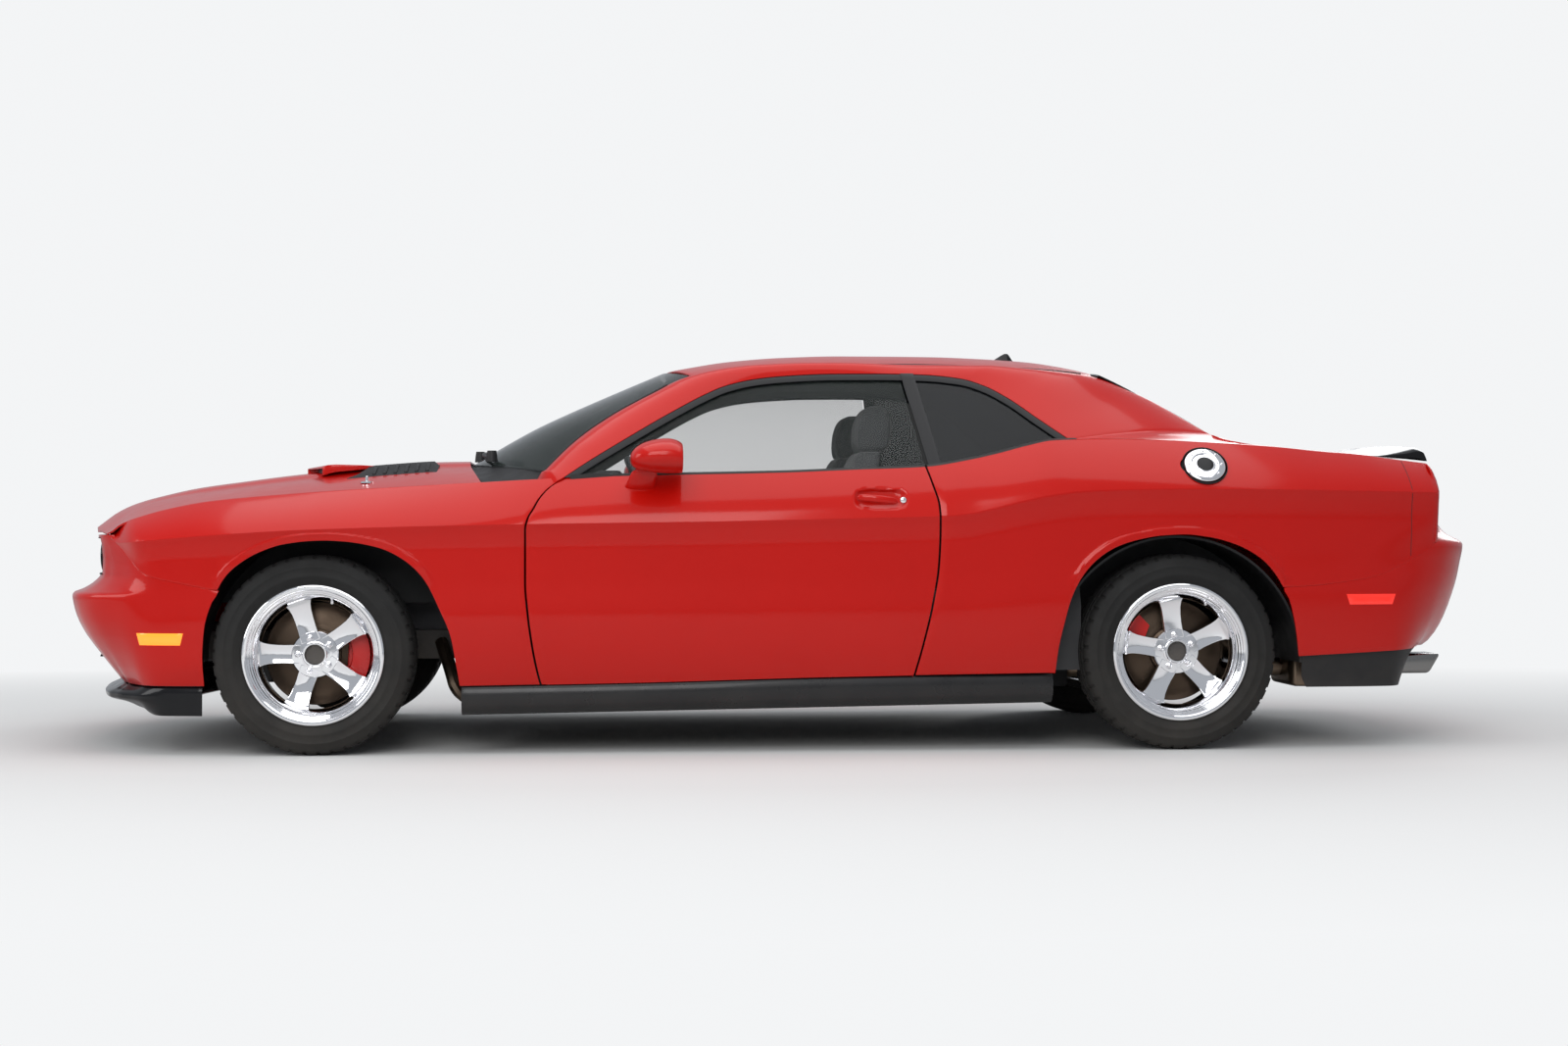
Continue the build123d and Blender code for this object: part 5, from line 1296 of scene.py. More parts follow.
class COUPE_OT_wheels(bpy.types.Operator):
    """Polished five-spoke wheels with a stepped lip, open centre, lug nuts and valve"""
    bl_idname = "coupe.wheels"
    bl_label = "Wheels"

    def execute(self, context):
        lip = [(0.2270, -0.100), (0.2318, -0.108), (0.2318, -0.1135), (0.2295, -0.1149), (0.2240, -0.1146),
               (0.2220, -0.1125), (0.2208, -0.1075), (0.2150, -0.1060), (0.2138, -0.1000),
               (0.2085, -0.0985), (0.2072, -0.0925), (0.2035, -0.0905), (0.1905, -0.0700),
               (0.1885, -0.0640), (0.1872, -0.0560), (0.1880, -0.0470), (0.2040, -0.0400), (0.2040, 0.0900),
               (0.2200, 0.1040), (0.2300, 0.1080), (0.2318, 0.1130), (0.2300, 0.1148)]
        rim = turned(lip, steps=128)
        modify(rim, "SOLIDIFY", thickness=0.005, offset=1)
        only(rim)
        bpy.ops.object.mode_set(mode="EDIT")
        bpy.ops.mesh.select_all(action="SELECT")
        bpy.ops.mesh.normals_make_consistent(inside=False)
        bpy.ops.object.mode_set(mode="OBJECT")
        modify(rim, "BEVEL", width=0.0008, segments=2, limit_method="ANGLE", angle_limit=math.radians(25))
        hub = turned([(0.0325, 0.0), (0.0325, -0.056), (0.0345, -0.0585), (0.0395, -0.0585),
                      (0.0415, -0.0560), (0.0415, -0.0535), (0.0440, -0.0525), (0.0470, -0.0525),
                      (0.0480, -0.0500), (0.0760, -0.0490), (0.0790, -0.0460), (0.0800, -0.0360),
                      (0.0820, -0.0100), (0.0820, 0.0)], steps=96, closed=True)
        spoke = spoke_shape()
        parts = [rim, hub] + [copied(spoke, turn=(0, 72 * k, 0)) for k in range(5)]
        only(spoke)
        bpy.ops.object.delete()
        nut = drawn_out([(0, 0, 0.046, 0.026, 0.026), (0, 0, 0.050, 0.026, 0.026),
                         (0, 0, 0.0505, 0.021, 0.021), (0, 0, 0.0600, 0.021, 0.021),
                         (0, 0, 0.0655, 0.0165, 0.0165), (0, 0, 0.0680, 0.009, 0.009)], sides=6,
                        bevel=0.0008)
        nut = moved(nut, turn=(90, 0, 0))
        for k in range(5):
            turn = math.radians(72 * k)
            parts.append(copied(nut, (0.0572 * math.sin(turn), 0, 0.0572 * math.cos(turn))))
        only(nut)
        bpy.ops.object.delete()
        valve = drawn_out([(0, 0, 0, 0.009, 0.009), (0, 0, 0.018, 0.008, 0.008),
                           (0, 0, 0.0185, 0.010, 0.010), (0, 0, 0.028, 0.0095, 0.0095)], sides=12,
                          bevel=0.0008)
        parts.append(moved(valve, (0.196 * math.sin(0.6), -0.077, 0.196 * math.cos(0.6)), turn=(118, 0, 0)))
        wheel = joined(parts)
        at_each_hub(wheel, "wheel_polished", "polished", "wheel", front_turn=-17.0,
                    rear_turn=-8.0)
        return {"FINISHED"}


class COUPE_OT_brakes(bpy.types.Operator):
    """Vented discs, hub noses and the four calipers"""
    bl_idname = "coupe.brakes"
    bl_label = "Brakes"

    def execute(self, context):
        disc = turned([(0.0325, -0.0005), (0.0780, -0.0005), (0.0815, 0.002), (0.0820, 0.019),
                       (0.098, 0.0203), (0.100, 0.0208), (0.172, 0.0208), (0.1745, 0.0225),
                       (0.1745, 0.0290), (0.1650, 0.0300), (0.1650, 0.0400), (0.1745, 0.0410),
                       (0.1745, 0.0480), (0.1720, 0.0497), (0.0820, 0.0497), (0.0700, 0.0480),
                       (0.0700, 0.0120), (0.0325, 0.0120)], steps=120, closed=True)
        modify(disc, "BEVEL", width=0.0006, segments=1, limit_method="ANGLE", angle_limit=math.radians(40))
        vane = drawn_out([(0, 0.035, 0.1640, 0.005, 0.012), (0, 0.035, 0.1725, 0.004, 0.012)])
        parts = [disc] + [copied(vane, turn=(0, 9 * k, 0)) for k in range(40)]
        only(vane)
        bpy.ops.object.delete()
        at_each_hub(joined(parts), "disc_vented", "disc_iron", "disc")
        for end, x, turn, arc in (("front", FRONT_X, -3.0, 56.0), ("rear", REAR_X, 159.0, 50.0)):
            body = turned([(0.122, -0.004), (0.118, 0.010), (0.118, 0.013), (0.181, 0.013), (0.181, 0.057),
                           (0.118, 0.057), (0.118, 0.072), (0.124, 0.077), (0.186, 0.077), (0.193, 0.070),
                           (0.194, 0.002), (0.188, -0.0045)], steps=20, closed=True, arc=arc)
            only(body)
            bpy.ops.object.mode_set(mode="EDIT")
            bpy.ops.mesh.select_all(action="DESELECT")
            bpy.ops.mesh.select_non_manifold()
            bpy.ops.mesh.fill()
            bpy.ops.mesh.select_all(action="SELECT")
            bpy.ops.mesh.normals_make_consistent(inside=False)
            bpy.ops.object.mode_set(mode="OBJECT")
            modify(body, "BEVEL", width=0.0045, segments=3, limit_method="ANGLE",
                   angle_limit=math.radians(45))
            caliper = moved(body, turn=(0, arc / 2, 0))
            for side, word in SIDES:
                copy = copied(caliper, turn=(0, -turn, 0))
                if side > 0:
                    flipped(copy)
                moved(copy, (x, side * HUB_Y, HUB_Z))
                owner, nodes = "body", ["rear_calipers"] if word == "left" else []
                if end == "front":
                    owner, nodes = f"knuckle_{word}", [f"front_caliper_{word}"]
                finished(copy, f"caliper_{end}_{word}", "caliper_red", owner, nodes=nodes)
            only(caliper)
            bpy.ops.object.delete()
        return {"FINISHED"}


def along_x(stations, **extra):
    """A form drawn rearwards through stations: distance behind the front axle, y, z, height, width."""
    obj = drawn_out([(-z, y, FRONT_X + u, high, wide) for u, y, z, high, wide in stations], **extra)
    return moved(obj, turn=(0, 90, 0))


def along_y(stations, **extra):
    """A form drawn across the car through stations: distance behind the axle, y, z, length, height."""
    obj = drawn_out([(FRONT_X + u, -z, y, long, high) for u, y, z, long, high in stations], **extra)
    return moved(obj, turn=(-90, 0, 0))


def tube(points, radius, resolution=3):
    """A round bar along a smooth path."""
    curve = bpy.data.curves.new("bar", "CURVE")
    curve.dimensions = "3D"
    curve.bevel_depth = radius
    curve.bevel_resolution = resolution
    curve.use_fill_caps = True
    spline = curve.splines.new("NURBS")
    spline.points.add(len(points) - 1)
    for knot, place in zip(spline.points, points):
        knot.co = (*place, 1)
    spline.order_u = 3
    spline.use_endpoint_u = True
    obj = bpy.data.objects.new("bar", curve)
    bpy.context.collection.objects.link(obj)
    only(obj)
    bpy.ops.object.convert(target="MESH")
    return bpy.context.object


def rounded(obj, levels=2):
    """Rounds a form by subdivision."""
    modify(obj, "SUBSURF", levels=levels, render_levels=levels)
    return obj


def on_side(u, z, side, out=0.0):
    """Place on the body side, proud of it by a little."""
    u, z = np.asarray(u, float), np.asarray(z, float)
    return at(u, side * (flank_y(u, z) + out), z)


# ---- Trims of the body ----

def base_line(y):
    """Foot of the rear glass and of the sail at a half-width: distance behind the axle, and height."""
    y = abs(y)
    if y < 0.64:
        return 3.229 - (WRAP_REAR - math.sqrt(WRAP_REAR**2 - y * y)) - 0.004, 1.0945
    share = (y - 0.64) / (float(shoulder_y(3.175)) - 0.64)
    return 3.12 + (3.175 - 3.12) * share, 1.095 + (float(shoulder_z(3.175)) - 1.095) * share


class COUPE_OT_deck(bpy.types.Operator):
    """Filler ahead of the trunk lid, feet of the sail panels and the cowl"""
    bl_idname = "coupe.deck"
    bl_label = "Deck, sails and cowl"

    def execute(self, context):
        ys = np.concatenate([np.linspace(-0.8222, -0.70, 8), np.linspace(-0.69, 0.69, 47),
                             np.linspace(0.70, 0.8222, 8)])
        rows = []
        for y in ys:
            start, height = base_line(y)
            stop = 3.295 if abs(y) < 0.6999 else 3.20
            u = start + (stop - start) * even(12)
            ease = (1 - even(12)) ** 2
            drop = 0.0008 if abs(y) >= 0.6999 else 0
            z = deck_z(u, np.full(12, y)) + (height - float(deck_z(start, y))) * ease - drop
            rows.append(at(u, y, z))
        piece = sheet("deck_filler", [np.array(rows)], wall=SKIN, heart=(3.2, 0, 0))
        finished(piece, "deck_filler", "paint")
        for side, word in SIDES:
            pillar = pillar_grid(side)
            end = along_path(pillar[:, -1], even(40))
            run = along_path(pillar[:, -1] - pillar[:, -3], even(40))
            run /= np.linalg.norm(run, axis=1, keepdims=True)
            u = np.linspace(2.575, 3.18, 40)
            ridge = at(u, side * (shoulder_y(u) + 0.001), shoulder_z(u) + 0.0005)
            reach = np.linalg.norm(end - ridge, axis=1, keepdims=True)
            rows = []
            for t in even(16):
                row = ridge * (1 - 3 * t**2 + 2 * t**3) + end * (3 * t**2 - 2 * t**3)
                row += (end - ridge) * 0.7 * (t - 2 * t**2 + t**3) - run * reach * 0.8 * (t**3 - t**2)
                rows.append(row)
            piece = sheet(f"sail_foot_{word}", [np.array(rows)], wall=SKIN, heart=(2.9, 0, 0.6))
            finished(piece, f"sail_foot_{word}", "paint")
        rows = []
        hood_side = [(0.478 + 0.13 * y * y + 0.006, y, float(hood_z(0.478 + 0.13 * y * y, y)) - 0.014)
                     for y in np.linspace(0, 0.815, 24)]
        hood_side += [(0.66, 0.830, 0.906), (0.74, 0.838, 0.909), (0.80, 0.842, 0.912)]
        glass_side = []
        for y in np.linspace(0, 0.775, 27):
            z = 1.003 - 0.046 * (y / 0.775) ** 2
            behind = float(windshield_line(z)) + WRAP_FRONT - math.sqrt(WRAP_FRONT**2 - y * y) + 0.004
            glass_side.append((behind, y, z))
        near, far = np.array(hood_side), np.array(glass_side)
        near, far = (np.vstack([half[::-1] * (1, -1, 1), half[1:]]) + (FRONT_X, 0, 0)
                     for half in (near, far))
        for share in even(7):
            row = near + (far - near) * share
            row[:, 2] -= 0.012 * math.sin(math.pi * share)
            rows.append(row)
        piece = sheet("cowl_panel", [np.array(rows)], wall=0.004, heart=(0.6, 0, 0))
        finished(piece, "cowl_panel", "black_plastic")
        for side, word, reach in ((-1, "left", 0.50), (1, "right", 0.42)):
            foot = side * 0.28 - 0.16
            arm = []
            for share in (0, 0.15, 0.5, 0.85, 1):
                y = foot + reach * share
                z = 1.004 - 0.046 * (y / 0.775) ** 2 + 0.010 + 0.02 * share
                arm.append(tuple(windshield_place(np.array(y), np.array(z)) + (-0.020, 0, 0.008)))
            blade = [(x + 0.006, y, z - 0.009) for x, y, z in arm[1:]]
            parts = [tube(arm, 0.006), tube(blade, 0.005)]
            pivot = moved(turned([(0, -0.03), (0.016, -0.03), (0.019, -0.012), (0.021, 0.01)], steps=24),
                          (arm[0][0], arm[0][1], arm[0][2]), turn=(-90, 0, 0))
            finished(joined(parts + [pivot]), f"wiper_{word}", "black_plastic")
        return {"FINISHED"}


def side_strip(low_u, low_z, high_u, high_z, side, out, count=2):
    """Strip on the plane of the side windows between two lines."""
    rows = []
    for share in even(count):
        u = low_u + (high_u - low_u) * share
        z = low_z + (high_z - low_z) * share
        rows.append(at(u, side * (side_y(z) + out), z))
    return np.array(rows)


class COUPE_OT_window_trims(bpy.types.Operator):
    """Black surrounds of the side windows, belt strips and the pillar covers"""
    bl_idname = "coupe.window_trims"
    bl_label = "Window trims"

    def execute(self, context):
        line = along_path([(u, z) for u, z in DLO_TOP], even(150))
        for side, word in SIDES:
            inward = line.copy()
            run = np.gradient(line, axis=0)
            run /= np.linalg.norm(run, axis=1, keepdims=True)
            inward += np.stack([run[:, 1], -run[:, 0]], -1) * 0.024
            belt = shoulder_z(inward[:, 0]) + 0.002
            grids = [side_strip(line[:, 0], np.maximum(line[:, 1], belt - 0.001), inward[:, 0],
                                np.maximum(inward[:, 1], belt), side, -0.002, 3)]
            piece = sheet(f"window_surround_{word}", grids, wall=0.005, heart=(2, 0, 0.9), bevel=0.001)
            finished(piece, f"window_surround_{word}", "black_gloss")
            z = np.linspace(0.962, 1.309, 20)
            front = 2.083 - 0.066 * (z - 0.972) / 0.32
            cover = side_strip(front, z, front + 0.047, z, side, 0.001, 4)
            piece = sheet(f"pillar_cover_{word}", [cover], wall=SKIN, heart=(2, 0, 0.9), bevel=0.001)
            finished(piece, f"pillar_cover_{word}", "black_gloss")
            for name, start, stop, owner in (("door", float(door_front(0.931)) + 0.012,
                                              float(door_rear(0.970)), f"door_{word}"),
                                             ("quarter", float(door_rear(0.970)) + 0.008, 2.60, "body")):
                u = np.linspace(start, stop, 60)
                ridge_z = shoulder_z(u)
                rows = [at(u, side * (shoulder_y(u) + 0.0005), ridge_z)]
                glass_y = side_y(ridge_z) - 0.004
                for share, lift in ((0.2, 0.004), (0.6, 0.0065), (1.0, 0.008)):
                    y = shoulder_y(u) + (glass_y - shoulder_y(u)) * share
                    rows.append(at(u, side * y, ridge_z + lift))
                rows.append(rows[-1] - (0, side * 0.004, 0.02))
                piece = sheet(f"belt_{name}_{word}", [np.array(rows)], wall=0.003,
                              heart=(1.6, side * 0.83, 0.5))
                finished(piece, f"belt_{name}_{word}", "rubber_seal", owner)
            outer = pillar_band(120)[1]
            top = outer[(outer[:, 0] > FRONT_X + 1.26) & (outer[:, 0] < FRONT_X + 2.74)]
            top = top * (1, side, 1) + (0, 0, 0.0005)
            finished(tube([tuple(p) for p in top[::3]], 0.004, 2), f"roof_ditch_{word}", "rubber_seal")
            edge = outer[outer[:, 0] < FRONT_X + 1.22] * (1, side, 1)
            finished(tube([tuple(p) for p in edge[::3]], 0.0065, 2), f"screen_edge_{word}", "black_gloss")
        nub = drawn_out([(0, 0, 0, 0.10, 0.045), (0.004, 0, 0.012, 0.075, 0.032),
                         (0.012, 0, 0.030, 0.035, 0.012), (0.016, 0, 0.038, 0.012, 0.005)], sides=16,
                        bevel=0.003)
        finished(moved(nub, (FRONT_X + 2.48, 0, float(roof_line(2.48)) - 0.002)), "antenna", "black_gloss")
        return {"FINISHED"}


class COUPE_OT_sills(bpy.types.Operator):
    """Gloss sills, chin spoiler and the rear diffuser"""
    bl_idname = "coupe.sills"
    bl_label = "Sills, chin and diffuser"

    def execute(self, context):
        for side, word in SIDES:
            u = np.linspace(0.492, 2.502, 60)
            top = rocker_top(u) + 0.006
            low = np.interp(u, [0.49, 2.5], [0.131, 0.163])
            rows = []
            for y, drop in ((0.860, 0), (0.896, 0), (0.902, 0.004), (0.906, 0.014), (0.9085, 0.03)):
                rows.append(at(u, side * y, top - drop))
            for y, lift in ((0.9065, 0.034), (0.902, 0.022), (0.890, 0.008), (0.868, 0.0), (0.80, 0.0)):
                rows.append(at(u, side * y, low + lift))
            piece = sheet(f"sill_{word}", [np.array(rows)], wall=0.004, heart=(1.5, side * 0.5, 0.19),
                          bevel=PANEL_EDGE)
            finished(piece, f"sill_{word}", "sill_black", nodes=["sills"] if side < 0 else ())
        depth = through([(0.126, 0.60), (0.134, 0.38), (0.142, 0.285), (0.152, 0.225), (0.166, 0.182),
                         (0.176, 0.142), (0.182, 0.122), (0.188, 0.113), (0.200, 0.111), (0.206, 0.117),
                         (0.216, 0.138), (0.232, 0.168), (0.244, 0.180)])
        ends = through([(0.10, -0.368), (0.25, -0.368)])
        heights = [0.134, 0.138, 0.142, 0.148, 0.155, 0.162, 0.170, 0.176, 0.181, 0.185, 0.188, 0.194,
                   0.200, 0.204, 0.208, 0.216, 0.224, 0.232, 0.242]
        grid = wrap_grid(nose_plan, depth, ends, heights, (0.53, 0.64), (16, 6, 44), (-0.80, -0.50))
        grid[..., 1] *= 1 - 0.014 * np.clip((grid[..., 2] - 0.222) / 0.012, 0, 1)
        piece = sheet("chin_lip", [grid], wall=0.004, heart=(-0.2, 0, 0.19), bevel=0.0015)
        finished(piece, "chin_lip", "black_gloss", nodes=["chin_spoiler"])
        depth = through([(0.20, 0.36), (0.215, 0.30), (0.25, 0.245), (0.30, 0.196), (0.33, 0.160),
                         (0.352, 0.130)])
        ends = through([(0.20, 3.40), (0.26, 3.374), (0.345, 3.372)])
        heights = [0.212, 0.222, 0.235, 0.25, 0.27, 0.29, 0.31, 0.325, 0.338, 0.350]
        grid = wrap_grid(tail_plan, depth, ends, heights, (0.508, 0.703, 0.79), (18, 10, 6, 40), TAIL_RAMP)
        grid[..., 1] *= 0.985

        def tip_gap(c):
            return 0.5004 < abs(c.y) < 0.6925 and c.x > FRONT_X + 3.45 and c.z > 0.225

        piece = sheet("diffuser", [grid], wall=0.004, heart=(3.0, 0, 0.5), skip=tip_gap, bevel=0.0015)
        finished(piece, "diffuser", "black_plastic")
        for side, word in SIDES:
            plate = along_x([(3.700, side * 0.605, 0.294, 0.130, 0.230),
                             (3.704, side * 0.605, 0.294, 0.130, 0.230)])
            finished(plate, f"tip_shield_{word}", "black_plastic")
            for k, y in enumerate((0.14, 0.36)):
                fin = along_x([(3.70, side * y, 0.232, 0.03, 0.008), (3.80, side * y, 0.236, 0.052, 0.010),
                               (3.862, side * y, 0.262, 0.075, 0.010),
                               (3.905, side * y, 0.305, 0.05, 0.008)], bevel=PANEL_EDGE)
                finished(fin, f"diffuser_fin_{word}_{k + 1}", "black_plastic")
        return {"FINISHED"}


class COUPE_OT_exhaust(bpy.types.Operator):
    """Pipes, mufflers and slanted tips"""
    bl_idname = "coupe.exhaust"
    bl_label = "Exhaust"

    def execute(self, context):
        parts = []
        for side, word in SIDES:
            path = [(0.72, 0.22, 0.20), (0.85, 0.22, 0.17), (1.2, 0.20, 0.16), (1.9, 0.20, 0.16),
                    (2.2, 0.24, 0.18), (2.5, 0.40, 0.245), (2.75, 0.52, 0.262), (3.05, 0.56, 0.262),
                    (3.30, 0.58, 0.265), (3.42, 0.585, 0.265)]
            parts.append(tube([(FRONT_X + u, side * y, z) for u, y, z in path], 0.031, 4))
            muffler = along_x([(3.385, side * 0.585, 0.265, 0.10, 0.22),
                               (3.40, side * 0.585, 0.265, 0.124, 0.262),
                               (3.53, side * 0.585, 0.265, 0.128, 0.268),
                               (3.66, side * 0.585, 0.265, 0.124, 0.262),
                               (3.675, side * 0.585, 0.265, 0.10, 0.22)], bevel=0.014, segments=4)
            parts.append(muffler)
            catalyst = along_x([(1.05, side * 0.20, 0.165, 0.07, 0.09),
                                (1.09, side * 0.20, 0.17, 0.10, 0.14),
                                (1.35, side * 0.20, 0.17, 0.10, 0.14),
                                (1.39, side * 0.20, 0.165, 0.07, 0.09)], sides=20)
            parts.append(catalyst)
            header = tube([(FRONT_X + 0.40, side * 0.50, 0.36), (FRONT_X + 0.44, side * 0.62, 0.27),
                           (FRONT_X + 0.46, side * 0.66, 0.20), (FRONT_X + 0.52, side * 0.60, 0.155),
                           (FRONT_X + 0.75, side * 0.35, 0.16), (FRONT_X + 0.90, side * 0.23, 0.165)],
                          0.024, 3)
            parts.append(header)
        finished(joined(parts), "exhaust_pipes", "heat_steel", nodes=["exhaust"])
        for side, word in SIDES:
            tip = along_x([(3.66, side * 0.605, 0.278, 0.055, 0.12),
                           (3.74, side * 0.605, 0.278, 0.068, 0.148),
                           (3.925, side * 0.605, 0.280, 0.070, 0.152)], bevel=0.012, segments=4)
            faces_where(tip, lambda c, n: n.x > 0.9)
            bpy.ops.mesh.inset(thickness=0.0045)
            bpy.ops.mesh.extrude_region_move(TRANSFORM_OT_translate={"value": (-0.13, 0, 0)})
            leave_edit()
            only(tip)
            bpy.ops.object.mode_set(mode="EDIT")
            bm = bmesh.from_edit_mesh(tip.data)
            for vert in bm.verts:
                if vert.co.x > FRONT_X + 3.89:
                    vert.co.x += (vert.co.z - 0.28) * 0.60
            bmesh.update_edit_mesh(tip.data)
            bpy.ops.object.mode_set(mode="OBJECT")
            finished(tip, f"exhaust_tip_{word}", "dark_chrome")
        return {"FINISHED"}


def nose_face(y):
    """Where the front face of the nose stands behind the axle at a half-width, at lamp height."""
    return float(np.interp(abs(y), nose_plan[:, 1], nose_plan[:, 0])) + 0.094


class COUPE_OT_front_lamps(bpy.types.Operator):
    """Grille recess with its bars, four round lamps and the lower intake"""
    bl_idname = "coupe.front_lamps"
    bl_label = "Grille and lamps"

    def execute(self, context):
        tray = []
        edge_y = np.concatenate([[-0.640], np.linspace(-0.635, 0.635, 40), [0.640]])
        plan_u = np.interp(np.abs(edge_y), nose_plan[:, 1], nose_plan[:, 0])
        for depth, z in ((0.092, 0.602), (0.165, 0.604), (0.165, 0.727), (0.088, 0.730)):
            x = FRONT_X + (plan_u + depth if depth < 0.1 else np.where(np.abs(edge_y) > 0.638,
                               plan_u + 0.098, -0.685))
            tray.append(np.stack([x, edge_y, np.full(len(edge_y), z)], -1))
        tray = np.array(tray)
        piece = sheet("grille_tray", [tray], wall=0.003, heart=(-1.6, 0, 0.66), bevel=0.001)
        finished(piece, "grille_tray", "black_plastic", nodes=["grille"])
        y = np.linspace(-0.64, 0.64, 41)
        plan = np.interp(np.abs(y), nose_plan[:, 1], nose_plan[:, 0])
        seal = [at(plan + depth, y, z)
                for depth, z in ((0.097, 0.729), (0.106, 0.735), (0.120, 0.736))]
        piece = sheet("hood_seal", [np.array(seal)], wall=0.003, heart=(-0.3, 0, 0.6))
        finished(piece, "hood_seal", "rubber_seal")
        bars = []
        for k in range(5):
            z = 0.6255 + 0.0205 * k
            ys = [-0.625, -0.5, -0.25, 0, 0.25, 0.5, 0.625]
            stations = [(nose_face(y) + 0.026, y, z, 0.022, 0.005) for y in ys]
            bars.append(along_y(stations, bevel=0.0015))
        upright = drawn_out([(0, 0, 0.608, 0.018, 0.004), (0, 0, 0.726, 0.018, 0.004)], bevel=0.001)
        for y in np.arange(-0.24, 0.2401, 0.06):
            bars.append(copied(upright, (FRONT_X + nose_face(y) + 0.029, y, 0)))
        only(upright)
        bpy.ops.object.delete()
        finished(joined(bars), "grille_bars", "black_gloss")
        for k, y in enumerate((-0.558, -0.392, 0.392, 0.558)):
            x = FRONT_X + nose_face(y) + 0.040
            ring = turned([(0.047, -0.018), (0.050, -0.026), (0.0545, -0.028), (0.0575, -0.024),
                           (0.0585, 0.030), (0.048, 0.030)], steps=64, closed=True)
            bowl = turned([(0.0, 0.030), (0.012, 0.029), (0.024, 0.024), (0.036, 0.014), (0.0475, -0.006),
                           (0.0485, -0.018)], steps=64)
            modify(bowl, "SOLIDIFY", thickness=0.0015, offset=-1)
            eye = turned([(0.0, -0.004), (0.010, -0.003), (0.018, 0.0015), (0.0215, 0.008),
                          (0.0225, 0.028)], steps=48)
            lens = turned([(0.0, -0.0295), (0.016, -0.0285), (0.032, -0.0255), (0.0475, -0.0195)], steps=64)
            modify(lens, "SOLIDIFY", thickness=0.0025, offset=-1)
            for obj, name, material, slot, nodes in ((ring, "lamp_ring", "black_gloss", "black_gloss", ()),
                    (bowl, "lamp_bowl", "lamp_bowl", "bright_metal", ["headlamps"] if k == 0 else ()),
                    (eye, "lamp_eye", "clear_eye", "lamp_clear", ()),
                    (lens, "lamp_cover", "lamp_lens", "lamp_clear", ())):
                obj = moved(obj, turn=(0, 0, -90))
                moved(obj, (x, y, 0.667))
                finished(obj, f"{name}_{k + 1}", material, nodes=nodes)
        rows = []
        edge_y = np.concatenate([[-0.549], np.linspace(-0.545, 0.545, 30), [0.549]])
        for depth, z in ((float(nose_depth(0.290)) + 0.008, 0.290), (0.245, 0.294), (0.245, 0.394),
                         (float(nose_depth(0.398)) + 0.006, 0.398)):
            back = np.where(np.abs(edge_y) > 0.547, float(nose_depth(z)) + 0.008, depth)
            u = np.interp(np.abs(edge_y), nose_plan[:, 1], nose_plan[:, 0]) + back
            rows.append(at(u, edge_y, z))
        piece = sheet("intake_tray", [np.array(rows)], wall=0.003, heart=(-1.6, 0, 0.34))
        finished(piece, "intake_tray", "black_plastic")
        bars = []
        for z in (0.318, 0.344, 0.370):
            ys = [-0.53, -0.36, -0.18, 0, 0.18, 0.36, 0.53]
            stations = [(nose_face(y) + 0.011 - 0.35 * (z - 0.318), y, z, 0.020, 0.005) for y in ys]
            bars.append(along_y(stations, bevel=0.0015))
        finished(joined(bars), "intake_bars", "black_plastic")
        return {"FINISHED"}


def side_lens(start, stop, low, high, skew):
    """Lens on a body side: its outline leans a little, and its face stands proud at the middle."""
    rows = []
    for t in even(7):
        z = low + (high - low) * t
        shift = skew * (1 - t)
        u = np.linspace(start + shift, stop - shift, 24)
        swell = 0.0035 * min(1.0, 6 * t * (1 - t) + 0.15) * np.minimum(1,
            10 * np.minimum(even(24), 1 - even(24)) + 0.1)
        rows.append(np.stack([u, np.full(24, z), swell], -1))
    return np.array(rows)


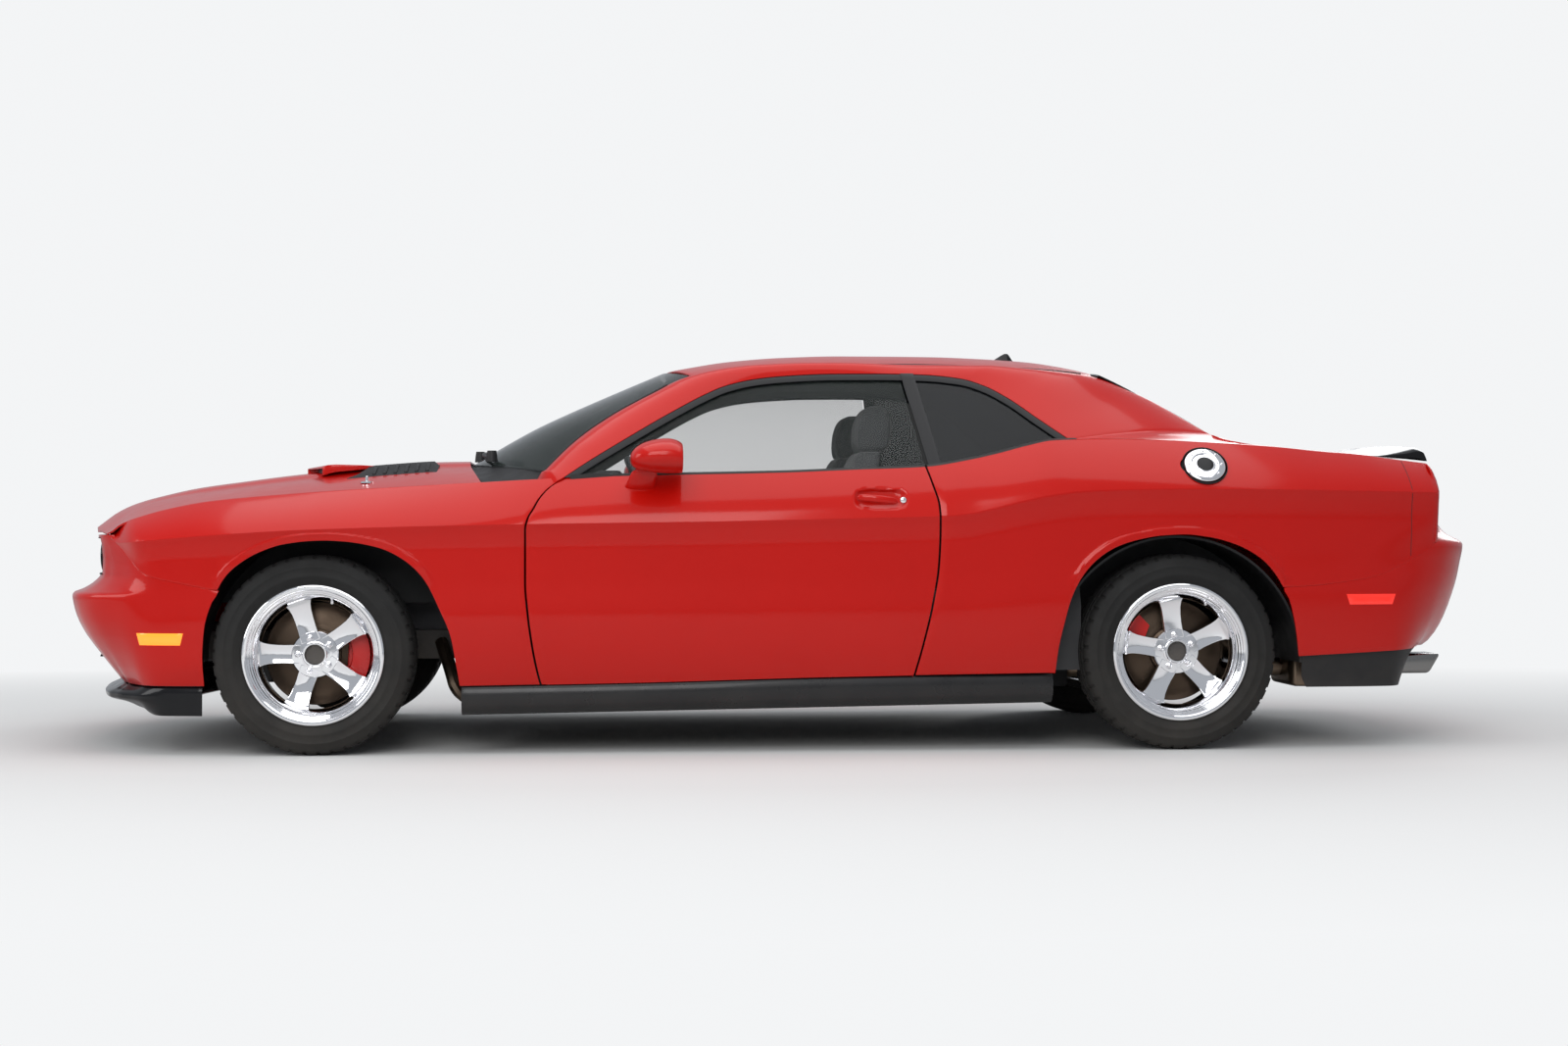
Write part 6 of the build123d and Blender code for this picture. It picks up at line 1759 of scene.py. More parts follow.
class COUPE_OT_markers(bpy.types.Operator):
    """Side markers, tail lamps and the licence plate recess"""
    bl_idname = "coupe.markers"
    bl_label = "Markers, tail lamps and plate recess"

    def execute(self, context):
        for side, word in SIDES:
            lens = side_lens(-0.586, -0.426, 0.371, 0.411, 0.010)
            place = np.array([wrap_surface(nose_plan, nose_depth, u, z, NOSE_RAMP)
                              for u, z in lens[..., :2].reshape(-1, 2)]).reshape(*lens.shape[:2], 2)
            grid = at(place[..., 0], side * (place[..., 1] + lens[..., 2]), lens[..., 1])
            piece = sheet(f"front_marker_{word}", [grid], wall=0.004, heart=(-0.4, 0, 0.39))
            finished(piece, f"front_marker_{word}", "marker_amber",
                     nodes=["side_markers"] if side < 0 else ())
            lens = side_lens(3.524, 3.705, 0.498, 0.534, 0.012)
            place = np.array([wrap_surface(tail_plan, tail_depth, u, z, TAIL_RAMP)
                              for u, z in lens[..., :2].reshape(-1, 2)]).reshape(*lens.shape[:2], 2)
            grid = at(place[..., 0], side * (place[..., 1] + lens[..., 2]), lens[..., 1])
            piece = sheet(f"rear_marker_{word}", [grid], wall=0.004, heart=(3.4, 0, 0.5))
            finished(piece, f"rear_marker_{word}", "marker_red")
        depth = through([(0.80, 0.118), (0.808, 0.112), (0.815, 0.106), (0.86, 0.108), (0.905, 0.116),
                         (0.912, 0.122), (0.92, 0.130)])
        heights = [0.8075, 0.810, 0.8125, 0.818, 0.84, 0.862, 0.884, 0.904, 0.910, 0.9135, 0.9165]
        ends = through([(0.80, 3.86), (0.92, 3.86)])
        grid = wrap_grid(tail_plan, depth, ends, heights, (0.28, 0.703, 0.787), (10, 14, 6, 4), (3.9, 3.70))
        for name, low, high, material in (("left", -0.786, -0.283, "lamp_red"),
                                          ("centre", -0.277, 0.277, "lamp_red"),
                                          ("right", 0.283, 0.786, "lamp_red")):
            piece = sheet(f"tail_lens_{name}", [grid], wall=SKIN, heart=(3.0, 0, 0.86),
                          skip=lambda c: not low < c.y < high, bevel=0.001)
            finished(piece, f"tail_lens_{name}", material, nodes=["tail_lamps"] if name == "left" else ())
        backs = []
        for z, extra in ((0.800, 0.0), (0.803, 0.045), (0.921, 0.045), (0.924, 0.0)):
            y = np.linspace(-0.795, 0.795, 50)
            u = np.interp(np.abs(y), tail_plan[:, 1], tail_plan[:, 0])
            backs.append(at(u - float(tail_depth(z)) - extra, y, z))
        piece = sheet("tail_lamp_tray", [np.array(backs)], wall=0.003, heart=(4.6, 0, 0.86))
        finished(piece, "tail_lamp_tray", "black_plastic")
        y = np.linspace(-0.702, 0.702, 40)
        u = np.interp(np.abs(y), tail_plan[:, 1], tail_plan[:, 0])
        seal = [at(u - extra, y, z) for z, extra in ((0.932, 0.130), (0.950, 0.138), (0.970, 0.170),
                    (0.988, 0.176))]
        piece = sheet("trunk_seal", [np.array(seal)], wall=0.003, heart=(3.0, 0, 0.96))
        finished(piece, "trunk_seal", "rubber_seal")
        rows = []
        y = np.concatenate([[-0.28], np.linspace(-0.277, 0.277, 12), [0.28]])
        face = np.full(14, 3.992)
        skin = np.interp(np.abs(y), tail_plan[:, 1], tail_plan[:, 0])
        for u, z in ((skin - float(tail_depth(0.498)) - 0.003, 0.497), (face, 0.499), (face, 0.641),
                     (skin - float(tail_depth(0.643)) - 0.003, 0.643)):
            u = np.where(np.abs(y) > 0.279, skin - 0.04, u)
            rows.append(at(u, y, z))
        piece = sheet("plate_tray", [np.array(rows)], wall=0.003, heart=(4.6, 0, 0.57))
        finished(piece, "plate_tray", "black_plastic")
        screws = []
        for y in (-0.089, 0.089):
            stud = turned([(0, -0.004), (0.005, -0.004), (0.0065, -0.002), (0.007, 0.002)], steps=20)
            screws.append(moved(moved(stud, turn=(0, 0, 90)), (FRONT_X + 3.994, y, 0.600)))
        finished(joined(screws), "plate_screws", "brushed")
        # Painted shade: a thin dark bar on the seam between quarter and rear bumper stands in for the shade
        # in the seam's gap.
        for side, word in SIDES:
            z = np.linspace(0.665, float(shoulder_z(3.765)) - 0.004, 30)
            place = meeting_tail(np.stack([np.full(30, 3.765), z], -1)[None], side)[0]
            finished(tube([tuple(p) for p in place], 0.0011, 1), f"tail_seam_{word}", "rubber_seal")
        return {"FINISHED"}


def wrap_surface(plan, depth, u, z, ramp):
    """Place on a wrapped end at a distance behind the axle, from the share of the plan that lands there."""
    places = wrap_place(plan, depth, even(240), np.full(240, z), ramp)
    order = np.argsort(places[:, 0])
    return u, float(np.interp(u, places[order, 0], places[order, 1]))


class COUPE_OT_fuel_door(bpy.types.Operator):
    """Bright round fuel door with its recess, rim screws and bare dark centre"""
    bl_idname = "coupe.fuel_door"
    bl_label = "Fuel door"

    def execute(self, context):
        place, lean = (FRONT_X + 3.031, -0.9085, 0.979), (-37.6, 0, 0)
        quarter = bpy.data.objects["quarter_skin_left"]
        tool = moved(moved(turned([(0.0, -0.04), (0.0776, -0.04), (0.0776, 0.03), (0.0, 0.03)], steps=72),
                           turn=lean), place)
        cut_by(quarter, tool)
        notch = moved(turned([(0.0, -0.04), (0.036, -0.04), (0.036, 0.014), (0.0, 0.014)], steps=48),
                      (-0.050, 0, 0))
        cut_by(quarter, moved(moved(copied(notch), turn=lean), place))
        smooth(quarter, 35)
        cup = turned([(0.0795, 0.0015), (0.0776, 0.0015), (0.0776, 0.022), (0.0, 0.022)], steps=72)
        modify(cup, "SOLIDIFY", thickness=0.0015, offset=1)
        cut_by(cup, notch)
        finished(moved(moved(cup, turn=lean), place), "fuel_cup", "black_plastic")
        cover = turned([(0.0, -0.0055), (0.030, -0.0055), (0.0315, -0.0045), (0.0325, -0.0020),
                        (0.040, -0.0010), (0.0445, -0.0010), (0.0460, -0.0045), (0.0485, -0.0060),
                        (0.0655, -0.0045), (0.0700, -0.0020), (0.0718, 0.0015), (0.0718, 0.006),
                        (0.0, 0.006)], steps=96)
        head = turned([(0, -0.0095), (0.0026, -0.0090), (0.0038, -0.0070), (0.0038, -0.004)], steps=12)
        parts = [cover] + [copied(head, (0.0575 * math.cos(a), 0, 0.0575 * math.sin(a)))
                           for a in np.linspace(0, 2 * math.pi, 9)[:-1]]
        only(head)
        bpy.ops.object.delete()
        finished(moved(moved(joined(parts), turn=lean), place), "fuel_cover", "polished", "fuel_door",
                 nodes=["fuel_door"])
        cap = turned([(0.0, -0.0085), (0.020, -0.0082), (0.0285, -0.0070), (0.0296, -0.0050)], steps=48)
        finished(moved(moved(cap, turn=lean), place), "fuel_cap_face", "black_gloss", "fuel_door")
        return {"FINISHED"}


class COUPE_OT_door_fittings(bpy.types.Operator):
    """Mirrors on their stems, door pulls and key cylinders"""
    bl_idname = "coupe.door_fittings"
    bl_label = "Mirrors and handles"

    def execute(self, context):
        for side, word in SIDES:
            cap = along_x([(1.055, side * 0.975, 0.992, 0.030, 0.100),
                           (1.070, side * 0.975, 0.995, 0.072, 0.165),
                           (1.100, side * 0.975, 1.000, 0.106, 0.205),
                           (1.143, side * 0.975, 1.003, 0.124, 0.224),
                           (1.184, side * 0.973, 1.004, 0.130, 0.226),
                           (1.214, side * 0.972, 1.001, 0.124, 0.226),
                           (1.232, side * 0.972, 0.995, 0.108, 0.216)])
            faces_where(cap, lambda c, n: n.x > 0.95)
            bpy.ops.mesh.inset(thickness=0.006)
            bpy.ops.mesh.extrude_region_move(TRANSFORM_OT_translate={"value": (-0.014, 0, 0)})
            bpy.ops.mesh.inset(thickness=0.004)
            leave_edit()
            rounded(cap, 3)
            stem = along_y([(1.087, side * 0.846, 0.888, 0.130, 0.036),
                            (1.088, side * 0.868, 0.891, 0.124, 0.036),
                            (1.093, side * 0.895, 0.908, 0.108, 0.040),
                            (1.101, side * 0.916, 0.934, 0.100, 0.040),
                            (1.109, side * 0.933, 0.958, 0.098, 0.038)])
            rounded(stem, 2)
            finished(joined([cap, stem]), f"mirror_cap_{word}", "paint", f"door_{word}",
                     nodes=[f"mirror_{word}"], degrees=60)
            pane = along_x([(1.2165, side * 0.972, 0.9965, 0.074, 0.148),
                            (1.2215, side * 0.972, 0.9965, 0.074, 0.148)], sides=40)
            finished(pane, f"mirror_pane_{word}", "polished", f"door_{word}")
            path = [(1.826, 0.8655), (1.850, 0.8650), (1.895, 0.8610), (1.940, 0.8560), (1.968, 0.8520)]
            bar = []
            for k, (u, z) in enumerate(path):
                out = (-0.002, 0.0085, 0.0115, 0.0085, -0.002)[k]
                place = on_side(u, z, side, out)
                bar.append((float(place[0]) - FRONT_X, float(place[1]), z,
                            (0.022, 0.026, 0.027, 0.026, 0.022)[k], (0.008, 0.010, 0.011, 0.010, 0.008)[k]))
            finished(rounded(along_x(bar), 2), f"door_pull_{word}", "paint", f"door_{word}", degrees=60)
            key = turned([(0, -0.0035), (0.0075, -0.0035), (0.0100, -0.0020), (0.0110, 0.0015),
                          (0.0, 0.0015)], steps=32)
            if side > 0:
                key = moved(key, turn=(0, 0, 180))
            spot = on_side(1.984, 0.857, side, 0.0)
            finished(moved(key, tuple(float(v) for v in spot)), f"key_cylinder_{word}", "polished",
                     f"door_{word}")
            rows = []
            z = np.linspace(0.255, 0.955, 20)
            for front_edge, line in ((True, door_front), (False, door_rear)):
                u = line(z) + (0.001 if front_edge else -0.001)
                skin = flank_y(u, z)
                grid = np.array([at(u, side * (skin + (0.840 - skin) * share), z) for share in even(5)])
                rows.append(grid)
            u = np.linspace(0.775, 2.015, 40)
            foot = rocker_top(u) + 0.0085
            skin = flank_y(u, foot)
            rows.append(np.array([at(u, side * (skin + (0.840 - skin) * share), foot + 0 * u)
                                  for share in even(4)]))
            inner = coons(np.stack([u, foot], -1),
                          np.stack([np.linspace(0.853, 2.063, 40), np.full(40, 0.948)], -1),
                          at_height(door_front, np.linspace(foot[0], 0.948, 20)),
                          at_height(door_rear, np.linspace(foot[-1], 0.948, 20)))
            card = at(inner[..., 0], side * 0.838, inner[..., 1])
            piece = sheet(f"door_edges_{word}", rows, wall=0.0015, heart=(1.4, side * 0.89, 0.6))
            finished(piece, f"door_edges_{word}", "paint", f"door_{word}", nodes=[f"door_{word}"])
            trim = sheet(f"door_card_{word}", [card], wall=0.004, heart=(1.4, side * 1.2, 0.6), bevel=0.001)
            rest = along_x([(1.10, side * 0.826, 0.655, 0.05, 0.02),
                            (1.20, side * 0.812, 0.665, 0.055, 0.05),
                            (1.75, side * 0.812, 0.690, 0.055, 0.05),
                            (1.85, side * 0.826, 0.70, 0.05, 0.02)])
            rounded(rest, 2)
            finished(joined([trim, rest]), f"door_card_{word}", "cabin_plastic", f"door_{word}")
        return {"FINISHED"}


class COUPE_OT_spoiler(bpy.types.Operator):
    """Rear spoiler with a raised lip and drawn-in ends"""
    bl_idname = "coupe.spoiler"
    bl_label = "Spoiler"

    def execute(self, context):
        section = [(3.700, 0.000), (3.745, 0.0135), (3.800, 0.030), (3.843, 0.0455), (3.858, 0.0475),
                   (3.868, 0.043), (3.876, 0.020), (3.880, 0.002)]
        rows = []
        for y in np.concatenate([[-0.693, -0.690, -0.682], np.linspace(-0.66, 0.66, 41),
                                 [0.682, 0.690, 0.693]]):
            share = max(0.0, (abs(y) - 0.655) / 0.038)
            low = 1 - 0.25 * share**2
            row = []
            for u, rise in section:
                back = u + 0.020 * (1 - (y / 0.69) ** 2)
                floor_z = float(deck_z(min(back, 3.86), y)) - 0.004
                row.append((FRONT_X + back + 0.012 * share**3, y, floor_z + rise * low + 0.006))
            rows.append(row)
        rows = np.array(rows)
        ends = []
        for row in (rows[0], rows[-1]):
            base = row.copy()
            base[:, 2] = np.linspace(row[0, 2], row[-1, 2], len(row))
            ends.append(np.array([row, base]))
        bottom = np.array([rows[:, 0], rows[:, -1]])
        piece = sheet("spoiler_blade", [rows] + ends + [bottom], heart=(3.8, 0, 1.0))
        modify(piece, "BEVEL", width=0.003, segments=3, limit_method="ANGLE", angle_limit=math.radians(45))
        finished(piece, "spoiler_blade", "black_gloss", "trunk_lid", nodes=["spoiler"])
        return {"FINISHED"}


class COUPE_OT_hood_details(bpy.types.Operator):
    """Hood scoops with dark mouths, slatted vents and hood pins"""
    bl_idname = "coupe.hood_details"
    bl_label = "Hood details"

    def execute(self, context):
        for side, word in SIDES:
            y = side * 0.30
            u0 = -0.10
            stations = []
            for du, high, wide in ((0.0, 0.030, 0.20), (0.05, 0.032, 0.212), (0.12, 0.027, 0.214),
                                   (0.21, 0.016, 0.20), (0.29, 0.004, 0.16)):
                z = float(hood_z(u0 + du, y))
                stations.append((u0 + du, y, z + high / 2 - 0.006, high, wide))
            scoop = along_x(stations, bevel=0.010, segments=4)
            faces_where(scoop, lambda c, n: n.x < -0.8 and c.x < FRONT_X + u0 + 0.01)
            bpy.ops.mesh.inset(thickness=0.0045)
            bpy.ops.mesh.extrude_region_move(TRANSFORM_OT_translate={"value": (0.05, 0, 0)})
            leave_edit()
            for vert in scoop.data.vertices:
                if vert.co.x < FRONT_X + u0 + 0.055:
                    outer = np.clip((abs(vert.co.y) - 0.24) / 0.16, 0, 1)
                    vert.co.x += 0.075 * outer * (1 - (vert.co.x - FRONT_X - u0) / 0.11)
            finished(scoop, f"hood_scoop_{word}", "paint", "hood", degrees=50)
            level = float(hood_z(u0, y)) + 0.0085
            mouth = along_y([(u0 + 0.043, side * 0.212, level, 0.006, 0.022),
                             (u0 + 0.043, side * 0.24, level, 0.006, 0.022),
                             (u0 + 0.080, side * 0.388, level, 0.006, 0.022)])
            finished(mouth, f"scoop_mouth_{word}", "black_plastic", "hood")
            slats = []
            for k in range(6):
                u = 0.165 + 0.037 * k
                inner, outer = (float(hood_z(u, y)) for y in (0.40, 0.53))
                slats.append(along_y([(u, side * 0.405, inner + 0.019, 0.011, 0.009),
                                      (u, side * 0.525, outer + 0.005, 0.011, 0.009)], bevel=PANEL_EDGE))
            base = []
            for y, rise in ((0.34, -0.004), (0.385, 0.019), (0.400, 0.018), (0.53, 0.002), (0.545, -0.004)):
                u = np.linspace(0.135 - 0.3 * (y - 0.34), 0.385, 16)
                base.append(at(u, side * y,
                               hood_z(u, np.full(16, y)) + rise * np.minimum(1,
                                   12 * np.minimum(even(16), 1 - even(16)) + 0.2)))
            base = sheet("vent_base", [np.array(base)], wall=0.003, heart=(0.3, 0, 0))
            finished(base, f"vent_base_{word}", "black_plastic", "hood")
            finished(joined(slats), f"vent_slats_{word}", "black_plastic", "hood")
            spot = (FRONT_X + 0.155, side * 0.665, float(hood_z(0.155, 0.665)))
            pin = drawn_out([(0, 0, -0.003, 0.044, 0.044), (0, 0, 0.002, 0.044, 0.044),
                             (0, 0, 0.0035, 0.036, 0.036), (0, 0, 0.004, 0.012, 0.012),
                             (0, 0, 0.020, 0.011, 0.011), (0, 0, 0.022, 0.006, 0.006)], sides=24)
            finished(moved(pin, spot), f"hood_pin_{word}", "polished", "hood")
        return {"FINISHED"}


# ---- Cabin ----

def inflated(obj, voxel=0.012, cap=0.012, pressure=4.0):
    """Swells a closed form as a padded cushion, with the movement of every point capped."""
    modify(obj, "REMESH", mode="VOXEL", voxel_size=voxel)
    modify(obj, "SMOOTH", factor=0.5, iterations=5)
    only(obj)
    rest = [v.co.copy() for v in obj.data.vertices]
    cloth = obj.modifiers.new("Cloth", "CLOTH")
    cloth.settings.use_pressure = True
    cloth.settings.uniform_pressure_force = pressure
    cloth.settings.effector_weights.gravity = 0
    cloth.point_cache.frame_end = 20
    for step in range(1, 21):
        bpy.context.scene.frame_set(step)
    swollen = obj.evaluated_get(bpy.context.evaluated_depsgraph_get())
    places = [v.co.copy() for v in swollen.data.vertices]
    obj.modifiers.remove(cloth)
    bpy.context.scene.frame_set(1)
    for vert, start, end in zip(obj.data.vertices, rest, places):
        shift = end - start
        vert.co = start + shift * min(1.0, cap / max(shift.length, 1e-6))
    modify(obj, "SUBSURF", levels=1, render_levels=1)
    return obj


def seat_parts():
    """Cushion, back and headrest of the left front seat, each a swollen closed form."""
    y = -0.375
    cushion = [along_x([(1.245, y, 0.395, 0.09, 0.40), (1.275, y, 0.400, 0.145, 0.45),
                        (1.45, y, 0.385, 0.135, 0.47), (1.66, y, 0.365, 0.125, 0.46),
                        (1.69, y, 0.365, 0.09, 0.40)])]
    back = [drawn_out([(FRONT_X + 1.695, y, 0.43, 0.085, 0.36), (FRONT_X + 1.715, y, 0.47, 0.105, 0.42),
                       (FRONT_X + 1.770, y, 0.62, 0.098, 0.45), (FRONT_X + 1.838, y, 0.80, 0.095, 0.45),
                       (FRONT_X + 1.888, y, 0.94, 0.092, 0.41), (FRONT_X + 1.922, y, 1.045, 0.080, 0.30)])]
    for side in (-1, 1):
        cushion.append(along_x([(1.27, y + side * 0.205, 0.425, 0.09, 0.055),
                                (1.34, y + side * 0.205, 0.440, 0.13, 0.075),
                                (1.58, y + side * 0.205, 0.425, 0.13, 0.075),
                                (1.66, y + side * 0.205, 0.40, 0.09, 0.055)]))
        back.append(drawn_out([(FRONT_X + 1.680, y + side * 0.200, 0.48, 0.09, 0.055),
                               (FRONT_X + 1.700, y + side * 0.202, 0.56, 0.14, 0.075),
                               (FRONT_X + 1.770, y + side * 0.200, 0.76, 0.14, 0.075),
                               (FRONT_X + 1.835, y + side * 0.175, 0.92, 0.09, 0.055)]))
    rest = drawn_out([(FRONT_X + 1.922, y, 1.030, 0.075, 0.20), (FRONT_X + 1.930, y, 1.048, 0.108, 0.240),
                      (FRONT_X + 1.937, y, 1.13, 0.112, 0.250), (FRONT_X + 1.942, y, 1.180, 0.092, 0.230),
                      (FRONT_X + 1.944, y, 1.200, 0.055, 0.18)])
    made = [inflated(joined(cushion)), inflated(joined(back)), inflated(rest, voxel=0.009, cap=0.006)]
    return dict(zip(("seat_cushion", "seat_back", "seat_headrest"), made))


class COUPE_OT_seats(bpy.types.Operator):
    """Padded front seats and rear bench, with their bases and headrest posts"""
    bl_idname = "coupe.seats"
    bl_label = "Front and rear seats"

    def execute(self, context):
        for name, obj in seat_parts().items():
            other = flipped(copied(obj))
            for piece, word in ((obj, "left"), (other, "right")):
                nodes = ["front_seats"] if name == "seat_cushion" and word == "left" else ()
                finished(piece, f"{name}_{word}", "seat_cloth", nodes=nodes, degrees=80)
        bench = inflated(along_x([(2.200, -0.265, 0.455, 0.07, 0.47), (2.235, -0.265, 0.465, 0.12, 0.505),
                                  (2.42, -0.265, 0.455, 0.11, 0.51), (2.55, -0.265, 0.445, 0.09, 0.50)]))
        rest = inflated(drawn_out([(FRONT_X + 2.590, -0.265, 0.47, 0.08, 0.47),
                                   (FRONT_X + 2.605, -0.265, 0.52, 0.10, 0.51),
                                   (FRONT_X + 2.655, -0.265, 0.70, 0.09, 0.51),
                                   (FRONT_X + 2.710, -0.265, 0.90, 0.08, 0.49),
                                   (FRONT_X + 2.728, -0.265, 0.965, 0.05, 0.44)]))
        for name, obj in (("bench_cushion", bench), ("bench_back", rest)):
            other = flipped(copied(obj))
            for piece, word in ((obj, "left"), (other, "right")):
                nodes = ["rear_seat"] if name == "bench_cushion" and word == "left" else ()
                finished(piece, f"{name}_{word}", "seat_cloth", nodes=nodes, degrees=80)
        for side, word in SIDES:
            y = side * 0.375
            base = drawn_out([(FRONT_X + 1.47, y, 0.192, 0.40, 0.42),
                              (FRONT_X + 1.47, y, 0.205, 0.40, 0.42),
                              (FRONT_X + 1.47, y, 0.215, 0.34, 0.36), (FRONT_X + 1.47, y, 0.31, 0.36, 0.38),
                              (FRONT_X + 1.47, y, 0.325, 0.42, 0.43)], bevel=0.006)
            shell = drawn_out([(FRONT_X + 1.765, y, 0.44, 0.02, 0.38),
                               (FRONT_X + 1.835, y, 0.64, 0.02, 0.41),
                               (FRONT_X + 1.900, y, 0.84, 0.018, 0.38),
                               (FRONT_X + 1.943, y, 0.98, 0.012, 0.28)], bevel=0.006)
            finished(joined([base, shell]), f"seat_frame_{word}", "cabin_plastic")
            posts = [tube([(FRONT_X + 1.905, y + d, 0.98), (FRONT_X + 1.915, y + d, 1.03),
                           (FRONT_X + 1.925, y + d, 1.08)], 0.006) for d in (-0.06, 0.06)]
            finished(joined(posts), f"headrest_posts_{word}", "polished")
        base = along_y([(2.42, -0.52, 0.30, 0.42, 0.21), (2.42, 0.52, 0.30, 0.42, 0.21)], bevel=0.01)
        finished(base, "bench_base", "carpet")
        return {"FINISHED"}


class COUPE_OT_cabin(bpy.types.Operator):
    """Steering wheel, instrument hood, centre panel, shifter, linings and carpet"""
    bl_idname = "coupe.cabin"
    bl_label = "Cabin"

    def execute(self, context):
        centre = (FRONT_X + 1.130, -0.375, 0.850)
        rim = turned([(0.174 + 0.0135 * math.cos(a), 0.0135 * math.sin(a))
                      for a in np.linspace(0, 2 * math.pi, 15)[:-1]], steps=64, closed=True)
        hub = turned([(0, -0.010), (0.030, -0.012), (0.055, -0.004), (0.062, 0.010), (0.058, 0.035),
                      (0.035, 0.050), (0, 0.050)], steps=48)
        parts = [rim, hub]
        for turn in (0, 180, 90):
            arm = drawn_out([(0, 0.010, 0.045, 0.070, 0.020), (0, 0.006, 0.10, 0.036, 0.016),
                             (0, 0.001, 0.145, 0.030, 0.013), (0, 0, 0.172, 0.044, 0.012)], bevel=0.004)
            parts.append(moved(arm, turn=(0, turn + 90, 0)))
        column = turned([(0.0, 0.045), (0.035, 0.045), (0.040, 0.060), (0.045, 0.150), (0.0, 0.150)],
                        steps=32)
        parts.append(column)
        wheel = moved(moved(moved(joined(parts), turn=(0, 0, 90)), turn=(0, -25, 0)), centre)
        finished(wheel, "steering_wheel_rim", "cabin_leather", nodes=["steering_wheel"])
        hood = along_x([(0.90, -0.375, 0.925, 0.04, 0.34), (0.96, -0.375, 0.935, 0.06, 0.36),
                        (1.035, -0.375, 0.925, 0.08, 0.36)], bevel=0.015, segments=3)
        faces_where(hood, lambda c, n: n.x > 0.9 and c.x > FRONT_X + 1.03)
        bpy.ops.mesh.inset(thickness=0.010)
        bpy.ops.mesh.extrude_region_move(TRANSFORM_OT_translate={"value": (-0.05, 0, 0)})
        leave_edit()
        finished(hood, "instrument_hood", "cabin_plastic")
        stack = along_x([(0.985, 0, 0.775, 0.23, 0.25), (1.022, 0, 0.775, 0.225, 0.245),
                         (1.030, 0, 0.775, 0.21, 0.23)], bevel=0.006)
        faces_where(stack, lambda c, n: n.x > 0.9)
        bpy.ops.mesh.subdivide(number_cuts=3)
        leave_edit()
        faces_where(stack, lambda c, n: n.x > 0.9 and c.x > FRONT_X + 1.028)
        bpy.ops.mesh.inset(thickness=0.004, depth=-0.003, use_individual=True)
        leave_edit()
        finished(stack, "centre_panel", "black_gloss")
        vents = []
        for y in (-0.66, -0.10, 0.10, 0.66):
            vent = turned([(0.038, 0.0), (0.042, -0.008), (0.045, -0.008), (0.047, 0.0), (0.046, 0.02),
                           (0.0, 0.02)], steps=40)
            vents.append(moved(moved(vent, turn=(0, 0, 90)),
                               (FRONT_X + (1.035 if abs(y) > 0.5 else 1.030), y,
                                0.875 if abs(y) > 0.5 else 0.905)))
        finished(joined(vents), "dash_vents", "black_gloss")
        lever = drawn_out([(FRONT_X + 1.36, 0, 0.515, 0.09, 0.07), (FRONT_X + 1.36, 0, 0.530, 0.075, 0.055),
                           (FRONT_X + 1.355, 0, 0.575, 0.022, 0.022),
                           (FRONT_X + 1.35, 0, 0.600, 0.020, 0.020),
                           (FRONT_X + 1.35, 0, 0.605, 0.040, 0.034),
                           (FRONT_X + 1.35, 0, 0.640, 0.050, 0.040),
                           (FRONT_X + 1.35, 0, 0.650, 0.030, 0.025)], sides=12, bevel=0.003)
        finished(lever, "shifter", "cabin_leather")
        glass = along_y([(1.125, -0.115, 1.230, 0.012, 0.045), (1.120, -0.10, 1.230, 0.022, 0.062),
                         (1.118, 0.10, 1.230, 0.022, 0.062), (1.123, 0.115, 1.230, 0.012, 0.045)],
                        bevel=0.006)
        stalk = tube([(FRONT_X + 1.110, 0, 1.250), (FRONT_X + 1.100, 0, 1.275),
                      (FRONT_X + 1.135, 0, 1.305)], 0.008)
        finished(joined([glass, stalk]), "inside_mirror", "cabin_plastic")
        roof = roof_grid()
        roof[..., 2] -= 0.030
        roof[..., 1] *= 0.985
        lining = [roof]
        for side in (-1, 1):
            band = pillar_grid(side)
            middle = np.array([FRONT_X + 1.9, 0, 0.75])
            lining.append(band + (middle - band) * 0.032)
        for k, grid in enumerate(lining):
            piece = sheet(f"lining_{k}", [grid], wall=0.003, heart=(1.9, 0, 0.7))
            finished(piece, ("headliner", "pillar_lining_left", "pillar_lining_right")[k], "headliner")
        for side, word in SIDES:
            u = np.linspace(2.115, 2.62, 16)
            rows = [at(u, side * y, np.full(16, z) + lift * (shoulder_z(u) - 0.972))
                    for y, z, lift in ((0.80, 0.27, 0), (0.80, 0.50, 0), (0.74, 0.62, 0.2),
                                       (0.76, 0.80, 0.6), (0.80, 0.965, 1.0))]
            piece = sheet(f"quarter_trim_{word}", [np.array(rows)], wall=0.004,
                          heart=(2.3, side * 1.2, 0.6))
            finished(piece, f"quarter_trim_{word}", "cabin_plastic")
        u = np.linspace(0.64, 2.18, 30)
        rows = []
        for y in np.concatenate([np.linspace(-0.80, -0.16, 12), np.linspace(-0.12, 0.12, 7),
                                 np.linspace(0.16, 0.80, 12)]):
            hump = 0.14 * (abs(y) < 0.14)
            rise = 0.22 * np.clip((0.80 - u) / 0.16, 0, 1) ** 1.5
            rows.append(at(u, y, 0.194 + hump + rise))
        piece = sheet("carpet", [np.array(rows)], wall=0.004, heart=(1.4, 0, -1))
        finished(piece, "carpet", "carpet")
        return {"FINISHED"}


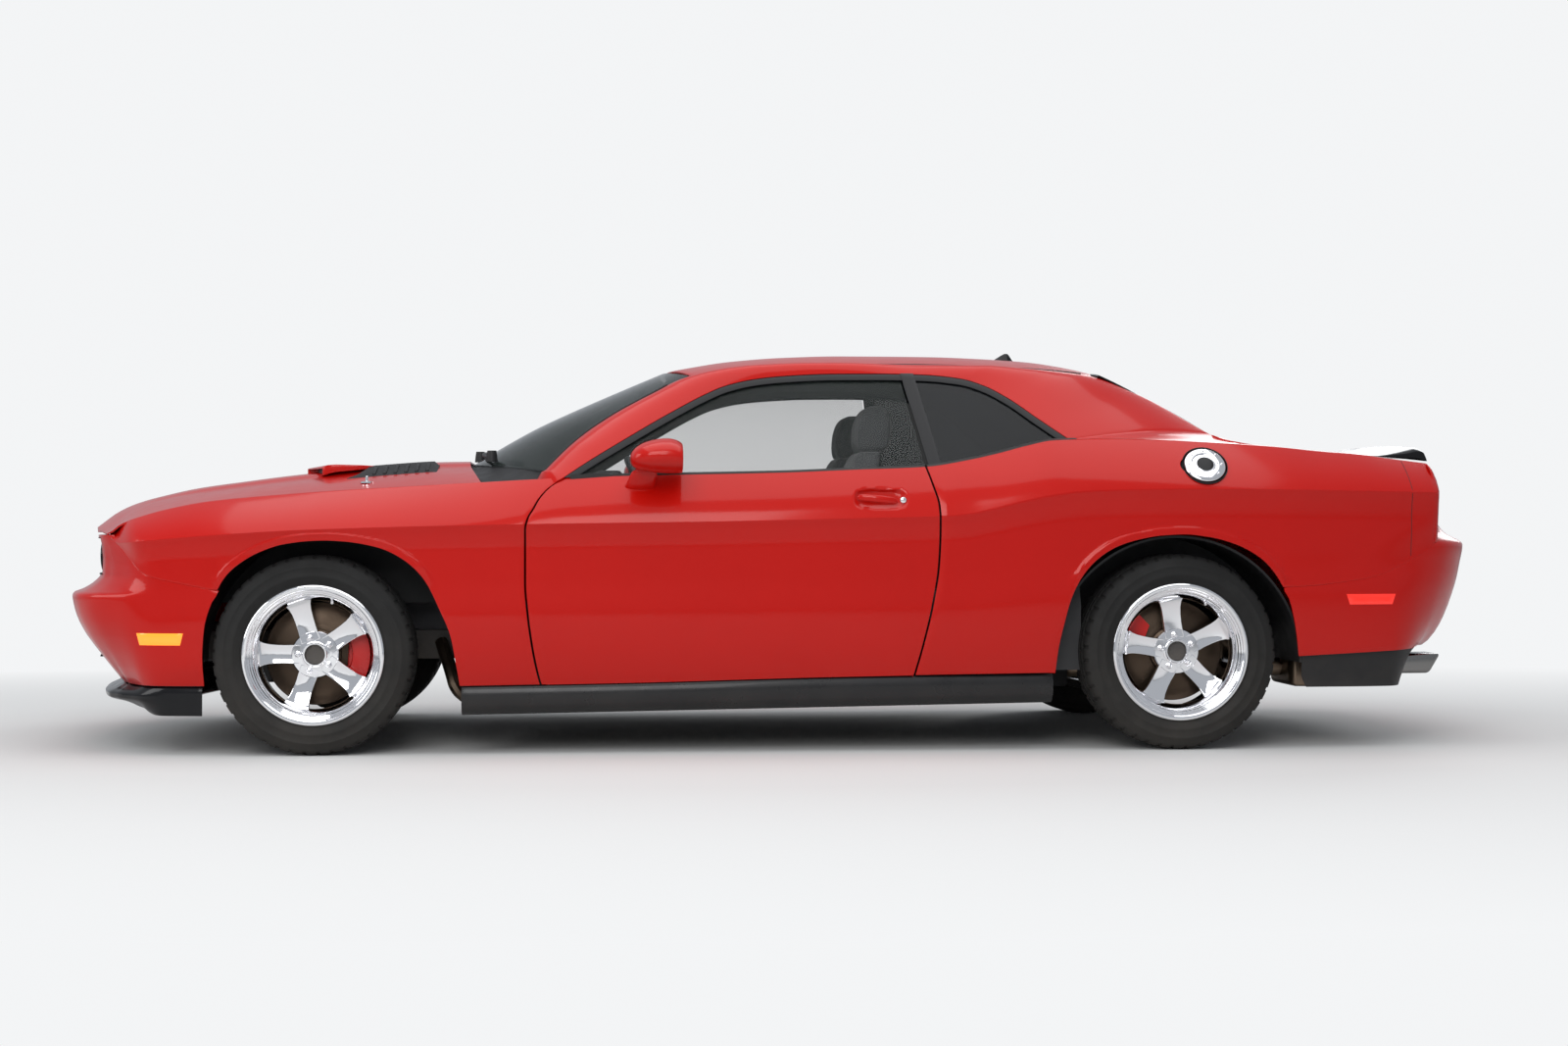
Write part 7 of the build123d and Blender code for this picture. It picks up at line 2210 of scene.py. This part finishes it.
class COUPE_OT_stage(bpy.types.Operator):
    """Floor, lamps, world and camera"""
    bl_idname = "coupe.stage"
    bl_label = "Stage"

    def execute(self, context):
        clear_selection()
        bpy.ops.mesh.primitive_plane_add(size=60, location=(0, 0, 0))
        floor = context.object
        floor.name = "floor"
        mat = bpy.data.materials.new("pale_floor")
        mat.use_nodes = True
        n, l = mat.node_tree.nodes, mat.node_tree.links
        shader = n["Principled BSDF"]
        shader.inputs["Base Color"].default_value = (*context.scene.coupe_colours.floor, 1)
        shader.inputs["Roughness"].default_value = 0.85
        place = n.new("ShaderNodeTexCoord").outputs["Object"]
        oval = n.new("ShaderNodeVectorMath")
        oval.operation = "MULTIPLY"
        oval.inputs[1].default_value = (0.6, 1, 1)
        gap = n.new("ShaderNodeVectorMath")
        gap.operation = "LENGTH"
        l.new(place, oval.inputs[0])
        l.new(oval.outputs[0], gap.inputs[0])
        bright = n.new("ShaderNodeEmission")
        bright.inputs["Color"].default_value = (0.90, 0.91, 0.92, 1)
        seen = n.new("ShaderNodeLightPath")
        far = ranged(n, l, gap.outputs["Value"], 2.0, 4.6, 0, 1)
        mix = n.new("ShaderNodeMixShader")
        l.new(math_node(n, l, "MULTIPLY", far, seen.outputs["Is Camera Ray"]), mix.inputs[0])
        l.new(shader.outputs[0], mix.inputs[1])
        l.new(bright.outputs[0], mix.inputs[2])
        l.new(mix.outputs[0], n["Material Output"].inputs["Surface"])
        floor.data.materials.append(mat)
        world = bpy.data.worlds.new("studio")
        context.scene.world = world
        world.use_nodes = True
        n, l = world.node_tree.nodes, world.node_tree.links
        ground = n["Background"]
        ground.inputs["Color"].default_value = (0.80, 0.84, 0.90, 1)
        ground.inputs["Strength"].default_value = 0.55
        white = n.new("ShaderNodeBackground")
        white.inputs["Color"].default_value = (0.90, 0.91, 0.92, 1)
        white.inputs["Strength"].default_value = 1.0
        seen = n.new("ShaderNodeLightPath")
        mix = n.new("ShaderNodeMixShader")
        shows = math_node(n, l, "MAXIMUM", seen.outputs["Is Camera Ray"],
                          seen.outputs["Is Transmission Ray"])
        l.new(shows, mix.inputs[0])
        l.new(ground.outputs[0], mix.inputs[1])
        l.new(white.outputs[0], mix.inputs[2])
        l.new(mix.outputs[0], n["World Output"].inputs["Surface"])
        lamps = [("overhead", (0, -1.0, 6.0), (0, 0, 0.4), 7.0, 260.0),
                 ("side_soft", (-2.0, -8.5, 4.6), (0, 0, 0.7), 5.0, 360.0),
                 ("rear_soft", (5.0, 6.5, 4.0), (0, 0, 0.7), 4.0, 160.0),
                 ("nose_soft", (-8.0, -2.5, 3.5), (0, 0, 0.6), 4.0, 160.0)]
        for name, place, aim, size, power in lamps:
            bpy.ops.object.light_add(type="AREA", location=place)
            lamp = context.object
            lamp.name = name
            lamp.data.size = size
            lamp.data.energy = power
            lamp.rotation_euler = (Vector(aim) - Vector(place)).to_track_quat("-Z", "Y").to_euler()
        bpy.ops.object.camera_add(location=(FRONT_X + 0.952, -8.94, 0.757))
        camera = context.object
        camera.data.sensor_width = 36.0
        camera.data.lens = 2423 / 1600 * 36
        yaw, rise = math.radians(4.46), 0.0027
        aim = Vector((math.sin(yaw), math.cos(yaw), rise))
        camera.rotation_mode = "QUATERNION"
        camera.rotation_quaternion = aim.to_track_quat("-Z", "Y")
        camera.data.clip_end = 200
        context.scene.camera = camera
        context.scene.view_settings.view_transform = "Standard"
        return {"FINISHED"}


class COUPE_PT_panel(bpy.types.Panel):
    """Lists the steps of the coupe in order"""
    bl_idname = "COUPE_PT_panel"
    bl_label = "Coupe"
    bl_space_type = "VIEW_3D"
    bl_region_type = "UI"
    bl_category = "Coupe"

    def draw(self, context):
        for group in (context.scene.coupe_colours, context.scene.coupe_sizes):
            for key in group.bl_rna.properties.keys():
                if key not in ("rna_type", "name"):
                    self.layout.prop(group, key)
        for step in STEPS:
            self.layout.operator(step.bl_idname)


STEPS = [COUPE_OT_finishes, COUPE_OT_fenders, COUPE_OT_bumpers, COUPE_OT_doors, COUPE_OT_lids,
         COUPE_OT_roof, COUPE_OT_glass, COUPE_OT_tyres, COUPE_OT_wheels, COUPE_OT_brakes, COUPE_OT_deck,
         COUPE_OT_window_trims, COUPE_OT_sills, COUPE_OT_exhaust, COUPE_OT_front_lamps, COUPE_OT_markers,
         COUPE_OT_fuel_door, COUPE_OT_door_fittings, COUPE_OT_spoiler, COUPE_OT_hood_details,
         COUPE_OT_seats, COUPE_OT_cabin, COUPE_OT_stage]
CLASSES = [CoupeColours, CoupeSizes, *STEPS, COUPE_PT_panel]


def register():
    """Adds the classes and their settings."""
    for cls in CLASSES:
        bpy.utils.register_class(cls)
    bpy.types.Scene.coupe_colours = bpy.props.PointerProperty(type=CoupeColours)
    bpy.types.Scene.coupe_sizes = bpy.props.PointerProperty(type=CoupeSizes)


def unregister():
    """Removes them again."""
    del bpy.types.Scene.coupe_colours
    del bpy.types.Scene.coupe_sizes
    for cls in reversed(CLASSES):
        bpy.utils.unregister_class(cls)


def main():
    """Builds the whole car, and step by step."""
    register()
    for step in STEPS:
        group, name = step.bl_idname.split(".")
        getattr(getattr(bpy.ops, group), name)()
    clear_selection()


if __name__ == "__main__":
    main()
